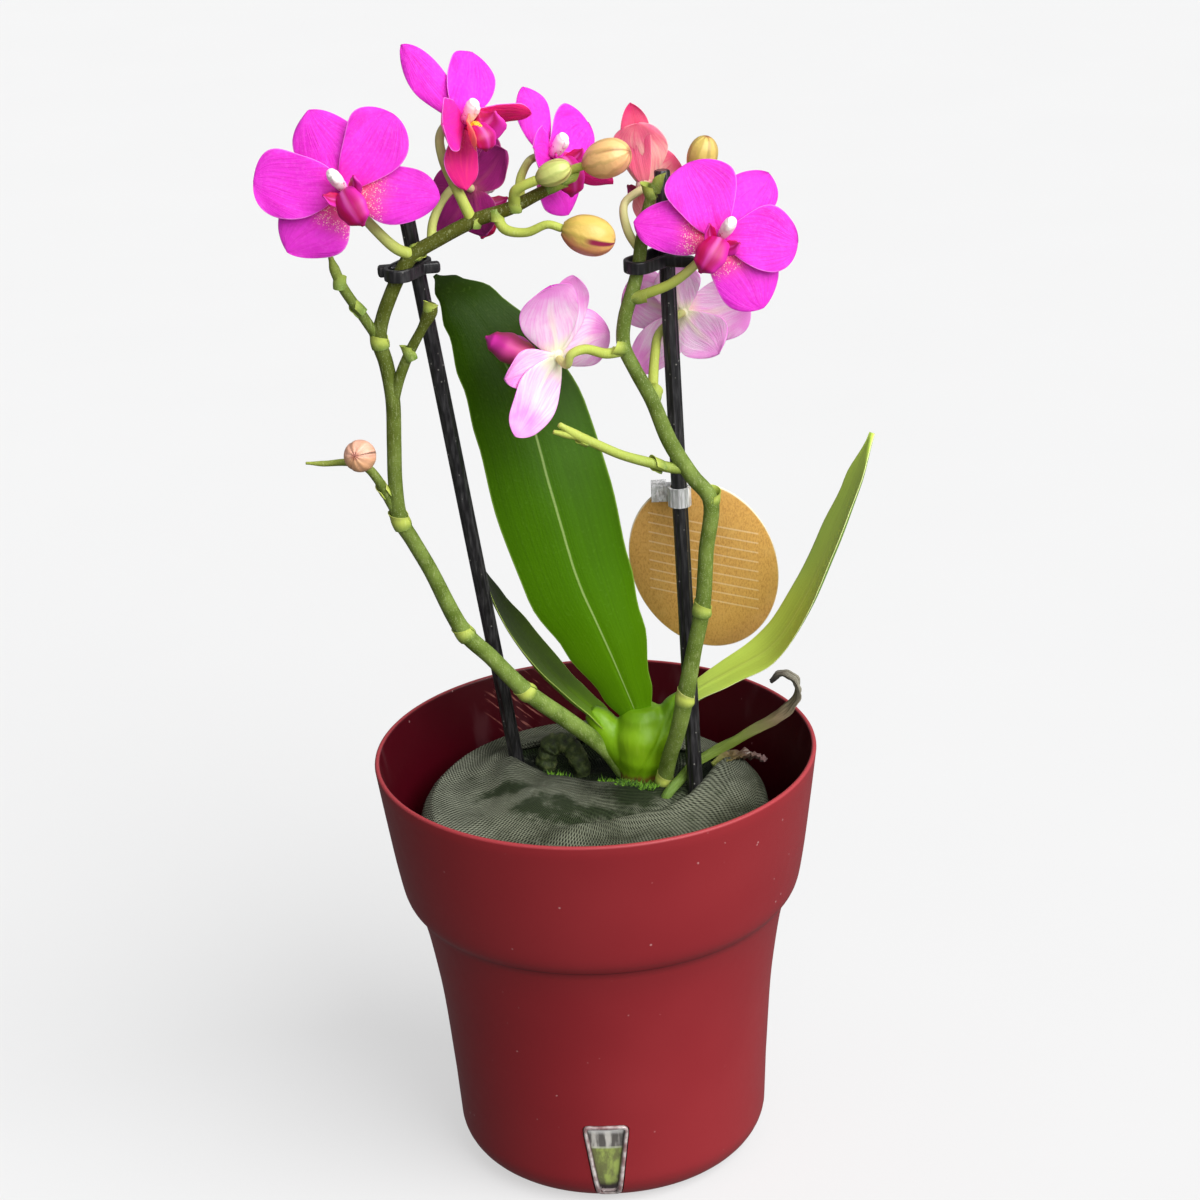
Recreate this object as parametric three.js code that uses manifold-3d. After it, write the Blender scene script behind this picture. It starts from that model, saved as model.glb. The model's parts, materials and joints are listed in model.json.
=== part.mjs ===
// A miniature moth orchid in bloom, standing in its self-watering plastic pot.
// Units are millimetres and +Z is up. The origin is the middle of the pot's flat underside,
// and the gauge window in the pot's foot looks along -Y.

import * as THREE from 'three';
import { mergeVertices } from 'three/addons/utils/BufferGeometryUtils.js';
import Module from 'manifold-3d';

const wasm = await Module();
wasm.setup();

// Driving dimensions of the pot
const RIM_RADIUS = 62.5;
const POT_HEIGHT = 124.4;
const WALL = 2;
const FLOOR = 2.5;
const FOOT_RADIUS = 45;
const FOOT_CORNER = 11;
const CREASE_HEIGHT = 82;
const POT_SIDES = 32;

// Driving dimensions of the plant and what holds it
const GAP = 0.3;
const WRAP_TOP = 108;
const WRAP_RADIUS = 50;
const CLOTH = 1.2;
const PLATE_TOP = 34.4;
const WATER_TOP = 19;
const STAKE_RADIUS = 2.2;
const BLADE = 0.7;
const STALK_RADIUS = 1.1;
const HUB_RADIUS = 2.3;
const HUB_BACK = 2;
const HUB_FRONT = 1.2;

const UP = new THREE.Vector3(0, 0, 1);
const FULL_TURN = 2 * Math.PI;

// Vectors and closed solids

function vector(list) {
  return new THREE.Vector3(list[0], list[1], list[2]);
}

function mix(a, b, share) {
  return a + (b - a) * share;
}

function solidOf(geometry) {
  const bare = geometry.clone();
  bare.deleteAttribute('normal');
  bare.deleteAttribute('uv');
  const merged = mergeVertices(bare, 1e-4);
  const corners = merged.index.array;
  const triangles = [];
  for (let i = 0; i < corners.length; i += 3) {
    const [a, b, c] = [corners[i], corners[i + 1], corners[i + 2]];
    if (a !== b && b !== c && c !== a) triangles.push(a, b, c);
  }
  return new wasm.Manifold(new wasm.Mesh({
    numProp: 3,
    vertProperties: merged.attributes.position.array,
    triVerts: Uint32Array.from(triangles),
  }));
}

function geometryOf(solid) {
  const { vertProperties, triVerts } = solid.getMesh();
  const geometry = new THREE.BufferGeometry();
  geometry.setAttribute('position', new THREE.BufferAttribute(vertProperties, 3));
  geometry.setIndex(new THREE.BufferAttribute(triVerts, 1));
  geometry.computeVertexNormals();
  return geometry;
}

function join(solids) {
  return solids.reduce((whole, solid) => whole.add(solid));
}

// A closed skin of points and triangles, turned so that its faces point out
function closedSolid(points, triangles) {
  let volume = 0;
  for (const [a, b, c] of triangles) {
    volume += points[a].dot(points[b].clone().cross(points[c]));
  }
  const turned = volume < 0 ? triangles.map(([a, b, c]) => [a, c, b]) : triangles;
  const geometry = new THREE.BufferGeometry();
  geometry.setFromPoints(points);
  geometry.setIndex(turned.flat());
  return solidOf(geometry);
}

// A skin over rings of equal count, with both ends closed by a strip from side to side.
// The second half of each ring is split the other way, so that a thin blade's faces match.
function loft(rings) {
  const count = rings[0].length;
  const triangles = [];
  for (let r = 0; r < rings.length - 1; r += 1) {
    for (let i = 0; i < count; i += 1) {
      const next = (i + 1) % count;
      const [a, b] = [r * count + i, r * count + next];
      const [d, c] = [a + count, b + count];
      if (i < count / 2) triangles.push([a, b, c], [a, c, d]);
      else triangles.push([a, b, d], [b, c, d]);
    }
  }
  const last = (rings.length - 1) * count;
  for (let i = 0; i < count / 2 - 1; i += 1) {
    const [p, q, s, t] = [i, i + 1, count - 2 - i, count - 1 - i];
    triangles.push([p, s, q], [p, t, s]);
    triangles.push([last + p, last + q, last + s], [last + p, last + s, last + t]);
  }
  return closedSolid(rings.flat(), triangles);
}

// A smooth curve through hand-set points, sampled evenly between each pair of them
function smoothPath(list, stepsBetween) {
  const curve = new THREE.CatmullRomCurve3(list.map(vector), false, 'centripetal');
  const steps = (list.length - 1) * stepsBetween;
  return curve.getPoints(steps);
}

// One value for every sampled point, from one value for every hand-set point
function spread(values, stepsBetween) {
  const result = [];
  for (let i = 0; i < values.length - 1; i += 1) {
    for (let k = 0; k < stepsBetween; k += 1) {
      const share = k / stepsBetween;
      const eased = share * share * (3 - 2 * share);
      result.push(mix(values[i], values[i + 1], eased));
    }
  }
  result.push(values[values.length - 1]);
  return result;
}

function tangentsOf(path) {
  return path.map((point, i) => {
    const before = path[Math.max(i - 1, 0)];
    const after = path[Math.min(i + 1, path.length - 1)];
    return after.clone().sub(before).normalize();
  });
}

// A round stem with its own radius at every hand-set point [x, y, z, radius]
function stem(knots, { sides = 8, stepsBetween = 1, extra = 0 } = {}) {
  const path = smoothPath(knots, stepsBetween);
  const radii = spread(knots.map((knot) => knot[3] + extra), stepsBetween);
  const tangents = tangentsOf(path);
  let side = new THREE.Vector3(1, 0.2, 0.1);
  const rings = path.map((centre, i) => {
    side = side.clone().addScaledVector(tangents[i], -side.dot(tangents[i])).normalize();
    const other = tangents[i].clone().cross(side);
    return Array.from({ length: sides }, (_, k) => {
      const angle = (FULL_TURN * k) / sides;
      return centre.clone()
        .addScaledVector(side, radii[i] * Math.cos(angle))
        .addScaledVector(other, radii[i] * Math.sin(angle));
    });
  });
  return loft(rings);
}

// A thin blade: each row has a centre, a direction across, a facing, a half width,
// a trough depth at its edges, a thickness along its middle and one along its edges
function bladeOf(rows, columns) {
  const rings = rows.map(({ centre, across, facing, half, trough, thick, edge }) => {
    const spots = Array.from({ length: columns }, (_, k) => (2 * k) / (columns - 1) - 1);
    const surface = (u, sign) => centre.clone()
      .addScaledVector(across, u * half)
      .addScaledVector(facing, trough * u * u + (sign * mix(thick, edge, u * u)) / 2);
    const front = spots.map((u) => surface(u, 1));
    const back = spots.map((u) => surface(u, -1)).reverse();
    return [...front, ...back];
  });
  return loft(rings);
}

// A leaf blade along hand-set points [x, y, z, half width]
function leafBlade(leaf, extra = 0) {
  const between = leaf.stepsBetween;
  const path = smoothPath(leaf.knots, between);
  const halves = spread(leaf.knots.map((knot) => knot[3]), between);
  const tangents = tangentsOf(path);
  const rows = path.map((centre, i) => {
    const share = i / (path.length - 1);
    const across = vector(leaf.acrossStart).lerp(vector(leaf.acrossEnd), share);
    across.addScaledVector(tangents[i], -across.dot(tangents[i])).normalize();
    const facing = across.clone().cross(tangents[i]).normalize();
    return {
      centre,
      across,
      facing,
      half: halves[i] + extra,
      trough: halves[i] * mix(leaf.foldStart, leaf.foldEnd, share),
      thick: mix(leaf.thickStart, leaf.thickEnd, share) + 2 * extra,
      edge: BLADE + 2 * extra,
    };
  });
  return bladeOf(rows, leaf.columns);
}

// Pot

// Outer outline of the pot from the foot's corner up to the rim, as [radius, height]
const POT_OUTLINE = [
  [FOOT_RADIUS + 0.8, 25],
  [FOOT_RADIUS + 2.8, 50],
  [FOOT_RADIUS + 4.4, 62],
  [FOOT_RADIUS + 6.3, 73],
  [FOOT_RADIUS + 8.2, CREASE_HEIGHT - 1.5],
  [RIM_RADIUS - 7.6, CREASE_HEIGHT],
  [RIM_RADIUS - 6.0, CREASE_HEIGHT + 2.6],
  [RIM_RADIUS - 4.4, CREASE_HEIGHT + 10],
  [RIM_RADIUS - 1.8, CREASE_HEIGHT + 28],
  [RIM_RADIUS, POT_HEIGHT - 0.8],
];
const RIM_THICKNESS = 1.5;

// The outline's points that the lining needs
const LINING_POINTS = [0, 2, 4, 5, 7];

function cornerArc(radius, steps) {
  return Array.from({ length: steps + 1 }, (_, i) => {
    const angle = (Math.PI / 2) * (i / steps);
    return [
      FOOT_RADIUS - FOOT_CORNER + radius * Math.sin(angle),
      FOOT_CORNER - radius * Math.cos(angle),
    ];
  });
}

// A solid of revolution about the Z axis from an outline of [radius, height] points
function turned(outline, sides) {
  const points = outline.map(([radius, height]) => new THREE.Vector2(radius, height));
  const geometry = new THREE.LatheGeometry(points, sides);
  geometry.rotateX(Math.PI / 2);
  return solidOf(geometry);
}

// The pot's wall between two offsets from its outer face, both counted outwards
function potWall(outerOffset, innerOffset) {
  const outside = cornerArc(FOOT_CORNER + outerOffset, 4)
    .concat(POT_OUTLINE.map(([radius, height]) => [radius + outerOffset, height]));
  const inside = cornerArc(FOOT_CORNER + innerOffset, 4)
    .concat(POT_OUTLINE.map(([radius, height]) => [radius + innerOffset, height]));
  return { outside, inside };
}

function potBody() {
  const { outside } = potWall(0, -WALL);
  const rim = [
    [RIM_RADIUS - GAP, POT_HEIGHT],
    [RIM_RADIUS - RIM_THICKNESS, POT_HEIGHT],
  ];
  const lining = LINING_POINTS.map((i) => [POT_OUTLINE[i][0] - WALL, POT_OUTLINE[i][1]]).reverse();
  const corner = cornerArc(FOOT_CORNER - WALL, 3).slice(1).reverse();
  const floor = [[FOOT_RADIUS - FOOT_CORNER, FLOOR], [0, FLOOR]];
  return turned([[0, 0], ...outside, ...rim, ...lining, ...corner, ...floor], POT_SIDES);
}

// Gauge window in the pot's foot
const WINDOW = { middle: -2.6, bottom: 2.6, top: 28, halfTop: 6.6, halfBottom: 3.4, corner: 2.2 };
const WINDOW_PROUD = 0.5;
const WINDOW_FRAME = 1.3;
const WINDOW_PANE = 1.2;

// The window's cut runs between these two depths, before and behind the foot's front wall
const WINDOW_FRONT = -60;
const WINDOW_BACK = -30;

// A trapezoid with rounded corners through the front of the foot, from the front inwards
function windowPrism(inset, front, back) {
  const { middle, bottom, top, halfTop, halfBottom, corner } = WINDOW;
  const corners = [
    [middle - halfBottom + inset, bottom + inset],
    [middle + halfBottom - inset, bottom + inset],
    [middle + halfTop - inset, top - inset],
    [middle - halfTop + inset, top - inset],
  ].map(([x, z]) => new THREE.Vector2(x, z));
  const shape = new THREE.Shape();
  const round = Math.max(corner - inset, 0.6);
  corners.forEach((spot, i) => {
    const before = corners[(i + 3) % 4].clone().sub(spot).setLength(round).add(spot);
    const after = corners[(i + 1) % 4].clone().sub(spot).setLength(round).add(spot);
    if (i === 0) shape.moveTo(before.x, before.y);
    else shape.lineTo(before.x, before.y);
    shape.quadraticCurveTo(spot.x, spot.y, after.x, after.y);
  });
  const geometry = new THREE.ExtrudeGeometry(shape, {
    depth: back - front,
    bevelEnabled: false,
    curveSegments: 3,
  });
  geometry.rotateX(Math.PI / 2);
  geometry.translate(0, back, 0);
  return solidOf(geometry);
}

// A closed shell that follows the foot's outer face between two offsets
function footShell(outerOffset, innerOffset) {
  const { outside, inside } = potWall(outerOffset, innerOffset);
  const end = 7;
  const ring = [...outside.slice(1, end), ...inside.slice(1, end).reverse(), outside[1]];
  return turned(ring, POT_SIDES);
}

function gaugeWindow() {
  const frame = footShell(WINDOW_PROUD, -WALL).intersect(windowPrism(0, WINDOW_FRONT, WINDOW_BACK));
  const recess = footShell(3 * WINDOW_PROUD, -WALL + WINDOW_PANE);
  const pane = windowPrism(WINDOW_FRAME, WINDOW_FRONT, WINDOW_BACK);
  return frame.subtract(recess.intersect(pane));
}

// Reservoir: the inner platform on three feet, and the water below it

const PLATE_RADIUS = 43.4;
const PLATE_THICKNESS = 2.4;
const FOOT_POST = { circle: 24, radius: 4, count: 3 };

function footPosts(radius) {
  const height = PLATE_TOP - PLATE_THICKNESS / 2 - FLOOR - GAP;
  return Array.from({ length: FOOT_POST.count }, (_, i) => {
    const angle = Math.PI / 2 + (FULL_TURN * i) / FOOT_POST.count;
    const post = new THREE.CylinderGeometry(radius, radius, height, 6);
    post.rotateX(Math.PI / 2);
    post.translate(
      FOOT_POST.circle * Math.cos(angle),
      FOOT_POST.circle * Math.sin(angle),
      FLOOR + GAP + height / 2,
    );
    return solidOf(post);
  });
}

function reservoirPlatform() {
  const bottom = PLATE_TOP - PLATE_THICKNESS;
  const plate = turned([[0, bottom], [PLATE_RADIUS, bottom], [PLATE_RADIUS, PLATE_TOP], [0, PLATE_TOP]], 20);
  return join([plate, ...footPosts(FOOT_POST.radius)]);
}

function reservoirWater() {
  const low = FLOOR + GAP;
  const radius = FOOT_RADIUS - WALL - 2 * GAP;
  const outline = [
    [0, low],
    [FOOT_RADIUS - FOOT_CORNER, low],
    [radius - 2, FOOT_CORNER - 4],
    [radius, FOOT_CORNER],
    [radius, WATER_TOP],
    [0, WATER_TOP],
  ];
  return turned(outline, 20).subtract(join(footPosts(FOOT_POST.radius + GAP)));
}

// Root ball and the knitted wrap round it

const WRAP_SIDES = 24;
const MOUTH = { x: 7, y: 19, halfLong: 31, halfShort: 12.5, turn: -0.26 };

// Side outline of the wrap from its shoulder down: [radius, height, share of the shoulder's
// offset, share of the top's folds]
const WRAP_SIDE = [
  [WRAP_RADIUS - 3.5, WRAP_TOP - 0.8, 1, 1],
  [WRAP_RADIUS - 0.8, WRAP_TOP - 3.5, 1, 0.9],
  [WRAP_RADIUS, WRAP_TOP - 8, 1, 0.5],
  [WRAP_RADIUS - 2.4, 82, 0.6, 0],
  [WRAP_RADIUS - 5.4, 62, 0.4, 0],
  [WRAP_RADIUS - 7.4, 38.5, 0.2, 0],
  [WRAP_RADIUS - 10.5, PLATE_TOP + GAP, 0.2, 0],
];
const WRAP_OFFSET = { x: -1, y: 3 };

function mouthEdge(angle) {
  const long = MOUTH.halfLong * Math.cos(angle);
  const short = MOUTH.halfShort * Math.sin(angle);
  const [c, s] = [Math.cos(MOUTH.turn), Math.sin(MOUTH.turn)];
  return [MOUTH.x + long * c - short * s, MOUTH.y + long * s + short * c];
}

// Height of the knit's lying folds over the top of the root ball
function foldHeight(x, y) {
  const frontSwell = 2.4 * Math.exp(-(((x + 14) / 14) ** 2) - ((y + 6) / 12) ** 2);
  const middleDip = -2.2 * Math.exp(-(((x - 10) / 16) ** 2) - ((y + 14) / 9) ** 2);
  const rightRidge = 3.4 * Math.exp(-(((x - 40) / 10) ** 2) - ((y - 6) / 14) ** 2);
  const leftDimple = -2.4 * Math.exp(-(((x + 33) / 7) ** 2) - ((y - 8) / 12) ** 2);
  const leftSwell = 1.6 * Math.exp(-(((x + 26) / 7) ** 2) - ((y - 14) / 10) ** 2);
  const rearRise = 0.055 * y - 0.01 * x;
  return frontSwell + middleDip + rightRidge + leftDimple + leftSwell + rearRise;
}

// One point of the wrap's skin. Rows 0 to 3 lie on top between mouth and shoulder,
// and the rest follow the side outline down. depth is counted inwards from the outer face.
const TOP_ROWS = 4;

function wrapPoint(row, angle, depth) {
  const [c, s] = [Math.cos(angle), Math.sin(angle)];
  if (row < TOP_ROWS) {
    const share = row / TOP_ROWS;
    const [radius, height] = WRAP_SIDE[0];
    const [edgeX, edgeY] = mouthEdge(angle);
    const x = mix(edgeX, WRAP_OFFSET.x + radius * c, share);
    const y = mix(edgeY, WRAP_OFFSET.y + radius * s, share);
    const lift = 1.2 * Math.sin(Math.PI * Math.min(share + 0.25, 1));
    return new THREE.Vector3(x, y, mix(WRAP_TOP, height, share) + lift + foldHeight(x, y) - depth);
  }
  const [radius, height, offsetShare, foldShare] = WRAP_SIDE[row - TOP_ROWS];
  const shoulder = row - TOP_ROWS === 0;
  const bottom = row - TOP_ROWS === WRAP_SIDE.length - 1;
  const inset = radius - (shoulder ? depth * 0.4 : depth);
  const x = WRAP_OFFSET.x * offsetShare + inset * c;
  const y = WRAP_OFFSET.y * offsetShare + inset * s;
  const sunk = (shoulder ? -depth : 0) + (bottom ? depth : 0);
  return new THREE.Vector3(x, y, height + foldHeight(x, y) * foldShare + sunk);
}

function wrapRing(row, depth) {
  const step = FULL_TURN / WRAP_SIDES;
  return Array.from({ length: WRAP_SIDES }, (_, i) => wrapPoint(row, i * step, depth));
}

// Rings of points joined in order, with a fan to a middle point at one or both ends
function ringSolid(rings, { firstMiddle, lastMiddle }) {
  const count = rings[0].length;
  const points = [...rings.flat(), firstMiddle, lastMiddle];
  const triangles = [];
  for (let r = 0; r < rings.length - 1; r += 1) {
    for (let i = 0; i < count; i += 1) {
      const next = (i + 1) % count;
      const [a, b] = [r * count + i, r * count + next];
      const [c, d] = [b + count, a + count];
      triangles.push([a, b, c], [a, c, d]);
    }
  }
  const last = (rings.length - 1) * count;
  const [first, end] = [points.length - 2, points.length - 1];
  for (let i = 0; i < count; i += 1) {
    const next = (i + 1) % count;
    triangles.push([first, next, i], [end, last + i, last + next]);
  }
  return closedSolid(points, triangles);
}

const WRAP_ROWS = Array.from({ length: TOP_ROWS + WRAP_SIDE.length }, (_, row) => row);

// The rows of the surfaces hidden inside the wrap, which need fewer down the side
const INNER_ROWS = WRAP_ROWS.filter((row) => row < 7 || row % 2 === 0);

function rootWrap() {
  const outer = WRAP_ROWS.map((row) => wrapRing(row, 0)).reverse();
  const inner = INNER_ROWS.map((row) => wrapRing(row, CLOTH));
  const floorPoint = new THREE.Vector3(0, 0, PLATE_TOP + GAP);
  const innerFloor = new THREE.Vector3(0, 0, PLATE_TOP + GAP + CLOTH);
  return ringSolid([...outer, ...inner], { firstMiddle: floorPoint, lastMiddle: innerFloor });
}

const NET_DEPTH = 4;

function rootBallBody() {
  const depth = CLOTH + 1.6 * GAP;
  const skin = INNER_ROWS.map((row) => wrapRing(row, depth));
  const netRing = wrapRing(0, depth).map((spot) => {
    const middle = new THREE.Vector3(MOUTH.x, MOUTH.y, spot.z - NET_DEPTH / 2);
    return spot.clone().lerp(middle, 0.35);
  });
  const netMiddle = new THREE.Vector3(MOUTH.x, MOUTH.y, WRAP_TOP - NET_DEPTH);
  const floorMiddle = new THREE.Vector3(0, 0, PLATE_TOP + GAP + depth);
  return ringSolid([netRing, ...skin], { firstMiddle: netMiddle, lastMiddle: floorMiddle });
}

// Crown and leaves

const CROWN_KNOTS = [
  [12.5, 14, 99, 4.5], [12.8, 14, 109, 6], [13.5, 14, 115, 8], [14, 14, 121, 8.6], [14, 14, 127, 6.5],
  [14, 14, 130, 4.5],
];
const SHEATH_RIGHT = [[16, 14, 112, 4], [20, 14, 121, 5.5], [24, 14.5, 128, 4.6], [27, 15, 132, 3]];
const SHEATH_LEFT = [[10, 14, 112, 4], [6, 15, 119, 5], [2, 16, 125, 4], [-1, 16.5, 128, 2.6]];

const LEAVES = {
  leaf_tall: {
    knots: [
      [14, 13, 119, 3.2], [12.8, 13, 126, 4.2], [9.8, 12, 136, 7.4], [4.2, 10.4, 153, 12],
      [-2, 10.2, 170, 15.3], [-8, 12.2, 195, 16.8], [-13.2, 17, 217, 16], [-20, 21, 234, 13.3],
      [-28, 25.5, 247, 8.8], [-34, 29, 253, 4.4], [-37.4, 31.5, 255.5, 0.8],
    ],
    acrossStart: [1, 0, 0.3],
    acrossEnd: [1, 0.15, 0.15],
    foldStart: -0.24,
    foldEnd: -0.05,
    thickStart: 2.2,
    thickEnd: 1.1,
    columns: 5,
    stepsBetween: 1,
  },
  leaf_left: {
    knots: [
      [4.6, 16, 122, 4], [0, 17, 127, 6], [-6.6, 18.5, 133, 8], [-13.8, 21, 140.5, 9.4],
      [-21, 24.5, 150, 8.6], [-26.8, 27.5, 160, 6], [-31, 30.5, 171.5, 0.8],
    ],
    acrossStart: [0.2, 0.93, 0.02],
    acrossEnd: [0.08, 0.99, -0.05],
    foldStart: 0.25,
    foldEnd: 0.2,
    thickStart: 2.2,
    thickEnd: 1.1,
    columns: 5,
    stepsBetween: 1,
  },
  leaf_right: {
    knots: [
      [22, 15, 124, 4], [29, 15, 131.6, 5.5], [40.5, 13.5, 138.8, 7], [52, 12, 146.4, 9],
      [61.6, 11, 161, 9.8], [69.4, 11, 178.5, 9.2], [76, 12.5, 194.4, 6.4], [81.4, 16, 208.4, 0.8],
    ],
    acrossStart: [-0.1, 0.93, 0.05],
    acrossEnd: [-0.14, 0.95, 0.1],
    foldStart: -0.2,
    foldEnd: -0.2,
    thickStart: 2.2,
    thickEnd: 1.1,
    columns: 5,
    stepsBetween: 1,
  },
};

// Withered leaf: a green stalk that dries out and curls over at its tip
const WITHERED = {
  knots: [
    [17, -1.2, 103.3, 1.5], [20, -0.5, 108.8, 1.5], [24, 2.9, 111.6, 1.5], [28, 6.4, 114.3, 1.5],
    [34, 6.4, 118, 1.6], [40, 5, 122, 1.7], [48, 2, 128, 2], [53.5, 0, 132.5, 2.6], [57, -2, 137.5, 2.6],
    [57.3, -3.4, 141.5, 2.3], [55.4, -4.4, 145, 1.9], [52.2, -4.6, 145.8, 1.4], [50, -4.5, 143.6, 0.8],
  ],
  acrossStart: [-0.3, 0.6, 0.7],
  acrossEnd: [0.1, 1, 0.1],
  foldStart: 0.1,
  foldEnd: 0.35,
  thickStart: 2.8,
  thickEnd: 0.9,
  columns: 3,
  stepsBetween: 1,
};

// Dried scrap of an old sheath, lying on the wrap
const SCRAP = {
  knots: [[33.5, 8.4, 112.4, 1.5], [38, 10, 113.8, 3], [43.5, 11.5, 113.6, 2.8], [49, 12.5, 111.4, 1]],
  acrossStart: [-0.3, 1, 0.1],
  acrossEnd: [-0.2, 1, -0.2],
  foldStart: -0.2,
  foldEnd: -0.5,
  thickStart: 1,
  thickEnd: 0.8,
  columns: 3,
  stepsBetween: 2,
};

// Stout aerial root that arches out of the root ball behind the left spike
const ROOT_KNOTS = [
  [-15, 26, 99, 2.8], [-14.6, 26, 108, 3], [-12.5, 25.5, 113.6, 3.2], [-8.5, 24.8, 114.3, 3],
  [-5, 24, 109, 2.8], [-3.5, 24, 100, 2.6],
];

// Blooms

// Petal outlines: how the half width grows from the claw to the tip
const PETAL_FORM = { rise: 0.8, fall: 0.42, claw: 0.16, cup: 0.08 };
const SEPAL_FORM = { rise: 0.62, fall: 0.5, claw: 0.2, cup: -0.12 };
const TEPAL_ROWS = [0, 0.24, 0.52, 0.8, 0.95, 1];

function outlineWidth({ rise, fall, claw }, share) {
  const peak = rise / (rise + fall);
  const top = (peak ** rise) * ((1 - peak) ** fall);
  const body = ((share ** rise) * ((1 - share) ** fall)) / top;
  return Math.max(body, claw * (1 - share));
}

// One tepal in its bloom's own frame: +Z is the way the bloom faces and +Y its upper side
function tepal({ angle, length, half, lift, form, columns, back = 0, curl = 0.12 }) {
  const turn = THREE.MathUtils.degToRad(angle);
  const tilt = THREE.MathUtils.degToRad(lift);
  const along = new THREE.Vector3(Math.cos(turn), Math.sin(turn), 0);
  const across = new THREE.Vector3(-Math.sin(turn), Math.cos(turn), 0);
  const path = TEPAL_ROWS.map((share) => {
    const reach = length * share;
    return along.clone().multiplyScalar(reach * Math.cos(tilt))
      .setZ(reach * Math.sin(tilt) - curl * length * share * share - back);
  });
  const tangents = tangentsOf(path);
  const rows = path.map((centre, i) => {
    const width = Math.max(half * outlineWidth(form, TEPAL_ROWS[i]), BLADE);
    return {
      centre,
      across,
      facing: tangents[i].clone().cross(across).normalize(),
      half: width,
      trough: width * form.cup,
      thick: mix(1.2, BLADE, TEPAL_ROWS[i]),
      edge: BLADE,
    };
  });
  return bladeOf(rows, columns);
}

function hub() {
  const depth = HUB_BACK + HUB_FRONT;
  const disc = new THREE.CylinderGeometry(HUB_RADIUS, HUB_RADIUS, depth, 6);
  disc.rotateX(Math.PI / 2);
  disc.translate(0, 0, (HUB_FRONT - HUB_BACK) / 2);
  return solidOf(disc);
}

function tepals(list) {
  return join([hub(), ...list.map(tepal)]);
}

// The white column: a short hooded finger above the lip
function column() {
  const low = HUB_FRONT + GAP;
  return stem([
    [0, 1, low, 1.3], [0, 1.3, low + 1.8, 1.4], [0, 1.9, low + 3.4, 1.7], [0, 2.2, low + 5, 1.5],
    [0, 2, low + 6.2, 0.8],
  ], { sides: 6 });
}

// The lip: a keeled tongue with two upright side lobes. turn swings it
// about the bloom's upright line, reach stretches it and ahead sets it forward.
function lip({ turn = 0, reach = 1, ahead = 0 } = {}) {
  const low = HUB_FRONT + GAP;
  const lobe = (side) => leafBlade({
    knots: [
      [side * 0.4, -2.4, low + 2.2, 0.9], [side * 2.8, -2.8, low + 4.2, 2.4],
      [side * 4.4, -1, low + 6.4, 0.9],
    ],
    acrossStart: [0, 1, 0.2],
    acrossEnd: [0, 1, 0.1],
    foldStart: 0,
    foldEnd: 0.3,
    thickStart: 1,
    thickEnd: BLADE,
    columns: 3,
    stepsBetween: 1,
  });
  const tongue = leafBlade({
    knots: [
      [0, -2, low, 1], [0, -2.5, low + 2, 1.3], [0, -4, low + 4, 2.6], [0, -6.4, low + 5.4, 2.4],
      [0, -8.2, low + 5.8, 0.5],
    ],
    acrossStart: [1, 0, 0],
    acrossEnd: [1, 0, 0],
    foldStart: 0.2,
    foldEnd: 0.4,
    thickStart: 1.8,
    thickEnd: BLADE,
    columns: 3,
    stepsBetween: 1,
  });
  return join([tongue, lobe(1), lobe(-1)])
    .translate([0, 0, -low])
    .scale([1, 1, reach])
    .rotate([0, turn, 0])
    .translate([0, 0, low + ahead]);
}

const PETAL = { form: PETAL_FORM, lift: 6, columns: 5 };
const SMALL_PETAL = { ...PETAL, columns: 3 };
const SEPAL = { form: SEPAL_FORM, lift: 2, columns: 3, back: 1.2 };

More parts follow.
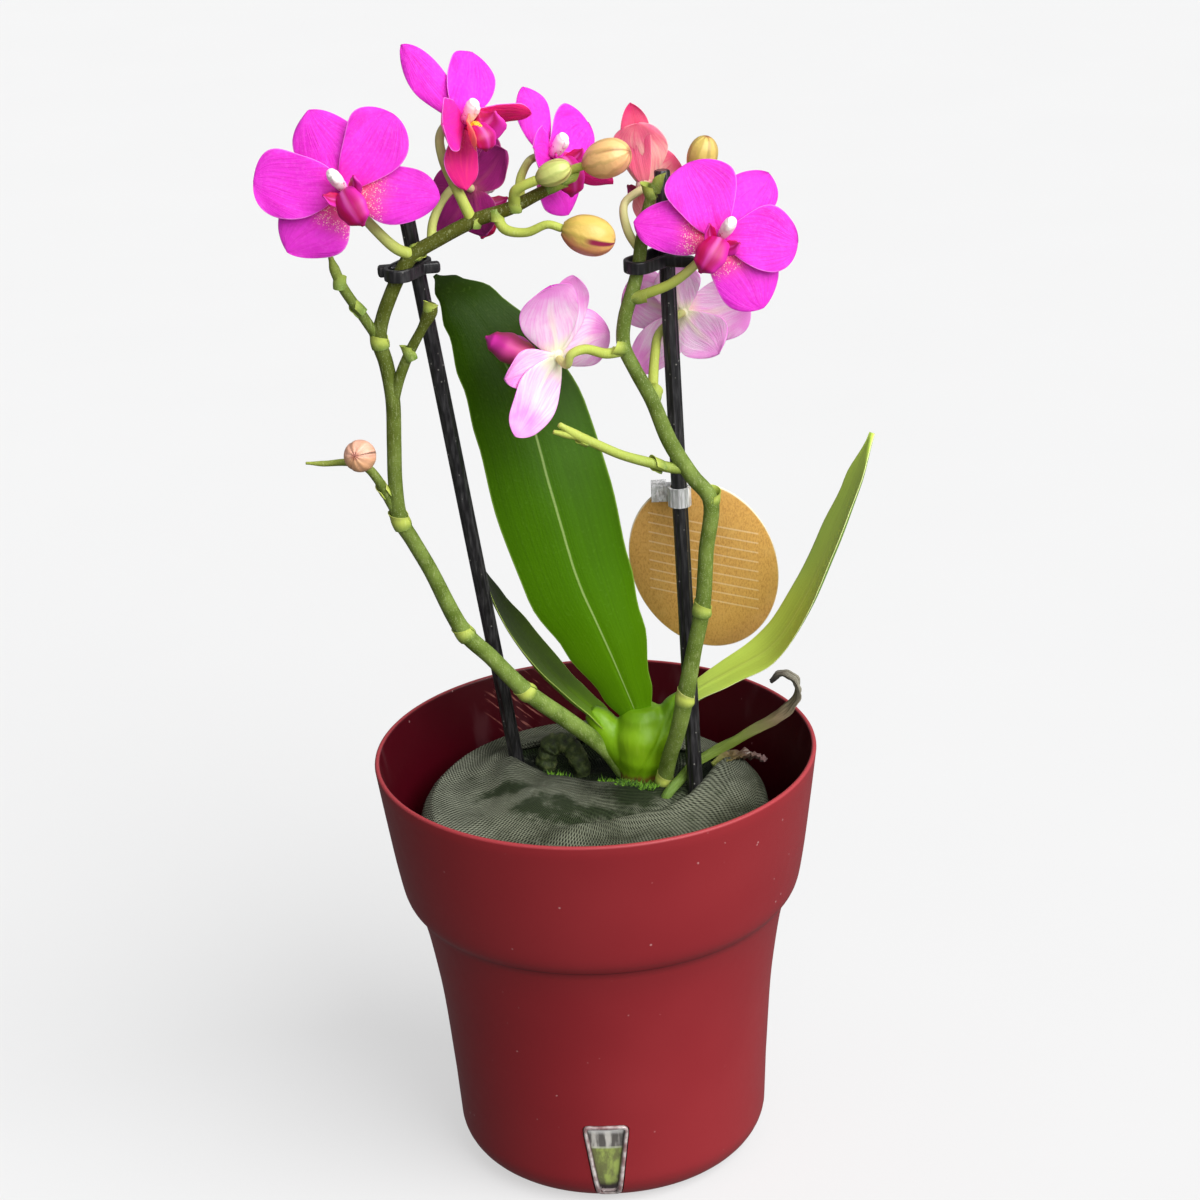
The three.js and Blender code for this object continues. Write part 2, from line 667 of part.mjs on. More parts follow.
// Each bloom: centre of its hub, the way it faces, its upper side, and its five tepals
const BLOOMS = {
  bloom_1: {
    centre: [-57, -14, 293],
    facing: [-0.1, -0.93, 0.3],
    upper: [-0.47, 0.37, 0.8],
    tepals: [
      { ...SEPAL, angle: 86, length: 22.5, half: 7.6 },
      { ...PETAL, angle: 142, length: 24, half: 9.8 },
      { ...PETAL, angle: 30, length: 22.5, half: 9.4 },
      { ...SEPAL, angle: 197, length: 22.5, half: 7.8 },
      { ...SEPAL, angle: -33, length: 23, half: 7.2 },
    ],
  },
  bloom_2: {
    centre: [-26, -6, 307],
    facing: [0.62, -0.72, 0.25],
    upper: [-0.42, 0.38, 0.82],
    tepals: [
      { ...SEPAL, angle: 111, length: 24, half: 5.8 },
      { ...PETAL, angle: 60, length: 19, half: 8.2 },
      { ...PETAL, angle: 172, length: 15, half: 8 },
      { ...SEPAL, angle: 268, length: 15, half: 5.5 },
      { ...SEPAL, angle: -14, length: 20, half: 5, lift: 22 },
    ],
  },
  bloom_3: {
    centre: [-4, 7, 293.7],
    facing: [0.62, -0.72, 0.25],
    upper: [-0.25, 0.4, 0.86],
    tepals: [
      { ...SEPAL, angle: 98, length: 19, half: 5 },
      { ...PETAL, angle: 35, length: 18, half: 8 },
      { ...PETAL, angle: 168, length: 13, half: 7 },
      { ...SEPAL, angle: -76, length: 18, half: 7 },
      { ...SEPAL, angle: -28, length: 22, half: 4.5, lift: 14 },
    ],
  },
  bloom_4: {
    centre: [21.3, 19, 283.2],
    facing: [0.3, 0.93, 0.2],
    upper: [-0.2, 0.05, 0.95],
    tepals: [
      { ...SEPAL, angle: 98, length: 19.5, half: 4.6 },
      { ...SMALL_PETAL, angle: 60, length: 13, half: 5.4 },
      { ...SMALL_PETAL, angle: 160, length: 10.5, half: 5 },
      { ...SEPAL, angle: -87, length: 10.5, half: 4.2 },
      { ...SEPAL, angle: -145, length: 8, half: 4 },
    ],
  },
  bloom_5: {
    centre: [39, -8, 274],
    facing: [0.05, -0.93, 0.3],
    upper: [0.57, 0.33, 0.75],
    tepals: [
      { ...SEPAL, angle: 84, length: 22, half: 7.4 },
      { ...PETAL, angle: 144, length: 21, half: 9.6 },
      { ...PETAL, angle: 37, length: 21, half: 9.6 },
      { ...SEPAL, angle: 203, length: 22.5, half: 7.4 },
      { ...SEPAL, angle: -26, length: 22, half: 8.2 },
    ],
  },
  bloom_6: {
    centre: [-5.3, -2, 241.2],
    facing: [-0.45, 0.86, 0.1],
    upper: [0.05, -0.1, 1],
    lip: { turn: 52, reach: 2.6, ahead: 0.5 },
    tepals: [
      { ...PETAL, angle: 82, length: 22.4, half: 9, lift: -4 },
      { ...SEPAL, angle: 105, length: 22.8, half: 6.5, back: 0, lift: 7 },
      { ...PETAL, angle: 168, length: 17, half: 8 },
      { ...SEPAL, angle: -8, length: 16.8, half: 5.6 },
      { ...SEPAL, angle: -50, length: 23.7, half: 7.6, lift: -4 },
    ],
  },
  bloom_7: {
    centre: [30.4, 20.5, 244.4],
    facing: [0.55, 0.82, -0.1],
    upper: [0.4, 0.1, 0.9],
    tepals: [
      { ...SEPAL, angle: 56, length: 15, half: 7 },
      { ...PETAL, angle: 152, length: 21, half: 9.5 },
      { ...PETAL, angle: -4, length: 20.5, half: 8.4 },
      { ...SEPAL, angle: -158, length: 16, half: 7.2 },
      { ...SEPAL, angle: -74, length: 21, half: 6 },
    ],
  },
  bloom_8: {
    centre: [-24, 8, 285],
    facing: [0.5, 0.75, -0.45],
    upper: [0.2, 0.4, 0.85],
    tepals: [
      { ...SMALL_PETAL, angle: 70, length: 17, half: 8 },
      { ...SMALL_PETAL, angle: 0, length: 14, half: 7 },
      { ...SEPAL, angle: 130, length: 14, half: 6 },
      { ...SEPAL, angle: -60, length: 15, half: 6 },
      { ...SEPAL, angle: -120, length: 14, half: 6 },
    ],
  },
};

function bloomFrame({ centre, facing, upper }) {
  const z = vector(facing).normalize();
  const y = vector(upper);
  y.addScaledVector(z, -y.dot(z)).normalize();
  const x = y.clone().cross(z);
  return new THREE.Matrix4().makeBasis(x, y, z).setPosition(vector(centre));
}

// The last two knots of a bloom's stalk, which meets the hub square from behind
function stalkEnd(bloom, radius = STALK_RADIUS) {
  const frame = bloomFrame(bloom);
  return [4.5, 0].map((away) => {
    const spot = new THREE.Vector3(0, 0, -HUB_BACK - GAP - away).applyMatrix4(frame);
    return [spot.x, spot.y, spot.z, radius];
  });
}

// Buds: base on their stalk, tip, and largest radius
const BUDS = {
  bud_1: { base: [5.2, -7.6, 294.2], tip: [16.8, -12.8, 298.6], radius: 5 },
  bud_2: { base: [-7.5, -10, 291.6], tip: [1.5, -11, 295.2], radius: 3.3 },
  bud_3: { base: [-1.5, -11.5, 278.8], tip: [12, -13, 274.8], radius: 5.2 },
  bud_4: { base: [35, 11, 285], tip: [38, 10, 296], radius: 4 },
  bud_5: { base: [-57.6, -7.2, 217.6], tip: [-60, -14.6, 220.2], radius: 4.3 },
};
const BUD_ROWS = [[0, 0.34], [0.1, 0.6], [0.28, 0.9], [0.5, 1], [0.72, 0.85], [0.9, 0.48], [1, 0.12]];

function bud({ base, tip, radius }) {
  const start = vector(base);
  const end = vector(tip);
  const axis = end.clone().sub(start).normalize();
  const side = new THREE.Vector3(0.1, 1, 0.3).cross(axis).normalize();
  const other = axis.clone().cross(side);
  const sides = 8;
  const rings = BUD_ROWS.map(([share, width]) => Array.from({ length: sides }, (_, k) => {
    const angle = (FULL_TURN * k) / sides;
    const keel = 1 + 0.06 * Math.cos(3 * angle);
    const reach = radius * width * keel;
    return start.clone().lerp(end, share)
      .addScaledVector(side, reach * Math.cos(angle))
      .addScaledVector(other, reach * Math.sin(angle));
  }));
  return loft(rings);
}

// The end of a bud's stalk, short of its base by the gap
function budStalkEnd({ base, tip }, radius = STALK_RADIUS) {
  const start = vector(base);
  const axis = vector(tip).sub(start).normalize();
  return [4, GAP].map((away) => {
    const spot = start.clone().addScaledVector(axis, -away);
    return [spot.x, spot.y, spot.z, radius];
  });
}

// Flower spikes

const SLEEVE_FLARE = 0.9;

// A papery sleeve round a node of the spike, or a small bract at the foot of a stalk
function sleeve([x, y, z, radius], direction, length) {
  const cone = new THREE.CylinderGeometry(radius + SLEEVE_FLARE, radius * 0.9, length, 5);
  const axis = vector(direction).normalize();
  const turn = new THREE.Quaternion().setFromUnitVectors(new THREE.Vector3(0, 1, 0), axis);
  cone.applyQuaternion(turn);
  cone.translate(x, y, z);
  return solidOf(cone);
}

const LEFT_SPIKE = {
  stem: [
    [7.5, 15, 109, 2.2], [3, 13.5, 117, 2.4], [-7, 10, 128, 2.5], [-19, 6.5, 140, 2.45], [-28, 4, 152, 2.3],
    [-35, 2, 161, 2.35], [-43, 0, 181, 2.1], [-47, -1, 190, 2.1], [-50, -2, 197, 2.2], [-50.5, -3, 208, 2],
    [-50, -3.3, 219, 2], [-49.4, -4, 232, 2], [-50.4, -4, 242, 2], [-51.8, -4.4, 249, 2.1],
    [-50.4, -5, 255, 1.9], [-48, -6, 261, 1.9], [-45, -6.3, 267, 1.9], [-41.5, -6.4, 272, 2],
    [-34, -6.2, 276.2, 1.9],
    [-24, -6, 280.8, 1.9], [-15, -6, 283.4, 1.8], [-7, -6, 287, 1.6], [1, -6, 290.4, 1],
  ],
  sleeves: [
    { at: [-19, 6.5, 140, 2.4], direction: [-0.65, -0.2, 0.7], length: 4 },
    { at: [-35, 2, 161, 2.3], direction: [-0.5, -0.1, 0.85], length: 4.5 },
    { at: [-50, -2, 197, 2.1], direction: [-0.25, -0.1, 1], length: 5 },
    { at: [-51.7, -4.3, 249, 2], direction: [-0.1, 0, 1], length: 4.5 },
    { at: [-39.5, -6.4, 273.3, 1.9], direction: [0.9, 0, 0.4], length: 3 },
  ],
  branches: [
    [
      [-50, -2.2, 197, 1.4], [-52.5, -3, 202.8, 1.3], [-55, -3.8, 209.2, 1.3], [-58, -4, 213.2, 1.2],
      [-63, -4, 214.8, 1], [-69, -4, 214.8, 0.8], [-74, -4, 215.2, 0.4],
    ],
    [
      [-49.2, -4, 231, 1.4], [-47.2, -5, 238, 1.5], [-43.6, -6, 246, 1.4], [-40.2, -7, 252, 1.3],
      [-37.6, -7.8, 257, 2], [-37.2, -8, 258.6, 1.8],
    ],
    [
      [-51.6, -4.4, 248.6, 1.4], [-55, -6, 255.4, 1.4], [-60, -8, 265, 1.4], [-61.6, -9, 270, 1.4],
      [-62.4, -9.4, 273.6, 0.7],
    ],
  ],
  bracts: [
    { at: [-53.8, -3.6, 206.4, 1.2], direction: [-0.5, -0.1, 0.9], length: 4.5 },
    { at: [-44, -6.2, 246, 1.2], direction: [-0.3, 0, 1], length: 4.5 },
    { at: [-57, -7, 259, 1.3], direction: [-0.7, 0, 0.8], length: 4.5 },
    { at: [-2.6, -6, 289, 1.3], direction: [0.9, 0, 0.4], length: 5 },
    { at: [1.6, -6, 290.6, 0.9], direction: [0.9, 0.1, 0.3], length: 5 },
  ],
};

const RIGHT_SPIKE = {
  stem: [
    [18.5, 6.4, 103, 2.2], [19.4, 5.2, 110, 2.3], [21, 2.4, 119, 2.3], [23.4, -1.2, 128, 2.3],
    [26, -3.2, 140, 2.5], [29, -4, 155, 2.2], [31.6, -4.4, 167, 2.2], [33.2, -4.6, 184, 2.1],
    [34.8, -4.6, 199, 2.2], [30, -4.4, 206, 2.2],
    [24.4, -4, 216, 2.2], [20, -3, 228, 2], [15.8, -2, 236.5, 1.9], [13.2, -1, 243, 1.9], [13.8, 0, 250, 1.9],
    [16, 1, 256.5, 1.9], [18, 2, 263, 1.8], [19, 2.4, 269, 1.8], [20.8, 3, 277, 1.6], [23, 3.6, 285, 1.3],
  ],
  sleeves: [
    { at: [19.5, 5, 111, 2.2], direction: [0.15, -0.2, 1], length: 4 },
    { at: [26, -3.2, 140, 2.3], direction: [0.2, -0.1, 1], length: 4.5 },
    { at: [31.6, -4.4, 167, 2.1], direction: [0.15, 0, 1], length: 4 },
    { at: [35.4, -4.5, 200, 1.8], direction: [0.15, 0, 1], length: 4.5 },
  ],
  branches: [
    [
      [28.4, -4.4, 208, 1.4], [24.4, -4.8, 208.8, 1.5], [17.4, -6, 211.4, 1.4], [11, -8, 214.4, 1.3],
      [4, -9, 218.4, 1.3], [-1, -9.6, 221.4, 1.3], [-5, -10, 224.4, 0.8],
    ],
    [[0.6, -9.4, 220.4, 1], [-3.4, -10, 221.6, 1], [-6.6, -10.2, 222.6, 0.6]],
  ],
  bracts: [
    { at: [20.6, -5.4, 210, 1.4], direction: [-1, -0.2, 0.6], length: 4.5 },
    { at: [11.4, -3.4, 243, 1.1], direction: [-1, -0.5, 0.3], length: 4 },
    { at: [18.6, -0.4, 256, 1.2], direction: [1, -0.5, 0.3], length: 4 },
    { at: [21.2, -1, 229, 1.2], direction: [0.3, 0.5, 0.8], length: 4 },
    { at: [21.8, 3.2, 284, 1], direction: [-0.3, 0, 1], length: 5 },
    { at: [24.2, 3.8, 286, 1], direction: [0.3, 0, 1], length: 5.5 },
  ],
};

// Stalks of the blooms and buds, from the spike outwards, without their square ends
const LEFT_STALKS = [
  [
    [-41, -6.5, 272.4, 1.6], [-45, -8, 274.6, 1.5], [-50, -8.6, 280, 1.4], [-54.6, -7.6, 286, 1.2],
    ...stalkEnd(BLOOMS.bloom_1),
  ],
  [
    [-25, -6, 280.6, 1.5], [-28, -5.6, 288, 1.4], [-31.4, -3.6, 296, 1.3], [-32.2, -0.8, 302, 1.2],
    ...stalkEnd(BLOOMS.bloom_2),
  ],
  [[-12, -5.6, 285, 1.3], [-12, 0, 289, 1.2], [-10.4, 5, 291.6, 1.1], ...stalkEnd(BLOOMS.bloom_3)],
  [
    [-36, -6, 275.4, 1.3], [-35.4, -3.4, 280, 1.2], [-32.6, -0.4, 285, 1.1], [-29.6, 2.2, 287.6, 1.1],
    ...stalkEnd(BLOOMS.bloom_8),
  ],
  [[-4, -6.2, 288.6, 1.2], [-1.4, -5.8, 291, 1.1], ...budStalkEnd(BUDS.bud_1)],
  [[-13.4, -6.6, 284.4, 1.5], [-13.4, -8.6, 288.4, 1.4], ...budStalkEnd(BUDS.bud_2, 1.3)],
  [[-18.6, -6.2, 282, 1.4], [-16.6, -8.4, 278.6, 1.4], [-11, -10, 277.8, 1.2], ...budStalkEnd(BUDS.bud_3)],
  [[-57.2, -4, 212.6, 1], [-57, -3.2, 215, 1], ...budStalkEnd(BUDS.bud_5, 1)],
];
const RIGHT_STALKS = [
  [
    [13.4, -1.4, 241.6, 1.5], [8.3, -4.6, 242, 1.4], [2.7, -7.4, 244.4, 1.3], [-1, -9, 243.6, 1.2],
    ...stalkEnd(BLOOMS.bloom_6),
  ],
  [
    [15.6, 0.6, 255.4, 1.4], [21, -2, 257.6, 1.4], [27, -3.6, 260.4, 1.3], [33.6, -3.4, 265.4, 1.2],
    ...stalkEnd(BLOOMS.bloom_5),
  ],
  [
    [20.4, -2.6, 227, 1.4], [20.8, 2.4, 231.5, 1.4], [21.8, 8, 237.6, 1.3], [23.2, 12.6, 241.4, 1.2],
    ...stalkEnd(BLOOMS.bloom_7),
  ],
  [[18.6, 2.4, 268, 1.2], [15.8, 6, 272.4, 1.2], [15.4, 12, 278.4, 1.1], ...stalkEnd(BLOOMS.bloom_4)],
  [[21.4, 3.4, 279, 1.1], [28, 4.4, 279, 1], ...budStalkEnd(BUDS.bud_4, 0.9)],
];

function spikeSolid(spike, stalks) {
  const parts = [
    stem(spike.stem, { sides: 7 }),
    ...spike.branches.map((knots) => stem(knots, { sides: 5 })),
    ...stalks.map((knots) => stem(knots, { sides: 5 })),
    ...spike.sleeves.map(({ at, direction, length }) => sleeve(at, direction, length)),
    ...spike.bracts.map(({ at, direction, length }) => sleeve(at, direction, length)),
  ];
  return join(parts);
}

// The spike alone, made stouter, to cut its socket
function spikeSocket(spike) {
  return stem(spike.stem.slice(0, 5), { extra: GAP });
}

// Stakes, ties, tag and clip

const STAKES = {
  stake_left: { low: [-17.3, 33, 58], high: [-42.6, -1.6, 284] },
  stake_right: { low: [28.6, -2.6, 58], high: [25.7, 12, 287] },
};
const FLUTES = 8;
const FLUTE_DEPTH = 0.35;

function stake({ low, high }, extra = 0) {
  const [start, end] = [vector(low), vector(high)];
  const shape = new THREE.Shape();
  for (let i = 0; i < 2 * FLUTES; i += 1) {
    const radius = STAKE_RADIUS + extra - (i % 2) * (extra ? 0 : FLUTE_DEPTH);
    const angle = (FULL_TURN * i) / (2 * FLUTES);
    const spot = [radius * Math.cos(angle), radius * Math.sin(angle)];
    if (i === 0) shape.moveTo(...spot);
    else shape.lineTo(...spot);
  }
  const geometry = new THREE.ExtrudeGeometry(shape, { depth: start.distanceTo(end), bevelEnabled: false });
  const turn = new THREE.Quaternion().setFromUnitVectors(UP, end.clone().sub(start).normalize());
  geometry.applyQuaternion(turn);
  geometry.translate(start.x, start.y, start.z);
  return solidOf(geometry);
}

function onStake({ low, high }, z) {
  const share = (z - low[2]) / (high[2] - low[2]);
  return vector(low).lerp(vector(high), share);
}

function onSpike(spike, z) {
  const path = smoothPath(spike.stem, 4);
  return path.reduce((best, spot) => (Math.abs(spot.z - z) < Math.abs(best.z - z) ? spot : best));
}

const TIE_HEIGHT = 3.4;
const TIE_WALL = 1.3;
const TIE_LEFT_Z = 267.5;
const TIE_RIGHT_Z = 264;

// A long round ring about a stake and a spike, with a flat lug at each end
function tieRing(stakeSpot, spikeSpot, { height, lugs, turn }) {
  const middle = stakeSpot.clone().lerp(spikeSpot, 0.5);
  const spacing = Math.hypot(stakeSpot.x - spikeSpot.x, stakeSpot.y - spikeSpot.y);
  const angle = Math.atan2(stakeSpot.y - spikeSpot.y, stakeSpot.x - spikeSpot.x);
  const stadium = (radius, depth) => {
    const shape = new THREE.Shape();
    shape.absarc(spacing / 2, 0, radius, -Math.PI / 2, Math.PI / 2, false);
    shape.absarc(-spacing / 2, 0, radius, Math.PI / 2, (3 * Math.PI) / 2, false);
    const geometry = new THREE.ExtrudeGeometry(shape, { depth, bevelEnabled: false, curveSegments: 5 });
    geometry.translate(0, 0, -depth / 2);
    geometry.rotateZ(angle);
    return solidOf(geometry);
  };
  const inner = STAKE_RADIUS + 2 * GAP;
  const lugSolids = lugs.map(({ reach, deep }) => {
    const box = new THREE.BoxGeometry(Math.abs(reach), deep, height);
    box.translate(reach / 2, 0, 0);
    box.rotateZ(turn);
    return solidOf(box);
  });
  const body = join([stadium(inner + TIE_WALL, height), ...lugSolids])
    .subtract(stadium(inner, 2 * height));
  return body.translate([middle.x, middle.y, middle.z]);
}

function tieLeft() {
  const z = TIE_LEFT_Z;
  return tieRing(onStake(STAKES.stake_left, z), onSpike(LEFT_SPIKE, z), {
    height: TIE_HEIGHT, lugs: [{ reach: 8.6, deep: 2.2 }, { reach: -8, deep: 3 }], turn: 0.1,
  }).subtract(stem(LEFT_SPIKE.stem.slice(14, 19), { extra: GAP }));
}

function tieRight() {
  const z = TIE_RIGHT_Z;
  return tieRing(onStake(STAKES.stake_right, z), onSpike(RIGHT_SPIKE, z), {
    height: TIE_HEIGHT, lugs: [{ reach: 12, deep: 2.4 }], turn: -0.35,
  });
}

const TAG = { halfWide: 20.5, halfTall: 30.5, thick: 0.7, lean: -0.24, tip: 0.3, centre: [33.5, 19.6, 170] };

// The oval card hangs behind the right stake, its foot tipped back
function tag() {
  const shape = new THREE.Shape();
  shape.absellipse(0, 0, TAG.halfWide, TAG.halfTall, 0, FULL_TURN, false);
  const geometry = new THREE.ExtrudeGeometry(shape, {
    depth: TAG.thick,
    bevelEnabled: false,
    curveSegments: 18,
  });
  geometry.translate(0, 0, -TAG.thick / 2);
  geometry.rotateZ(-TAG.lean);
  geometry.rotateX(Math.PI / 2 + TAG.tip);
  geometry.translate(...TAG.centre);
  return solidOf(geometry).subtract(clipNeck(2 * GAP));
}

// The clear clip: a collar round the stake, with a tab before the card that is joined
// through a slot to a small plate behind it
const CLIP = { z: 196.5, collar: 3.3, tall: 5.4, tab: 4.4, neckWide: 1.8, neckTall: 2.4, plate: 4.2 };

function block([wide, deep, tall], [x, y, z], tip = 0) {
  const box = new THREE.BoxGeometry(wide, deep, tall);
  box.rotateX(tip);
  box.translate(x, y, z);
  return solidOf(box);
}

// The middle of the tab's slot, on the card's own middle plane
function slotSpot() {
  const [, y, height] = TAG.centre;
  const x = onStake(STAKES.stake_right, CLIP.z).x - CLIP.collar - CLIP.tab / 2;
  return [x, y - (CLIP.z - height) * Math.tan(TAG.tip), CLIP.z];
}

function clipNeck(extra) {
  return block([CLIP.neckWide + extra, 4, CLIP.neckTall + extra], slotSpot(), TAG.tip);
}

// Everything within a gap of the card's plane
function cardRoom() {
  return block([60, TAG.thick + 2 * GAP, 4 * CLIP.tall], slotSpot(), TAG.tip);
}

function tagClip() {
  const spot = onStake(STAKES.stake_right, CLIP.z);
  const [x, y, z] = slotSpot();
  const collar = new THREE.CylinderGeometry(CLIP.collar, CLIP.collar, CLIP.tall, 14);
  collar.rotateX(Math.PI / 2);
  collar.translate(spot.x, spot.y, spot.z);
  const tab = block([CLIP.tab + CLIP.collar, 2.2, CLIP.tall], [x + CLIP.collar / 2, y - 1.4, z], TAG.tip);
  const plate = block([CLIP.plate, 2.2, CLIP.tall - 1], [x, y + 1.4, z], TAG.tip);
  return join([solidOf(collar), tab, plate])
    .subtract(cardRoom())
    .add(clipNeck(0))
    .subtract(stake(STAKES.stake_right, GAP));
}

// Assembly

const COLOUR = {
  pot: 0x8c2a34,
  pane: 0xb9b9ad,
  platform: 0x3a3a3a,
  water: 0x7f9a4a,
  compost: 0x2a2f24,
  knit: 0x6c766a,
  root: 0x35431f,
  crown: 0x8fbf2a,
  leaf: 0x4b8a1a,
  dryLeaf: 0x8d8a55,
  scrap: 0x7a6045,
  spike: 0x74924a,
  petal: 0xf046e6,
  column: 0xfff4f8,
  lip: 0xc4106a,
  bud: 0xc7a35a,
  black: 0x151416,
  card: 0xb28a4f,
  clear: 0xe8eef0,
};

const plant = new THREE.Group();

function addPiece(name, solid, colour, roughness = 0.5, matrix = null) {
  const material = new THREE.MeshStandardMaterial({ color: colour, roughness, metalness: 0 });
  const mesh = new THREE.Mesh(geometryOf(solid), material);
  mesh.name = name;
  if (matrix) mesh.applyMatrix4(matrix);
  plant.add(mesh);
}

const windowCut = windowPrism(-GAP, WINDOW_FRONT, WINDOW_BACK);
addPiece('pot', potBody().subtract(windowCut), COLOUR.pot, 0.45);
addPiece('gauge_window', gaugeWindow(), COLOUR.pane, 0.15);
addPiece('reservoir_platform', reservoirPlatform(), COLOUR.platform, 0.6);
addPiece('reservoir_water', reservoirWater(), COLOUR.water, 0.1);

const sockets = join([
  stake(STAKES.stake_left, GAP),
  stake(STAKES.stake_right, GAP),
  spikeSocket(LEFT_SPIKE),
  spikeSocket(RIGHT_SPIKE),
  leafBlade(WITHERED, GAP),
]);
const crownFat = stem(CROWN_KNOTS, { extra: GAP });
const rootFat = stem(ROOT_KNOTS, { extra: GAP });
const rootBall = rootBallBody().subtract(sockets).subtract(crownFat).subtract(rootFat);
addPiece('root_ball', rootBall, COLOUR.compost, 0.9);
addPiece('root_wrap', rootWrap().subtract(sockets).subtract(rootFat), COLOUR.knit, 0.9);
addPiece('aerial_root', stem(ROOT_KNOTS), COLOUR.root, 0.6);

const leafSockets = join(Object.values(LEAVES).map((leaf) => leafBlade(leaf, GAP)));
const crown = join([
  stem(CROWN_KNOTS),
  stem(SHEATH_RIGHT, { sides: 6 }),
  stem(SHEATH_LEFT, { sides: 6 }),
]);
addPiece('crown', crown.subtract(leafSockets).subtract(sockets), COLOUR.crown, 0.35);
for (const [name, leaf] of Object.entries(LEAVES)) {
  addPiece(name, leafBlade(leaf), COLOUR.leaf, 0.35);
}
addPiece('leaf_withered', leafBlade(WITHERED), COLOUR.dryLeaf, 0.7);
addPiece('sheath_scrap', leafBlade(SCRAP), COLOUR.scrap, 0.9);

const leftSpike = spikeSolid(LEFT_SPIKE, LEFT_STALKS);
const rightSpike = spikeSolid(RIGHT_SPIKE, RIGHT_STALKS);
addPiece('spike_left', leftSpike, COLOUR.spike, 0.5);
addPiece('spike_right', rightSpike, COLOUR.spike, 0.5);

for (const [name, bloom] of Object.entries(BLOOMS)) {
  const frame = bloomFrame(bloom);
  addPiece(`${name}_tepals`, tepals(bloom.tepals), COLOUR.petal, 0.5, frame);
  addPiece(`${name}_column`, column(), COLOUR.column, 0.4, frame);
  addPiece(`${name}_lip`, lip(bloom.lip), COLOUR.lip, 0.4, frame);
}
for (const [name, place] of Object.entries(BUDS)) {
  addPiece(name, bud(place), COLOUR.bud, 0.5);
}

for (const [name, place] of Object.entries(STAKES)) {
  addPiece(name, stake(place), COLOUR.black, 0.4);
}
addPiece('tie_left', tieLeft(), COLOUR.black, 0.5);
addPiece('tie_right', tieRight(), COLOUR.black, 0.5);
addPiece('tag', tag(), COLOUR.card, 0.8);
addPiece('tag_clip', tagClip(), COLOUR.clear, 0.1);

export default plant;
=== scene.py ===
"""A potted miniature moth orchid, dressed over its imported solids.

Lengths are written in millimetres and turned into metres when a mesh is made.
The origin is the middle of the pot's flat underside, +Z is up, and the gauge
window in the pot's foot looks along -Y.
"""

from __future__ import annotations

import json
import logging
from dataclasses import dataclass, field
from enum import Enum
from functools import cache
from math import atan2, copysign, cos, exp, hypot, pi, radians, sin, sqrt
from typing import Any, Callable, Iterable, Sequence, Union

import bmesh
import bpy
from bpy.types import Material, Mesh, Node, NodeSocket, NodeTree, Object
from mathutils import Matrix, Vector, noise

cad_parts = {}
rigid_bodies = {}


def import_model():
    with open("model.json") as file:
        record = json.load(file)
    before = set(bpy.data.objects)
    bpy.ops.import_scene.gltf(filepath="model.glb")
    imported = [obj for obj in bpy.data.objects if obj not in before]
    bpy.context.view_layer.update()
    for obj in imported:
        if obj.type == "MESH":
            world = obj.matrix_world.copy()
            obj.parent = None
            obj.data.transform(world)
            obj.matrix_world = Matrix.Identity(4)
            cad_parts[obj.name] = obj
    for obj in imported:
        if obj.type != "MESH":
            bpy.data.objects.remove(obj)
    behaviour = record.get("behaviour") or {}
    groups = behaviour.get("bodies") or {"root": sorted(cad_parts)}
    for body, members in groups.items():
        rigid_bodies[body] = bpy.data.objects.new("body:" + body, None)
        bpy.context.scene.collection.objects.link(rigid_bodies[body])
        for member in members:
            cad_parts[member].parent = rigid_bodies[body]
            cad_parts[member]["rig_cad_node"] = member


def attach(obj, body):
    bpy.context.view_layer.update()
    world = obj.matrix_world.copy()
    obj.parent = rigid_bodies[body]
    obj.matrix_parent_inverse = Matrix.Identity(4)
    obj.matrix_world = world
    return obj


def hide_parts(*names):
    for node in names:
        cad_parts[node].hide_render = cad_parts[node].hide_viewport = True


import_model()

LOG = logging.getLogger("orchid")
MM = 0.001
FULL_TURN = 2 * pi

Colour = tuple[float, float, float, float]
Point = tuple[float, ...]
Stops = Sequence[tuple[float, Colour]]


# Numbers and curves


def mix(a: float, b: float, share: float) -> float:
    """Blends two numbers."""
    return a + (b - a) * share


def eased(share: float) -> float:
    """Smooths a share from 0 to 1 at both of its ends."""
    return share * share * (3 - 2 * share)


def bell(x: float, centre: float, width: float) -> float:
    """Gives a smooth hump that is 1 at its centre."""
    return exp(-(((x - centre) / width) ** 2))


def turns(count: int) -> list[float]:
    """Gives the angles of evenly spaced steps round a circle."""
    return [FULL_TURN * i / count for i in range(count)]


def polar(radius: float, angle: float, z: float = 0.0) -> Vector:
    """Gives the point at a radius and an angle round the Z axis."""
    return Vector((radius * cos(angle), radius * sin(angle), z))


def tint(red: float, green: float, blue: float) -> Colour:
    """Turns a colour as seen, in parts of 255, into the shader's linear values.

    Args:
        red: Red part.
        green: Green part.
        blue: Blue part.

    Returns:
        The linear colour with full alpha.
    """
    seen = [part / 255 for part in (red, green, blue)]
    linear = [part / 12.92 if part <= 0.04045 else ((part + 0.055) / 1.055) ** 2.4 for part in seen]
    return (linear[0], linear[1], linear[2], 1.0)


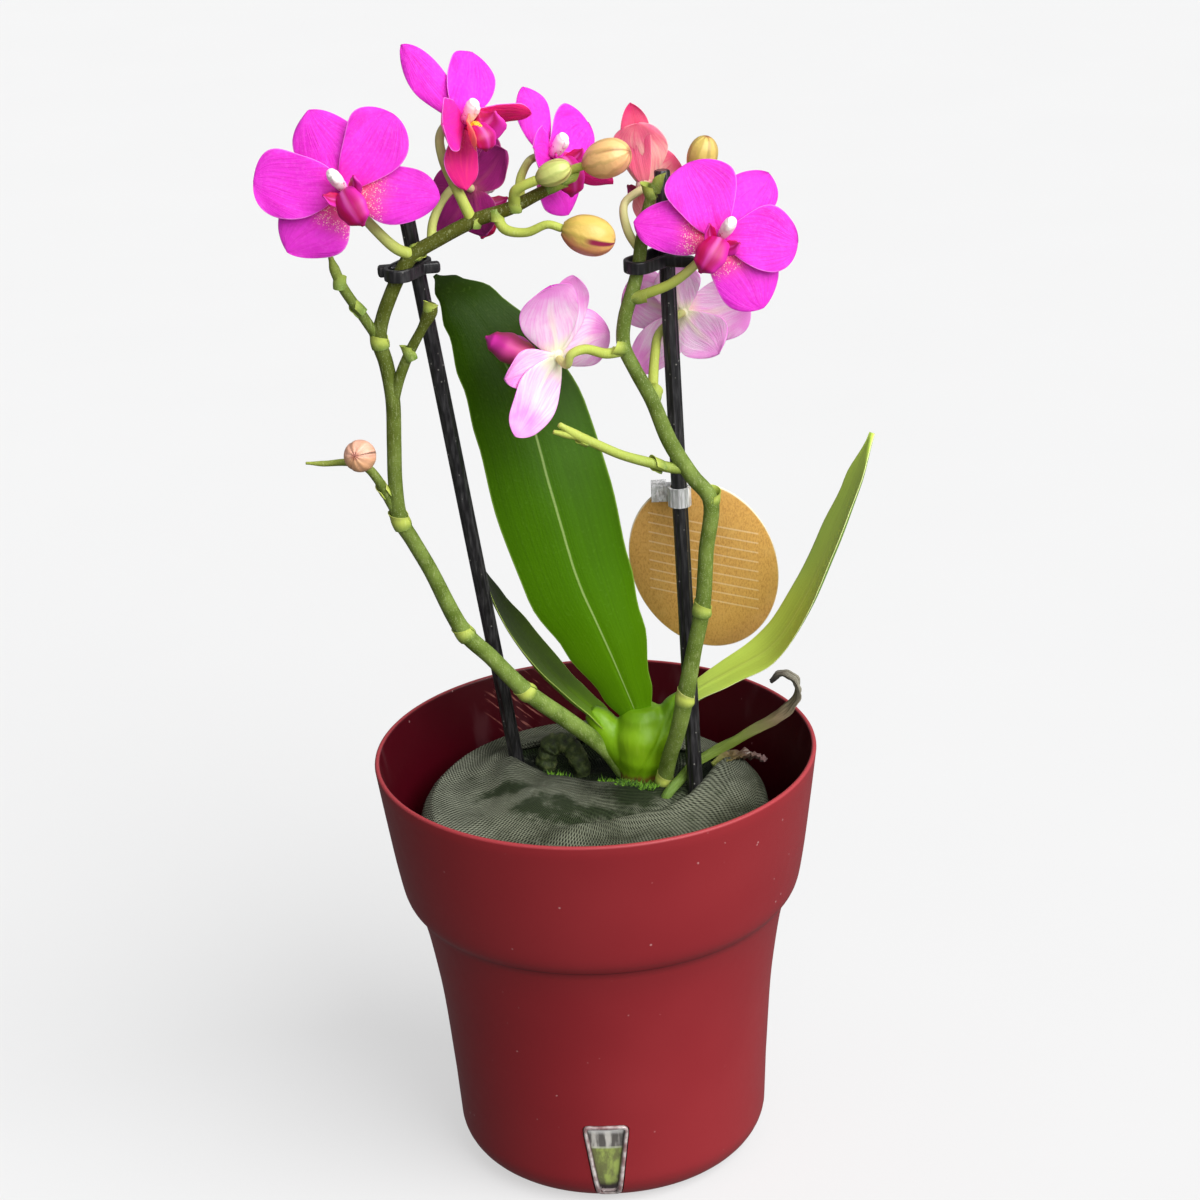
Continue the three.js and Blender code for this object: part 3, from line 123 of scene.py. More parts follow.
def smooth_path(knots: Sequence[Point], between: int) -> list[Vector]:
    """Runs a centripetal curve through given points.

    Args:
        knots: Points, of which the first three values are the place.
        between: Steps from each point to the next.

    Returns:
        The sampled points, both ends included.
    """
    spots = [Vector(knot[:3]) for knot in knots]
    ends = [2 * spots[0] - spots[1], *spots, 2 * spots[-1] - spots[-2]]
    result = []
    for i in range(len(spots) - 1):
        p0, p1, p2, p3 = ends[i : i + 4]
        gaps = [max((b - a).length ** 0.5, 0.1) for a, b in ((p0, p1), (p1, p2), (p2, p3))]
        leave = (p1 - p0) / gaps[0] - (p2 - p0) / (gaps[0] + gaps[1]) + (p2 - p1) / gaps[1]
        arrive = (p2 - p1) / gaps[1] - (p3 - p1) / (gaps[1] + gaps[2]) + (p3 - p2) / gaps[2]
        leave, arrive = leave * gaps[1], arrive * gaps[1]
        second = -3 * p1 + 3 * p2 - 2 * leave - arrive
        third = 2 * p1 - 2 * p2 + leave + arrive
        for t in (k / between for k in range(between)):
            result.append(p1 + leave * t + second * (t * t) + third * (t * t * t))
    return [*result, spots[-1]]


def spread(values: Sequence[float], between: int) -> list[float]:
    """Gives every sampled point a value from those of the hand-set points.

    Args:
        values: One value for each given point.
        between: Steps from each point to the next.

    Returns:
        One value for each sampled point.
    """
    result = []
    for first, second in zip(values, values[1:]):
        result += [mix(first, second, eased(k / between)) for k in range(between)]
    return [*result, values[-1]]


def tangents_of(path: Sequence[Vector]) -> list[Vector]:
    """Gives the direction of a path at each of its points."""
    last = len(path) - 1
    return [(path[min(i + 1, last)] - path[max(i - 1, 0)]).normalized() for i in range(last + 1)]


# Meshes and pieces

TRAITS = ("along", "across", "front", "tone", "pale")
Trait = tuple[float, float, float, float, float]
Ring = list[tuple[Vector, Trait]]
NO_TRAIT: Trait = (0.0, 0.0, 0.0, 0.0, 0.0)


def plain(points: Iterable[Vector], trait: Trait = NO_TRAIT) -> Ring:
    """Makes a ring whose points have the same traits."""
    return [(point, trait) for point in points]


def added(name: str, data: bpy.types.ID) -> Object:
    """Puts a new object into the scene.

    Args:
        name: Its name.
        data: Its mesh, lamp or camera.

    Returns:
        The object.
    """
    made = bpy.data.objects.new(name, data)
    bpy.context.scene.collection.objects.link(made)
    return made


def evaluated(piece: Object) -> Mesh:
    """Gives a piece's mesh with its modifiers worked in, and takes them off it.

    Args:
        piece: The object.

    Returns:
        The new mesh.
    """
    graph = bpy.context.evaluated_depsgraph_get()
    mesh = bpy.data.meshes.new_from_object(piece.evaluated_get(graph), depsgraph=graph)
    piece.modifiers.clear()
    return mesh


def store_traits(mesh: Mesh, traits: Sequence[Trait]) -> None:
    """Stores traits on the points of a mesh.

    Args:
        mesh: The mesh.
        traits: The traits of each point.
    """
    for name, values in zip(TRAITS, zip(*traits)):
        mesh.attributes.new(name, "FLOAT", "POINT").data.foreach_set("value", values)


@dataclass
class Draft:
    """Points, faces and traits of a mesh that is being put together.

    A trait is a number on each point that the finishes read: how far along and
    across a blade it lies, whether it is on the front, its tone and its paleness.
    """

    points: list[Vector] = field(default_factory=list)
    faces: list[tuple[int, ...]] = field(default_factory=list)
    traits: list[Trait] = field(default_factory=list)

    def add_rings(self, rings: Sequence[Ring], caps: bool = True, blade: bool = False) -> None:
        """Adds a skin over closed rings of equal count.

        Args:
            rings: The rings, each with its points and their traits.
            caps: Whether both ends are closed.
            blade: Whether the ends are closed by a strip from side to side.
        """
        start, count = len(self.points), len(rings[0])
        for ring in rings:
            self.points += [point for point, _ in ring]
            self.traits += [trait for _, trait in ring]
        last = start + (len(rings) - 1) * count
        for low in range(start, last, count):
            for i in range(count):
                nxt = (i + 1) % count
                self.faces.append((low + i, low + nxt, low + count + nxt, low + count + i))
        for low in (start, last) if caps else ():
            if blade:
                for i in range(count // 2 - 1):
                    self.faces.append((low + i, low + i + 1, low + count - 2 - i, low + count - 1 - i))
            else:
                self.faces.append(tuple(range(low, low + count)))

    def absorb(self, mesh: Mesh) -> None:
        """Adds a finished mesh in metres, with the traits that it carries, and removes it.

        Args:
            mesh: The mesh to take over.
        """
        start = len(self.points)
        layers = [mesh.attributes.get(name) for name in TRAITS]
        for i, vertex in enumerate(mesh.vertices):
            self.points.append(vertex.co / MM)
            self.traits.append(tuple(layer.data[i].value if layer else 0.0 for layer in layers))
        self.faces += [tuple(start + v for v in polygon.vertices) for polygon in mesh.polygons]
        bpy.data.meshes.remove(mesh)

    def mesh(self, name: str, merge: float = 0.0005, outwards: bool = True) -> Mesh:
        """Makes the mesh in metres.

        Args:
            name: Its name.
            merge: Points nearer than this many millimetres become one.
            outwards: Whether the faces are turned to point out of each closed skin.

        Returns:
            The new mesh.
        """
        made = bpy.data.meshes.new(name)
        made.from_pydata([point * MM for point in self.points], [], self.faces)
        store_traits(made, self.traits)
        work = bmesh.new()
        work.from_mesh(made)
        bmesh.ops.remove_doubles(work, verts=work.verts, dist=merge * MM)
        if outwards:
            bmesh.ops.recalc_face_normals(work, faces=work.faces)
        work.to_mesh(made)
        work.free()
        return made


def smooth(mesh: Mesh, sharp: float = 0.0) -> None:
    """Shades a mesh smoothly.

    Args:
        mesh: The mesh.
        sharp: Angle in degrees past which an edge stays sharp, or 0 for none.
    """
    mesh.shade_smooth()
    if sharp:
        mesh.set_sharp_from_angle(angle=radians(sharp))


def piece_of(mesh: Mesh, material: Material, node: str, slot: str, sharp: float = 0.0) -> Object:
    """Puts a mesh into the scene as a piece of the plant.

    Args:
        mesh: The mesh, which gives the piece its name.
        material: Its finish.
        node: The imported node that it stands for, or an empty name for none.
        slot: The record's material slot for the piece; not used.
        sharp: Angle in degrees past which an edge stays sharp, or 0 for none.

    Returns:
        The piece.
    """
    piece = added(mesh.name, mesh)
    mesh.materials.clear()
    mesh.materials.append(material)
    smooth(mesh, sharp)
    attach(piece, "root")
    if node:
        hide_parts(node)
    LOG.info("%s: %d faces", piece.name, len(mesh.polygons))
    return piece


def dress_node(name: str, material: Material) -> None:
    """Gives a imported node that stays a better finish.

    Args:
        name: The node.
        material: Its finish.
    """
    for piece in bpy.context.scene.objects:
        if piece.get("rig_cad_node") == name:
            piece.data.materials.clear()
            piece.data.materials.append(material)
            LOG.info("%s: kept and dressed", name)


@dataclass
class BladeRow:
    """One row across a thin blade, thick in its middle and trough deep before its edges."""

    centre: Vector
    across: Vector
    facing: Vector
    half: float
    trough: float
    thick: float
    edge: float
    along: float


Relief = Callable[[float, float], float]


def add_blade(
    draft: Draft,
    rows: Sequence[BladeRow],
    columns: int,
    tone: float = 0.0,
    pale: float = 0.0,
    relief: Relief = lambda along, u: 0.0,
) -> None:
    """Adds a closed thin blade with a rounded edge.

    Args:
        draft: The mesh that takes it.
        rows: Its rows from base to tip.
        columns: Points across each side.
        tone: The blade's tone trait.
        pale: The blade's pale trait.
        relief: Extra height towards the front at a share along and across.
    """
    spots = [sin(pi * (k / (columns - 1) - 0.5)) for k in range(columns)]
    rings = []
    for row in rows:
        ring = []
        for sign in (1, -1):
            for u in spots if sign > 0 else reversed(spots):
                thick = mix(row.thick, row.edge, u * u) * (1 - 0.75 * abs(u) ** 12)
                height = row.trough * u * u + sign * thick / 2 + relief(row.along, u)
                spot = row.centre + row.across * (u * row.half) + row.facing * height
                ring.append((spot, (row.along, u, (1 + sign) / 2, tone, pale)))
        rings.append(ring)
    draft.add_rings(rings, blade=True)


@dataclass
class LeafShape:
    """A leaf blade along given points [x, y, z, half width].

    Attributes:
        across: Direction across at the base and at the tip.
        fold: Fold at both, as a share of the half width.
        thick: Thickness at both.
        between: Steps from each given point to the next.
        edge: Thickness of the edges.
    """

    knots: Sequence[Point]
    across: tuple[Point, Point]
    fold: tuple[float, float]
    thick: tuple[float, float]
    between: int = 6
    edge: float = 0.6

    def rows(self) -> list[BladeRow]:
        """Works out the blade's rows.

        Returns:
            The rows from base to tip.
        """
        path = smooth_path(self.knots, self.between)
        halves = spread([knot[3] for knot in self.knots], self.between)
        first, last = (Vector(side) for side in self.across)
        result = []
        for i, (centre, tangent) in enumerate(zip(path, tangents_of(path))):
            share = i / (len(path) - 1)
            across = first.lerp(last, share)
            across = (across - tangent * across.dot(tangent)).normalized()
            facing = across.cross(tangent).normalized()
            trough, thick = halves[i] * mix(*self.fold, share), mix(*self.thick, share)
            result.append(BladeRow(centre, across, facing, halves[i], trough, thick, self.edge, share))
        return result


def add_lump(
    draft: Draft,
    knots: Sequence[Point],
    flat: float,
    traits: Callable[[float, float], Trait],
    between: int = 5,
    sides: int = 20,
) -> None:
    """Adds a closed, rounded body along given points [x, y, z, radius].

    Args:
        draft: The mesh that takes it.
        knots: The points.
        flat: Share of the radius along the second direction.
        traits: Traits from the share along and the share round.
        between: Steps from each point to the next.
        sides: Points round it.
    """
    path = smooth_path(knots, between)
    sizes = spread([knot[3] for knot in knots], between)
    side = Vector((1.0, 0.2, 0.1))
    rings = []
    for i, (centre, tangent, radius) in enumerate(zip(path, tangents_of(path), sizes)):
        side = (side - tangent * side.dot(tangent)).normalized()
        other = tangent.cross(side)
        ring = []
        for k, angle in enumerate(turns(sides)):
            spot = centre + side * (radius * cos(angle)) + other * (radius * flat * sin(angle))
            ring.append((spot, traits(i / (len(path) - 1), k / sides)))
        rings.append(ring)
    draft.add_rings(rings)


# Node graphs


def operator(operation: str, swapped: bool = False) -> Callable[["Signal", "Number"], "Signal"]:
    """Makes an operator of a signal that adds a Math node.

    Args:
        operation: What the node does.
        swapped: Whether the other value comes first.

    Returns:
        The operator's method.
    """

    def run(signal: "Signal", other: "Number") -> "Signal":
        """Adds the Math node."""
        first, second = (other, signal) if swapped else (signal, other)
        return signal.graph.math(operation, first, second)

    return run


@dataclass(eq=False)
class Signal:
    """A value that flows from a node's socket, which Python's operators work on."""

    graph: "Graph"
    socket: NodeSocket

    __add__, __radd__ = operator("ADD"), operator("ADD", True)
    __sub__, __rsub__ = operator("SUBTRACT"), operator("SUBTRACT", True)
    __mul__, __rmul__ = operator("MULTIPLY"), operator("MULTIPLY", True)
    __truediv__ = operator("DIVIDE")


Number = Union[float, Signal]


@dataclass
class Graph:
    """Adds nodes to a shader or geometry tree."""

    tree: NodeTree

    def node(
        self,
        kind: str,
        settings: dict[str, Any] | None = None,
        inputs: dict[str | int, Any] | None = None,
    ) -> Node:
        """Adds a node.

        Args:
            kind: Its type.
            settings: Its own settings, which are set first.
            inputs: Values or signals for its sockets, by name or number.

        Returns:
            The node.
        """
        made = self.tree.nodes.new(kind)
        for name, value in (settings or {}).items():
            if name == "stops":
                self._set_stops(made, value)
            else:
                setattr(made, name, value)
        for key, value in (inputs or {}).items():
            if isinstance(value, Signal):
                self.tree.links.new(value.socket, made.inputs[key])
            else:
                made.inputs[key].default_value = value
        return made

    def value(
        self,
        kind: str,
        settings: dict[str, Any] | None = None,
        inputs: dict[str | int, Any] | None = None,
        key: str | int = 0,
    ) -> Signal:
        """Adds a node and gives one of its outputs.

        Args:
            kind: Its type.
            settings: Its own settings.
            inputs: Values or signals for its sockets.
            key: The output's name or number.

        Returns:
            The output's signal.
        """
        return self.out(self.node(kind, settings, inputs), key)

    @staticmethod
    def _set_stops(made: Node, stops: Stops) -> None:
        """Sets the stops of a colour ramp.

        Args:
            made: The ramp's node.
            stops: Its places and colours.
        """
        elements = made.color_ramp.elements
        while len(elements) > 1:
            elements.remove(elements[-1])
        elements[0].position, elements[0].color = stops[0]
        for position, colour in stops[1:]:
            elements.new(position).color = colour

    def out(self, node: Node, key: str | int = 0) -> Signal:
        """Wraps an output of a node."""
        return Signal(self, node.outputs[key])

    def split(self, vector: Signal) -> tuple[Signal, Signal, Signal]:
        """Parts a vector into its three values."""
        made = self.node("ShaderNodeSeparateXYZ", None, {0: vector})
        return self.out(made, 0), self.out(made, 1), self.out(made, 2)

    def vector(self, x: Number, y: Number, z: Number = 0.0) -> Signal:
        """Joins three values into a vector."""
        return self.value("ShaderNodeCombineXYZ", None, {0: x, 1: y, 2: z})

    def math(self, operation: str, first: Number, second: Number = 0.0) -> Signal:
        """Adds a Math node."""
        return self.value("ShaderNodeMath", {"operation": operation}, {0: first, 1: second})

    def sine(self, value: Number) -> Signal:
        """Takes the sine."""
        return self.math("SINE", value)

    def size(self, value: Number) -> Signal:
        """Takes the absolute value."""
        return self.math("ABSOLUTE", value)

    def rise(self, value: Number, low: float, high: float) -> Signal:
        """Rises smoothly from 0 to 1 as a value goes from low to high.

        Args:
            value: The value.
            low: Where the result is 0.
            high: Where the result is 1, which may be below low.

        Returns:
            The eased share.
        """
        if low > high:
            return 1.0 - self.rise(value, high, low)
        inputs = {"Value": value, "From Min": low, "From Max": high}
        return self.value("ShaderNodeMapRange", {"interpolation_type": "SMOOTHSTEP"}, inputs)


@dataclass
class Paint(Graph):
    """Builds one procedural material."""

    material: Material = None

    @classmethod
    def start(cls, name: str) -> "Paint":
        """Starts an empty material.

        Args:
            name: Its name.

        Returns:
            Its painter.
        """
        material = bpy.data.materials.new(name)
        material.use_nodes = True
        material.node_tree.nodes.clear()
        return cls(material.node_tree, material)

    def place(self, stretch: Point = (1.0, 1.0, 1.0)) -> Signal:
        """Gives the place on the piece in millimetres, stretched by axis."""
        inputs = {0: self.value("ShaderNodeTexCoord", key="Object"), 1: tuple(part / MM for part in stretch)}
        return self.value("ShaderNodeVectorMath", {"operation": "MULTIPLY"}, inputs)

    def traits(self, *names: str) -> list[Signal]:
        """Reads traits of the piece's points."""
        return [self.value("ShaderNodeAttribute", {"attribute_name": name}, key="Fac") for name in names]

    def noise(
        self, scale: float, where: Signal | None = None, detail: float = 3.0, rough: float = 0.5
    ) -> Signal:
        """Adds soft noise.

        Args:
            scale: Patches for each unit of the place.
            where: The place, or None for millimetres on the piece.
            detail: Octaves.
            rough: How strong the fine octaves are.

        Returns:
            The noise from 0 to 1.
        """
        inputs = {"Vector": where or self.place(), "Scale": scale, "Detail": detail, "Roughness": rough}
        return self.value("ShaderNodeTexNoise", None, inputs)

    def cells(self, scale: float, where: Signal | None = None, feature: str = "F1") -> Signal:
        """Adds a pattern of the distance to scattered spots.

        Args:
            scale: Spots for each unit of the place.
            where: The place, or None for millimetres on the piece.
            feature: Which distance is measured.

        Returns:
            The distance.
        """
        inputs = {"Vector": where or self.place(), "Scale": scale}
        return self.value("ShaderNodeTexVoronoi", {"feature": feature}, inputs, "Distance")

    def blend(self, share: Number, first: Colour | Signal, second: Colour | Signal) -> Signal:
        """Mixes two colours."""
        settings = {"data_type": "RGBA", "clamp_factor": True}
        return self.value("ShaderNodeMix", settings, {0: share, 6: first, 7: second}, 2)

    def layers(self, base: Colour | Signal, *layers: tuple[Number, Colour | Signal]) -> Signal:
        """Lays colours over a base, one after the other.

        Args:
            base: The lowest colour.
            *layers: Each layer's strength and colour.

        Returns:
            The colour that shows.
        """
        for share, colour in layers:
            base = self.blend(share, base, colour)
        return base

    def ramp(self, share: Signal, stops: Stops) -> Signal:
        """Runs a value through colour stops."""
        return self.value("ShaderNodeValToRGB", {"stops": stops}, {0: share})

    def bump(self, height: Signal, depth: float, below: Signal | None = None) -> Signal:
        """Turns a height into a normal.

        Args:
            height: Height from 0 to 1.
            depth: Its depth in millimetres.
            below: A normal to lay it over.

        Returns:
            The normal.
        """
        inputs = {"Height": height, "Distance": depth * MM, "Strength": 1.0}
        return self.value("ShaderNodeBump", None, inputs | ({"Normal": below} if below else {}))

    def finish(
        self, base: Signal, rough: Number, normal: Signal | None = None, **plain_inputs: float
    ) -> Material:
        """Ends the material in its shader.

        Args:
            base: Base colour.
            rough: Roughness.
            normal: Normal.
            **plain_inputs: Numbers that are the same all over, by socket name with _ for a space.

        Returns:
            The material.
        """
        inputs = {"Base Color": base, "Roughness": rough} | ({"Normal": normal} if normal else {})
        inputs |= {name.replace("_", " "): value for name, value in plain_inputs.items()}
        self.node("ShaderNodeOutputMaterial", None, {0: self.value("ShaderNodeBsdfPrincipled", None, inputs)})
        return self.material


# Finishes


@dataclass(frozen=True)
class PlanterPlastic:
    """Burgundy satin plastic: fine moulded grain, dust specks, scrapes on the lining, painted shade over the
    whole lining and along the crease, and a painted highlight on the lip.
    """

    outside: Colour = tint(132, 33, 39)
    lit: Colour = tint(146, 45, 49)
    # lining: the same plastic painted dark as shade inside the pot
    lining: Colour = tint(66, 2, 14)
    # lip: lighter plastic, a painted highlight along the rim's lip
    lip: Colour = tint(176, 66, 72)
    crease_height: float = 81.6
    scrape: Point = (-23.0, 54.5, 115.0)

    def material(self) -> Material:
        """Builds the material.

        Returns:
            The material.
        """
        paint = Paint.start("planter_plastic")
        x, y, z = paint.split(paint.place())
        inner, lip = paint.traits("tone", "pale")
        # painted shade: a dark band along the crease between foot and bowl
        crease = 1.0 - paint.rise(paint.size(z - self.crease_height), 0.1, 0.7)
        outside = paint.layers(
            self.outside,
            (paint.rise(paint.noise(0.02, detail=2.0), 0.35, 0.7) * 0.35, self.lit),
            (crease * 0.55, tint(58, 10, 18)),
        )
        smudge = paint.rise(paint.noise(0.12, paint.place((1.0, 1.0, 0.35))), 0.56, 0.74)
        away = paint.vector(x - self.scrape[0], y - self.scrape[1], (z - self.scrape[2]) * 0.9)
        near = paint.value("ShaderNodeVectorMath", {"operation": "LENGTH"}, {0: away}, "Value")
        streak = paint.rise(paint.noise(0.9, paint.vector(x + z, x * 0.1 - z * 0.1), 4.0), 0.57, 0.66)
        scraped = streak * paint.rise(near, 12.0, 5.0)
        # the lining's painted shade, with real smudges and scrapes over it
        lining = paint.layers(
            self.lining, (smudge * 0.16, tint(118, 84, 88)), (scraped, tint(176, 108, 98))
        )
        sparse = paint.rise(paint.noise(0.5, detail=0.0), 0.5, 0.6)
        speck = paint.rise(paint.cells(0.16), 0.075, 0.03) * sparse
        # the dark lining is painted shade and the pale lip is a painted highlight
        base = paint.layers(
            outside, (inner, lining), (speck * 0.55, tint(206, 160, 158)), (lip * 0.6, self.lip)
        )
        normal = paint.bump(paint.noise(5.0, detail=2.0), 0.03)
        gloss = {"Specular_IOR_Level": 0.25, "Coat_Weight": 0.03, "Coat_Roughness": 0.3}
        return paint.finish(base, 0.4 + 0.1 * paint.noise(0.3) - 0.08 * inner, normal, **gloss)


@dataclass(frozen=True)
class GaugePane:
    """Clear plastic gauge: pale rim painted as reflection off its bevels, grey headroom with painted
    reflection streaks and a painted highlight at its top, water line, and green algae with a painted shadow
    and a painted highlight at its foot.
    """

    water_line: float = 20.4
    algae: Colour = tint(156, 172, 88)
    # rim: pale colour painted as reflection off the frame's bevels
    rim: Colour = tint(208, 200, 196)

    def material(self) -> Material:
        """Builds the material.

        Returns:
            The material.
        """
        paint = Paint.start("gauge_plastic")
        z = paint.split(paint.place())[2]
        rim, pane = paint.traits("tone", "front")
        # painted reflections: pale upright streaks over the grey headroom, and a painted highlight along its
        # top
        reflection_streaks = paint.noise(0.45, paint.place((1.0, 1.0, 0.22)), 4.0)
        head = paint.layers(
            tint(92, 88, 84),
            (paint.rise(reflection_streaks, 0.42, 0.66), tint(196, 192, 184)),
            (paint.rise(z, 24.5, 26.6), tint(232, 230, 226)),
        )
        patches = paint.rise(paint.noise(0.42, paint.place((1.0, 1.0, 0.5)), 5.0), 0.4, 0.62)
        # algae water, with a painted shadow band near the foot and a painted highlight along the bottom edge
        water = paint.layers(
            tint(112, 116, 70),
            (patches, self.algae),
            (paint.rise(z, 9.0, 6.4), tint(44, 26, 26)),
            (paint.rise(z, 5.6, 4.8), tint(236, 214, 212)),
        )
        line = 1.0 - paint.rise(paint.size(z - self.water_line), 0.15, 0.5)
        filled = paint.layers(
            head,
            (paint.rise(z, self.water_line, self.water_line - 0.5), water),
            (line * 0.5, tint(196, 202, 170)),
        )
        # the frame's painted reflection, with darker patches mixed in
        edge = paint.layers(self.rim, (paint.rise(paint.noise(0.3), 0.35, 0.65), tint(136, 104, 104)))
        base = paint.layers(tint(52, 34, 36), (pane, filled), (rim, edge))
        normal = paint.bump(paint.noise(0.9, detail=2.0), 0.12)
        return paint.finish(base, 0.08 + 0.1 * reflection_streaks, normal, Coat_Weight=0.7, Coat_Roughness=0.04)


@dataclass(frozen=True)
class DullPlastic:
    """Plain moulded plastic with scuffs, lengthwise marks and pale specks."""

    name: str
    dark: Colour
    scuff: Colour
    rough: float = 0.42
    specks: float = 0.0

    def material(self) -> Material:
        """Builds the material.

        Returns:
            The material.
        """
        paint = Paint.start(self.name)
        marks = paint.noise(1.3, paint.place((1.0, 1.0, 0.12)), 4.0)
        sparse = paint.rise(paint.noise(0.6, detail=0.0), 0.46, 0.6)
        spots = paint.rise(paint.cells(0.55), 0.16, 0.08) * sparse
        base = paint.layers(
            self.dark, (paint.rise(marks, 0.4, 0.75), self.scuff), (spots * self.specks, tint(170, 168, 160))
        )
        return paint.finish(base, self.rough + 0.18 * (marks - 0.5), paint.bump(paint.noise(3.0), 0.05))


@dataclass(frozen=True)
class StaleWater:
    """Greenish water with drifting algae."""

    clear: Colour = tint(96, 108, 62)
    algae: Colour = tint(58, 84, 26)

    def material(self) -> Material:
        """Builds the material.

        Returns:
            The material.
        """
        paint = Paint.start("stale_water")
        drift = paint.noise(0.15, detail=5.0)
        base = paint.blend(paint.rise(drift, 0.4, 0.65), self.clear, self.algae)
        return paint.finish(base, 0.06 + 0.1 * drift, paint.bump(drift, 0.2), Coat_Weight=0.5)


class Cloth(Enum):
    """The two states of the knitted cloth."""

    DRY = "knit_dry"
    MOSSY = "knit_mossy"


@dataclass(frozen=True)
class KnitCloth:
    """Fine grey-green knit, read from the turn round the pot and the way down the cloth.

    Attributes:
        state: Whether the cloth is dry, or wet and overgrown.
        columns: Stitches round the wrap.
        course: Height of a row of stitches.
    """

    state: Cloth
    columns: int = 210
    course: float = 1.5

    def material(self) -> Material:
        """Builds the material.

        Returns:
            The material.
        """
        paint = Paint.start(self.state.value)
        x, y, z = paint.split(paint.place())
        turn = paint.math("ARCTAN2", y - WrapForm.centre[1], x - WrapForm.centre[0])
        down, stains = paint.traits("along", "tone")
        bend = paint.noise(0.05, detail=2.0)
        column = turn * (self.columns / FULL_TURN) + bend * 2.0
        row = down / self.course + bend
        stitch = paint.sine(row * FULL_TURN) * paint.sine(column * FULL_TURN) * 0.5 + 0.5
        patch = paint.noise(0.055, detail=4.0)
        fine = paint.noise(0.5, detail=3.0)
        if self.state is Cloth.DRY:
            hole = tint(36, 38, 28)
            # threads paler towards the left and over the top
            paler_left_and_top = paint.rise(x, -24.0, -42.0) * 0.5 + paint.rise(z, 108.5, 112.0) * 0.3
            thread = paint.layers(
                tint(70, 74, 56),
                (paint.rise(patch, 0.36, 0.62), tint(124, 128, 108)),
                (paler_left_and_top, tint(142, 146, 130)),
            )
        else:
            hole = tint(8, 10, 6)
            thread = paint.blend(paint.rise(patch, 0.4, 0.6), tint(20, 26, 16), tint(52, 60, 42))
        blot = paint.noise(0.17, detail=5.0, rough=0.62)
        wet = paint.rise(stains + (blot - 0.5) * 2.4 + (fine - 0.5) * 0.5, 0.15, 0.95)
        base = paint.layers(
            hole,
            (paint.rise(stitch, 0.1, 0.8), thread),
            (paint.rise(fine, 0.55, 0.8) * 0.25, tint(156, 160, 142)),
            (wet * 0.9, paint.blend(stitch, tint(6, 12, 2), tint(38, 54, 20))),
        )
        normal = paint.bump(stitch, 0.32, paint.bump(fine, 0.15))
        return paint.finish(base, 0.95 - 0.1 * wet, normal, Specular_IOR_Level=0.2)


@dataclass(frozen=True)
class Velamen:
    """Skin of an aerial root: dull green-brown with pale scars."""

    stops: Stops = (
        (0.3, tint(20, 24, 10)), (0.5, tint(58, 72, 28)), (0.66, tint(96, 104, 58)),
        (0.78, tint(182, 176, 150)),
    )

    def material(self) -> Material:
        """Builds the material.

        Returns:
            The material.
        """
        paint = Paint.start("root_velamen")
        lumps = paint.noise(0.35, detail=5.0, rough=0.6)
        return paint.finish(paint.ramp(lumps, self.stops), 0.6 + 0.2 * lumps, paint.bump(lumps, 1.0))


@dataclass(frozen=True)
class CrownSkin:
    """Glossy lime sheaths with fine ribs and a brown scar at the foot."""

    shade: Colour = tint(112, 160, 14)
    lit: Colour = tint(136, 182, 22)

    def material(self) -> Material:
        """Builds the material.

        Returns:
            The material.
        """
        paint = Paint.start("crown_skin")
        z = paint.split(paint.place())[2]
        ribs = paint.noise(0.8, paint.place((1.0, 1.0, 0.16)), 3.0)
        blotch = paint.noise(0.09, detail=3.0)
        base = paint.layers(
            self.shade,
            (paint.rise(blotch, 0.3, 0.7), self.lit),
            (paint.rise(z, 122.0, 133.0) * 0.6, tint(84, 132, 12)),
            (paint.rise(ribs, 0.55, 0.8) * 0.16, tint(180, 208, 80)),
            (paint.rise(z + ribs * 3.0, 112.6, 110.4), tint(120, 88, 40)),
        )
        gloss = {"Specular_IOR_Level": 0.3, "Coat_Weight": 0.08, "Coat_Roughness": 0.3}
        return paint.finish(base, 0.34 + 0.15 * blotch, paint.bump(ribs, 0.16), **gloss)


@dataclass(frozen=True)
class LeafSkin:
    """Waxy leaf with a midrib, lengthwise veins and a fine cell grain.

    Attributes:
        name: The material's name.
        base: Colour at the leaf's base, as middle and tip are farther up.
        under: Colour of the underside.
        rib_strength: How strongly the midrib shows.
    """

    name: str
    base: Colour
    middle: Colour
    tip: Colour
    under: Colour
    rib: Colour
    rib_strength: float
    edge: Colour

    def material(self) -> Material:
        """Builds the material.

        Returns:
            The material.
        """
        paint = Paint.start(self.name)
        along, across, front = paint.traits("along", "across", "front")
        waver = (paint.noise(0.05, detail=2.0) - 0.5) * 0.16
        skin = paint.ramp(along + waver, [(0.02, self.base), (0.42, self.middle), (0.9, self.tip)])
        lines = paint.noise(1.0, paint.vector(across * 26.0, along * 3.0), 3.0)
        skin = paint.blend(paint.rise(lines, 0.35, 0.75) * 0.16, skin, tint(24, 48, 2))
        below = paint.blend(paint.rise(lines, 0.4, 0.7) * 0.16, self.under, self.base)
        sway = (paint.noise(0.09, detail=1.0) - 0.5) * 0.03
        rib = paint.rise(paint.size(across + sway), 0.03, 0.006) * paint.rise(along, 0.78, 0.55)
        grain = paint.cells(1.6, feature="SMOOTH_F1")
        skin = paint.layers(
            below,
            (front, skin),
            (rib * self.rib_strength, self.rib),
            (paint.rise(grain, 0.5, 0.85) * 0.05, tint(160, 200, 90)),
            (paint.rise(paint.size(across), 0.965, 0.995) * 0.75, self.edge),
        )
        normal = paint.bump(grain, 0.04, paint.bump(lines, 0.05))
        gloss = {"Specular_IOR_Level": 0.12, "Coat_Weight": 0.02, "Coat_Roughness": 0.25}
        return paint.finish(skin, 0.3 + 0.14 * lines, normal, **gloss)


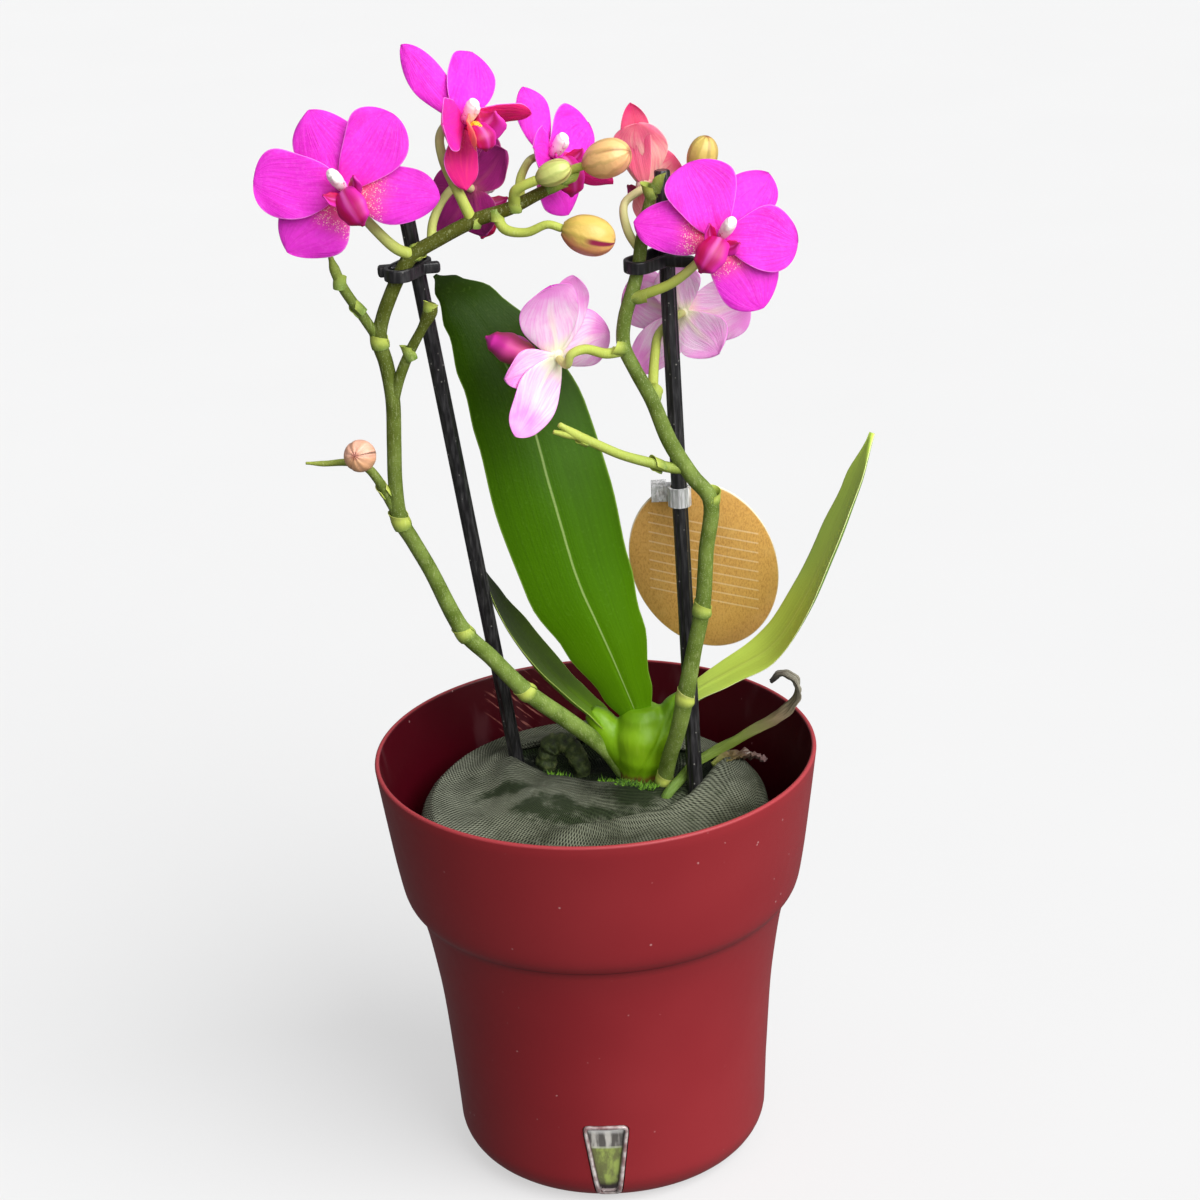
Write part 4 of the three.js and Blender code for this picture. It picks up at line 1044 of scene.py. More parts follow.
@dataclass(frozen=True)
class DriedSkin:
    """A leaf that dries from green at its base to grey stripes and a black tip."""

    name: str
    stops: Stops

    def material(self) -> Material:
        """Builds the material.

        Returns:
            The material.
        """
        paint = Paint.start(self.name)
        along, across = paint.traits("along", "across")
        stripes = paint.noise(1.0, paint.vector(across * 7.0, along * 5.0), 4.0, 0.65)
        dry = paint.rise(along, 0.45, 0.62)
        base = paint.layers(
            paint.ramp(along + (stripes - 0.5) * 0.12, self.stops),
            (paint.rise(stripes, 0.5, 0.62) * dry * 0.7, tint(58, 42, 30)),
            (paint.rise(stripes, 0.42, 0.34) * dry * 0.6, tint(206, 202, 190)),
        )
        normal = paint.bump(stripes, 0.5, paint.bump(paint.noise(1.2), 0.2))
        return paint.finish(base, 0.5 + 0.3 * dry, normal)


@dataclass(frozen=True)
class SpikeSkin:
    """Sage flower spike with pale specks, olive shoots and lime or cream stalks."""

    sage: Colour = tint(128, 152, 72)
    shade: Colour = tint(90, 114, 42)
    olive: Colour = tint(76, 76, 18)
    lime: Colour = tint(176, 188, 84)
    cream: Colour = tint(222, 212, 160)

    def material(self) -> Material:
        """Builds the material.

        Returns:
            The material.
        """
        paint = Paint.start("spike_skin")
        tone, pale = paint.traits("tone", "pale")
        drift = paint.noise(0.16, detail=3.0)
        dots = paint.rise(paint.cells(1.1, paint.place((1.0, 1.0, 0.6))), 0.14, 0.05)
        ribs = paint.noise(1.6, paint.place((1.0, 1.0, 0.3)), 3.0)
        base = paint.layers(
            self.shade,
            (paint.rise(drift, 0.3, 0.7), self.sage),
            (tone, self.olive),
            (paint.rise(paint.cells(1.9), 0.3, 0.12) * 0.34, tint(190, 206, 156)),
            (dots * 0.5, tint(44, 50, 22)),
            (paint.rise(pale, 0.05, 0.5), self.lime),
            (paint.rise(pale, 0.5, 1.0), self.cream),
            (paint.rise(ribs, 0.55, 0.75) * 0.2, tint(216, 222, 160)),
        )
        return paint.finish(base, 0.46 + 0.1 * drift, paint.bump(ribs, 0.12), Specular_IOR_Level=0.15)


@dataclass(frozen=True)
class PetalSkin:
    """A petal: vivid front with fine veins, pale veined reverse, blush and flecks by the lip.

    Attributes:
        name: The material's name.
        front: Main colour of the front, with deep for its veins.
        reverse: Colour of the back, with reverse_vein for its veins.
        rim: Colour of the thin edge.
        heart: Colour of the back's middle line and of its hub.
    """

    name: str = "petal_skin"
    front: Colour = tint(230, 46, 206)
    deep: Colour = tint(196, 12, 158)
    reverse: Colour = tint(255, 214, 242)
    reverse_vein: Colour = tint(244, 124, 218)
    rim: Colour = tint(255, 130, 236)
    heart: Colour = tint(250, 240, 206)

    def material(self) -> Material:
        """Builds the material.

        Returns:
            The material.
        """
        paint = Paint.start(self.name)
        along, across, front, tone, blush = paint.traits("along", "across", "front", "tone", "pale")
        fan = across * (0.25 + along)
        veins = paint.noise(1.0, paint.vector(fan * 15.0, along * 2.2, tone * 7.0), 3.0, 0.6)
        soft = paint.noise(0.18, detail=3.0)
        mottle = paint.noise(1.1, detail=2.0)
        near = paint.rise(along + paint.size(across) * 0.1, 0.62, 0.2)
        fleck = paint.rise(paint.cells(2.3), 0.46, 0.2) * paint.rise(paint.noise(0.9), 0.4, 0.56)
        flecked = paint.rise(along, 0.1, 0.2) * paint.rise(along + (soft - 0.5) * 0.5, 0.52, 0.36)
        hot = paint.blend(paint.rise(veins, 0.4, 0.7) * 0.5, tint(222, 12, 110), tint(250, 70, 120))
        skin = paint.layers(
            self.front,
            (paint.rise(veins, 0.4, 0.72) * 0.5, self.deep),
            (paint.rise(mottle, 0.45, 0.75) * 0.12, self.rim),
            (paint.rise(soft, 0.35, 0.7) * 0.25, tint(250, 70, 232)),
            (paint.rise(along, 0.34, 0.08) * 0.5, tint(226, 22, 140)),
            (blush * near * 0.85, tint(250, 84, 128)),
            (blush * fleck * flecked, tint(255, 214, 196)),
            (paint.rise(tone, 0.55, 1.0), hot),
        )
        middle = paint.rise(paint.size(across), 0.2, 0.02) * paint.rise(along, 0.95, 0.3)
        reverse = paint.layers(
            self.reverse,
            (paint.rise(veins, 0.42, 0.7) * 0.5, self.reverse_vein),
            (paint.rise(along + (soft - 0.5), 0.4, 1.05) * 0.8, self.reverse_vein),
            (middle * 0.5, self.heart),
            (paint.rise(along, 0.3, 0.04), self.heart),
            (tone * 0.8, hot),
        )
        edge = paint.rise(paint.size(across), 0.955, 0.99)
        skin = paint.layers(reverse, (front, skin), (edge * 0.7, self.rim))
        fine = paint.noise(2.6, detail=2.0)
        normal = paint.bump(fine, 0.05, paint.bump(veins, 0.2))
        glow = {"Subsurface_Weight": 0.3, "Subsurface_Scale": 1.6 * MM, "Subsurface_Radius": (1.0, 0.6, 0.9)}
        return paint.finish(skin, 0.5 + 0.16 * fine, normal, Specular_IOR_Level=0.25, **glow)


@dataclass(frozen=True)
class ColumnWax:
    """Waxy white column with pink marks at its mouth."""

    wax: Colour = tint(255, 250, 240)
    mark: Colour = tint(220, 70, 150)

    def material(self) -> Material:
        """Builds the material.

        Returns:
            The material.
        """
        paint = Paint.start("column_wax")
        (along,) = paint.traits("along")
        patch = paint.noise(0.5, detail=3.0)
        mark = paint.rise(paint.noise(0.8, detail=2.0), 0.6, 0.66) * paint.rise(along, 0.5, 0.3)
        base = paint.layers(
            self.wax,
            (paint.rise(patch, 0.3, 0.6) * 0.4, tint(255, 232, 240)),
            (paint.rise(along + patch * 0.2, 0.4, 0.16), tint(250, 140, 216)),
            (mark, self.mark),
        )
        return paint.finish(base, 0.3 + 0.1 * patch, paint.bump(patch, 0.15), Coat_Weight=0.2)


@dataclass(frozen=True)
class LipSkin:
    """Crimson lip with painted shade on one side and a painted highlight on the other, a pale seam, peach
    lobes and a spotted yellow callus.
    """

    throat: Colour = tint(255, 196, 60)
    body: Colour = tint(164, 0, 72)
    lobe: Colour = tint(186, 6, 126)

    def material(self) -> Material:
        """Builds the material.

        Returns:
            The material.
        """
        paint = Paint.start("lip_skin")
        along, across, tone, pale = paint.traits("along", "across", "tone", "pale")
        veins = paint.noise(1.0, paint.vector(across * 3.0, along * 2.0, tone * 3.0), 3.0)
        seam = paint.rise(paint.size(across), 0.2, 0.02) * paint.rise(along, 1.0, 0.3)
        peach = paint.layers(
            tint(255, 150, 110),
            (paint.rise(veins, 0.4, 0.7) * 0.6, tint(240, 60, 90)),
            (paint.rise(along, 0.5, 0.1), self.throat),
        )
        spots = paint.rise(paint.cells(1.5), 0.34, 0.24)
        base = paint.layers(
            self.body,
            (paint.rise(veins, 0.35, 0.7), self.lobe),
            # painted shade darkens one side of the lip and a painted highlight brightens the other
            (paint.rise(across, 0.1, 1.0) * 0.6, tint(190, 0, 50)),
            (paint.rise(across, -0.1, -0.9) * 0.7, tint(226, 50, 184)),
            (seam * 0.5, tint(240, 120, 214)),
            (tone, peach),
            (pale, paint.blend(spots, self.throat, tint(196, 30, 30))),
        )
        return paint.finish(base, 0.4 + 0.12 * veins, paint.bump(veins, 0.08), Specular_IOR_Level=0.35)


@dataclass(frozen=True)
class BudSkin:
    """A closed bud with lengthwise stripes and dark seams.

    Attributes:
        name: The material's name.
        light: Main colour.
        stripe: Colour of its stripes.
        flush: Colour that its lower half turns to, as strongly as flush_share.
        mouth: Where it begins to open, in parts of a turn, or -1 where it is closed all round.
    """

    name: str
    light: Colour
    stripe: Colour
    flush: Colour
    flush_share: float
    mouth: float = -1.0

    def material(self) -> Material:
        """Builds the material.

        Returns:
            The material.
        """
        paint = Paint.start(self.name)
        along, turn, seam, low = paint.traits("along", "across", "tone", "pale")
        rows = paint.sine(turn * (FULL_TURN * 9.0) + (paint.noise(0.3) - 0.5) * 5.0) * 0.5 + 0.5
        drift = paint.noise(0.22, detail=3.0)
        gape = paint.rise(paint.size(turn - self.mouth), 0.035, 0.012) * paint.rise(along, 0.42, 0.62)
        base = paint.layers(
            self.light,
            (paint.rise(rows + (drift - 0.5) * 0.6, 0.55, 0.95) * 0.3, self.stripe),
            (paint.rise(along, 0.22, 0.02) * 0.5, self.stripe),
            (paint.rise(low + (drift - 0.5) * 0.8, 0.4, 0.9) * self.flush_share, self.flush),
            (seam * paint.rise(along, 0.3, 0.8) * 0.8, tint(130, 76, 34)),
            (gape, tint(146, 22, 66)),
            (paint.rise(along, 0.97, 1.0) * 0.6, tint(150, 40, 50)),
        )
        normal = paint.bump(rows, 0.12, paint.bump(paint.noise(1.4), 0.08))
        return paint.finish(base, 0.4 + 0.12 * drift, normal, Coat_Weight=0.12, Coat_Roughness=0.3)


@dataclass(frozen=True)
class KraftCard:
    """Brown kraft card with fibres, a pale cut edge and plain ruled lines.

    Attributes:
        pitch: Distance from line to line.
        slope: How much the lines fall to the right.
    """

    card: Colour = tint(224, 172, 88)
    edge: Colour = tint(244, 232, 200)
    ruling: Colour = tint(250, 232, 190)
    pitch: float = 3.4
    slope: float = 0.32

    def material(self) -> Material:
        """Builds the material.

        Returns:
            The material.
        """
        paint = Paint.start("kraft_card")
        across, up, front, edge = paint.traits("along", "across", "front", "tone")
        fibre = paint.noise(2.2, paint.place((1.0, 1.0, 0.3)), 4.0, 0.7)
        mottle = paint.noise(0.22, detail=4.0)
        level = up + across * self.slope
        ruled = paint.rise(paint.size(paint.math("FRACT", level / self.pitch) - 0.5), 0.1, 0.05)
        block = paint.rise(level, -13.7, -13.5) * paint.rise(level, 17.1, 16.9)
        width = paint.rise(paint.size(across), 15.6, 15.2)
        base = paint.layers(
            self.card,
            (paint.rise(fibre, 0.4, 0.72) * 0.8, tint(190, 132, 60)),
            (paint.rise(mottle, 0.5, 0.75) * 0.35, tint(234, 188, 108)),
            (ruled * block * width * front * 0.4, self.ruling),
            (edge, self.edge),
        )
        return paint.finish(base, 0.78 + 0.12 * fibre, paint.bump(fibre, 0.08))


@dataclass(frozen=True)
class ClearClip:
    """Whitish clear plastic with bright upright streaks, painted on as highlights."""

    shade: Colour = tint(206, 208, 204)
    # bright: colour of the painted highlight streaks
    bright: Colour = tint(250, 250, 250)

    def material(self) -> Material:
        """Builds the material.

        Returns:
            The material.
        """
        paint = Paint.start("clear_clip_plastic")
        # painted highlights: bright upright streaks
        reflection_streaks = paint.noise(1.4, paint.place((1.0, 1.0, 0.12)), 3.0)
        lit = paint.rise(reflection_streaks, 0.4, 0.62)
        see_through = {"Alpha": 0.55 + 0.35 * lit, "Coat_Weight": 0.6}
        base = paint.blend(lit, self.shade, self.bright)
        return paint.finish(base, 0.1 + 0.1 * reflection_streaks, paint.bump(reflection_streaks, 0.1), **see_through)


@dataclass(frozen=True)
class MossFinish:
    """Bright moss shoots, darker in patches."""

    dark: Colour = tint(30, 56, 6)
    bright: Colour = tint(104, 156, 24)

    def material(self) -> Material:
        """Builds the material.

        Returns:
            The material.
        """
        paint = Paint.start("moss_shoots")
        patch = paint.noise(0.5, detail=3.0)
        base = paint.blend(paint.rise(patch, 0.35, 0.62), self.dark, self.bright)
        return paint.finish(base, 0.7 + 0.1 * patch, paint.bump(patch, 0.2))


# Geometry node trees


class Profile(Enum):
    """Cross-sections that can be swept along a path."""

    ROUND = "round"
    FLUTED = "fluted"
    STRAP = "strap"


@dataclass
class GeometryRule(Graph):
    """A geometry node tree with named inputs, whose identifiers are kept in sockets."""

    sockets: dict[str, str] = field(default_factory=dict)
    entry: Node = None

    @classmethod
    def start(cls, name: str, **inputs: str) -> "GeometryRule":
        """Starts a tree.

        Args:
            name: Its name.
            **inputs: Type of each input after the geometry, by its name.

        Returns:
            The rule, ready for its nodes.
        """
        tree = bpy.data.node_groups.new(name, "GeometryNodeTree")
        tree.interface.new_socket(name="Geometry", in_out="OUTPUT", socket_type="NodeSocketGeometry")
        tree.interface.new_socket(name="Geometry", in_out="INPUT", socket_type="NodeSocketGeometry")
        rule = cls(tree)
        for label, kind in (inputs | {"Finish": "Material"}).items():
            socket = tree.interface.new_socket(name=label, in_out="INPUT", socket_type=f"NodeSocket{kind}")
            rule.sockets[label] = socket.identifier
        rule.entry = rule.node("NodeGroupInput")
        return rule

    def given(self, label: str) -> Signal:
        """Reads one of the tree's inputs."""
        return self.out(self.entry, label)

    def attribute(self, name: str) -> Signal:
        """Reads a number that the points carry."""
        return self.value("GeometryNodeInputNamedAttribute", {"data_type": "FLOAT"}, {"Name": name})

    def sampled(self, kind: str, value: Signal, index: Signal) -> Signal:
        """Reads a value at one of the given mesh's points.

        Args:
            kind: The value's type.
            value: What is read.
            index: The point's number.

        Returns:
            The value there.
        """
        inputs = {0: self.given("Geometry"), "Value": value, "Index": index}
        return self.value("GeometryNodeSampleIndex", {"data_type": kind, "domain": "POINT"}, inputs)

    def close(self, geometry: Signal) -> None:
        """Ends the tree in real geometry with its finish.

        Args:
            geometry: What the tree makes.
        """
        real = self.value("GeometryNodeRealizeInstances", None, {0: geometry})
        dressed = self.value("GeometryNodeSetMaterial", None, {0: real, 2: self.given("Finish")})
        self.node("NodeGroupOutput", None, {0: dressed})

    def moved(self, geometry: Signal, place: Signal) -> Signal:
        """Puts the points of a geometry in their places."""
        return self.value("GeometryNodeSetPosition", None, {0: geometry, 2: place})

    def run(self, start: Mesh, material: Material, **values: Any) -> Mesh:
        """Runs the tree on a mesh and gives its result as a plain mesh.

        Args:
            start: The mesh that goes in, which is removed.
            material: The finish.
            **values: The tree's other inputs, by name.

        Returns:
            The new mesh.
        """
        carrier = added("carrier", start)
        modifier = carrier.modifiers.new("rule", "NODES")
        modifier.node_group = self.tree
        for name, value in (values | {"Finish": material}).items():
            modifier[self.sockets[name]] = value
        result = evaluated(carrier)
        bpy.data.objects.remove(carrier)
        bpy.data.meshes.remove(start)
        return result


@cache
def swept_rule(profile: Profile) -> GeometryRule:
    """Builds the tree that sweeps a cross-section along the edges of a mesh.

    The mesh's points carry the cross-section's radius, and their traits end up
    on the swept skin.

    Args:
        profile: The cross-section.

    Returns:
        The rule.
    """
    sizes = dict.fromkeys(("Flutes", "Depth", "Wide", "Tall"), "Float")
    rule = GeometryRule.start(f"swept_{profile.value}", Sides="Int", **sizes)
    path = rule.value("GeometryNodeMeshToCurve", None, {0: rule.given("Geometry")})
    circle = {"Resolution": rule.given("Sides"), "Radius": 1.0}
    outline = rule.value("GeometryNodeCurvePrimitiveCircle", {"mode": "RADIUS"}, circle)
    x, y, _ = rule.split(rule.value("GeometryNodeInputPosition"))
    if profile is Profile.FLUTED:
        wave = rule.math("COSINE", rule.math("ARCTAN2", y, x) * rule.given("Flutes")) * 0.5 + 0.5
        reach = 1.0 - rule.given("Depth") * wave
        outline = rule.moved(outline, rule.vector(x * reach, y * reach))
    elif profile is Profile.STRAP:
        wide, tall = (
            rule.math("SIGN", part) * rule.math("POWER", rule.size(part), 0.3) * rule.given(size)
            for part, size in ((x, "Wide"), (y, "Tall"))
        )
        outline = rule.moved(outline, rule.vector(wide, tall))
    sweep = {"Curve": path, "Profile Curve": outline, "Scale": rule.attribute("radius"), "Fill Caps": True}
    rule.close(rule.value("GeometryNodeCurveToMesh", None, sweep))
    return rule


def turned_rule() -> GeometryRule:
    """Builds the tree that turns an outline round the Z axis.

    The outline is a mesh whose points lie in the XZ plane, in order.

    Returns:
        The rule.
    """
    rule = GeometryRule.start("turned_body", Points="Int", Sides="Int")
    sides, points = rule.given("Sides"), rule.given("Points")
    body = rule.value("GeometryNodeMeshGrid", None, {"Vertices X": sides + 1.0, "Vertices Y": points})
    index = rule.value("GeometryNodeInputIndex")
    row = rule.math("MODULO", index, points)
    angle = rule.math("FLOOR", (index + 0.5) / points) / sides * FULL_TURN
    spot = rule.sampled("FLOAT_VECTOR", rule.value("GeometryNodeInputPosition"), row)
    radius, _, height = rule.split(spot)
    spot = rule.vector(rule.math("COSINE", angle) * radius, rule.sine(angle) * radius, height)
    body = rule.moved(body, spot)
    for trait in ("tone", "pale"):
        stored = {0: body, "Name": trait, "Value": rule.sampled("FLOAT", rule.attribute(trait), row)}
        settings = {"data_type": "FLOAT", "domain": "POINT"}
        body = rule.value("GeometryNodeStoreNamedAttribute", settings, stored)
    rule.close(rule.value("GeometryNodeMergeByDistance", None, {"Geometry": body, "Distance": 1e-6}))
    return rule


def shoots_rule() -> GeometryRule:
    """Builds the tree that scatters small shoots over a surface.

    Returns:
        The rule.
    """
    sizes = dict.fromkeys(("Density", "Length", "Thick"), "Float")
    rule = GeometryRule.start("moss_shoots", **sizes, Seed="Int")
    seed = rule.given("Seed")
    scattered = rule.node(
        "GeometryNodeDistributePointsOnFaces",
        {"distribute_method": "RANDOM"},
        {"Mesh": rule.given("Geometry"), "Density": rule.given("Density"), "Seed": seed},
    )
    cone = {"Vertices": 4, "Radius Top": 0.0}
    cone |= {"Radius Bottom": rule.given("Thick"), "Depth": rule.given("Length")}
    lean, bulk = (
        rule.value(
            "FunctionNodeRandomValue", {"data_type": "FLOAT_VECTOR"}, {0: low, 1: high, "Seed": chosen}
        )
        for low, high, chosen in (
            ((-0.8, -0.8, 0.0), (0.8, 0.8, FULL_TURN), seed),
            ((0.6, 0.6, 0.35), (1.3, 1.3, 1.3), seed + 1.0),
        )
    )
    placed = {
        "Points": rule.out(scattered, "Points"),
        "Instance": rule.value("GeometryNodeMeshCone", None, cone),
        "Rotation": rule.out(scattered, "Rotation"),
        "Scale": bulk,
    }
    placed = rule.value("GeometryNodeInstanceOnPoints", None, placed)
    rule.close(rule.value("GeometryNodeRotateInstances", None, {0: placed, "Rotation": lean}))
    return rule


@dataclass
class Strand:
    """A path with a radius and traits at its points, which may be a loop."""

    path: list[Vector]
    radii: list[float]
    traits: list[Trait]
    closed: bool = False


def swept(profile: Profile, strands: Iterable[Strand], material: Material, **sizes: Any) -> Draft:
    """Sweeps a cross-section along strands.

    Args:
        profile: The cross-section.
        strands: The paths to sweep along.
        material: The finish.
        **sizes: The cross-section's sizes.

    Returns:
        The skin.
    """
    points, edges, sizes_along, traits = [], [], [], []
    for strand in strands:
        start, end = len(points), len(points) + len(strand.path) - 1
        points += [point * MM for point in strand.path]
        sizes_along += [radius * MM for radius in strand.radii]
        traits += strand.traits
        edges += [(i, i + 1) for i in range(start, end)]
        if strand.closed:
            edges.append((end, start))
    mesh = bpy.data.meshes.new("strands")
    mesh.from_pydata(points, edges, [])
    mesh.attributes.new("radius", "FLOAT", "POINT").data.foreach_set("value", sizes_along)
    store_traits(mesh, traits)
    draft = Draft()
    draft.absorb(swept_rule(profile).run(mesh, material, **sizes))
    return draft


# Pot, gauge and reservoir


@dataclass
class PlanterPot:
    """The turned pot with its gauge window opening.

    Attributes:
        rim_radius: Outer radius of the rim.
        wall: Thickness of the wall, as floor is the floor's.
        foot_radius: Outer radius of the foot, whose edge is rounded by foot_corner.
        crease: Height of the step between foot and bowl.
        lip: Radius of the rim's rounded lip.
        sides: Facets round the body.
    """

    rim_radius: float = 62.5
    height: float = 124.4
    wall: float = 2.0
    floor: float = 2.5
    foot_radius: float = 45.0
    foot_corner: float = 11.0
    crease: float = 82.0
    lip: float = 0.75
    sides: int = 160
    sharp: float = 40.0

    def outline(self) -> list[Point]:
        """Gives the outer outline above the foot's corner.

        Returns:
            Its points [radius, height], of which the first five are the foot's.
        """
        foot, rim, crease = self.foot_radius, self.rim_radius, self.crease
        lower = [(foot + 0.8, 25.0), (foot + 2.8, 50.0), (foot + 4.4, 62.0), (foot + 6.3, 73.0)]
        upper = [(rim - 7.6, crease), (rim - 6.0, crease + 2.6), (rim - 4.4, crease + 10)]
        upper += [(rim - 1.8, crease + 28), (rim, self.height - 0.8)]
        return [*lower, (foot + 8.2, crease - 1.5), *upper]

    def corner(self, radius: float, steps: int) -> list[Point]:
        """Gives the foot's rounded corner for a radius.

        Args:
            radius: Radius of the corner.
            steps: Steps round it.

        Returns:
            Its points from the underside up.
        """
        angles = [pi / 2 * i / steps for i in range(steps + 1)]
        middle = self.foot_radius - self.foot_corner
        return [(middle + radius * sin(a), self.foot_corner - radius * cos(a)) for a in angles]

    def radius_at(self, height: float) -> float:
        """Gives the outer radius at a height up the foot.

        Args:
            height: The height.

        Returns:
            The radius there.
        """
        points = [*self.corner(self.foot_corner, 12), *self.outline()]
        for (r0, z0), (r1, z1) in zip(points, points[1:]):
            if z0 <= height <= z1:
                return mix(r0, r1, (height - z0) / max(z1 - z0, 1e-6))
        return points[0][0]

    def profile(self) -> tuple[list[Point], list[float], list[float]]:
        """Gives the closed outline from axis to axis.

        Returns:
            Its points, and for each whether it is on the lining and on the lip.
        """
        outline = [(r, 0.0, z) for r, z in self.outline()]
        side = [(p.x, p.z) for part in (outline[:5], outline[5:]) for p in smooth_path(part, 4)]
        body = [(0.0, 0.0), *self.corner(self.foot_corner, 12), *side]
        middle, top = self.rim_radius - self.lip, self.height - self.lip
        lip_turns = [pi * i / 6 for i in range(1, 7)]
        lip = [(middle + self.lip * cos(a), top + self.lip * sin(a)) for a in lip_turns]
        lining = [(r - self.wall, z) for r, z in reversed(side[:-3])]
        inner_corner = reversed(self.corner(self.foot_corner - self.wall, 8))
        points = [*body, *lip, *lining, *inner_corner, (0.0, self.floor)]
        inner = [float(i >= len(body) + 3) for i in range(len(points))]
        rim = [float(len(body) <= i < len(body) + 4) for i in range(len(points))]
        return points, inner, rim

    def build(self, window: "GaugeWindow") -> None:
        """Builds the pot.

        Args:
            window: The gauge window, which cuts the pot's wall.
        """
        points, inner, rim = self.profile()
        start = bpy.data.meshes.new("pot_outline")
        start.from_pydata([(r * MM, 0, z * MM) for r, z in points], [], [])
        store_traits(start, [(0.0, 0.0, 0.0, tone, pale) for tone, pale in zip(inner, rim)])
        finish = PlanterPlastic().material()
        draft = Draft()
        draft.absorb(turned_rule().run(start, finish, Points=len(points), Sides=self.sides))
        pot = piece_of(draft.mesh("planter_pot", 0.01), finish, "pot", "pot_plastic", self.sharp)
        cutter = added("window_cut", window.prism())
        cut = pot.modifiers.new("window", "BOOLEAN")
        cut.operation, cut.solver, cut.object = "DIFFERENCE", "EXACT", cutter
        pot.data = evaluated(pot)
        pot.data.name = "planter_pot"
        bpy.data.objects.remove(cutter)
        smooth(pot.data, self.sharp)


@dataclass
class GaugeWindow:
    """The clear gauge in the pot's foot, a trapezoid with rounded corners.

    Attributes:
        pot: The pot whose wall it follows.
        middle: Its middle along X.
        bottom: Its lower edge.
        top: Its upper edge.
        half_top: Half its upper width, as half_bottom is of its lower one.
        corner: Radius of its corners.
        steps: Rings from its edge inwards as (inset, height, share of pane, share of frame).
        pane: Height of the pane.
    """

    pot: PlanterPot
    middle: float = -2.6
    bottom: float = 2.6
    top: float = 28.0
    half_top: float = 6.6
    half_bottom: float = 3.4
    corner: float = 2.2
    steps: Sequence[Point] = (
        (0.0, -2.0, 0.0, 0.0), (0.0, 0.2, 0.0, 1.0), (0.25, 0.5, 0.0, 1.0), (0.8, 0.5, 0.0, 1.0),
        (1.05, 0.3, 0.0, 0.6), (1.3, -0.5, 0.0, 0.0), (1.5, -0.8, 0.6, 0.0), (1.9, -0.8, 1.0, 0.0),
        (2.5, -0.75, 1.0, 0.0),
    )
    pane: float = -0.7

    def outline(self, inset: float) -> list[Point]:
        """Gives the trapezoid's outline, drawn in by an inset.

        Args:
            inset: Distance inwards.

        Returns:
            Its points as (x, z).
        """
        low, high = self.bottom + inset, self.top - inset
        edges = ((-1, self.half_bottom, low), (1, self.half_bottom, low))
        edges += ((1, self.half_top, high), (-1, self.half_top, high))
        corners = [Vector((self.middle + side * (half - inset), z)) for side, half, z in edges]
        rounding = max(self.corner - inset, 0.5)
        result = []
        for i, spot in enumerate(corners):
            following = corners[(i + 1) % 4]
            before = spot + (corners[i - 1] - spot).normalized() * rounding
            after = spot + (following - spot).normalized() * rounding
            for t in (k / 5 for k in range(6)):
                result.append(tuple(before * (1 - t) ** 2 + spot * (2 * t * (1 - t)) + after * t**2))
            far = following + (spot - following).normalized() * rounding
            result += [tuple(after.lerp(far, k / 5)) for k in range(1, 5)]
        return result

    def prism(self) -> Mesh:
        """Gives the block that cuts the window out of the pot's wall.

        Returns:
            Its mesh.
        """
        draft = Draft()
        edge = self.outline(-0.3)
        draft.add_rings([plain(Vector((x, y, z)) for x, z in edge) for y in (-60.0, -30.0)])
        return draft.mesh("window_cut")

    def wall_points(self, outline: Iterable[Point], offset: float) -> list[Vector]:
        """Gives the points of the pot's front wall behind an outline.

        Args:
            outline: Points as (x, z).
            offset: How far they are moved out of the wall.

        Returns:
            The points.
        """
        result = []
        for x, z in outline:
            radius = self.pot.radius_at(max(z, 0.0)) + offset
            result.append(Vector((x, -sqrt(max(radius**2 - x**2, 1.0)), z)))
        return result

    def build(self) -> None:
        """Builds the frame and pane."""
        rings = [
            plain(self.wall_points(self.outline(inset), offset), (0.0, 0.0, pane, edge, 0.0))
            for inset, offset, pane, edge in self.steps
        ]
        inner = self.outline(self.steps[-1][0])
        low, high = self.bottom + 4, self.top - 4
        for share in (0.35, 0.7, 0.96):
            spots = [
                (mix(x, self.middle, share), mix(z, mix(low, high, 0.5 + (z - 15.3) / 40), share))
                for x, z in inner
            ]
            rings.append(plain(self.wall_points(spots, self.pane), (0.0, 0.0, 1.0, 0.0, 0.0)))
        draft = Draft()
        draft.add_rings(rings)
        piece_of(draft.mesh("gauge_pane"), GaugePane().material(), "gauge_window", "gauge_pane", 50)


# Root ball and its knitted wrap


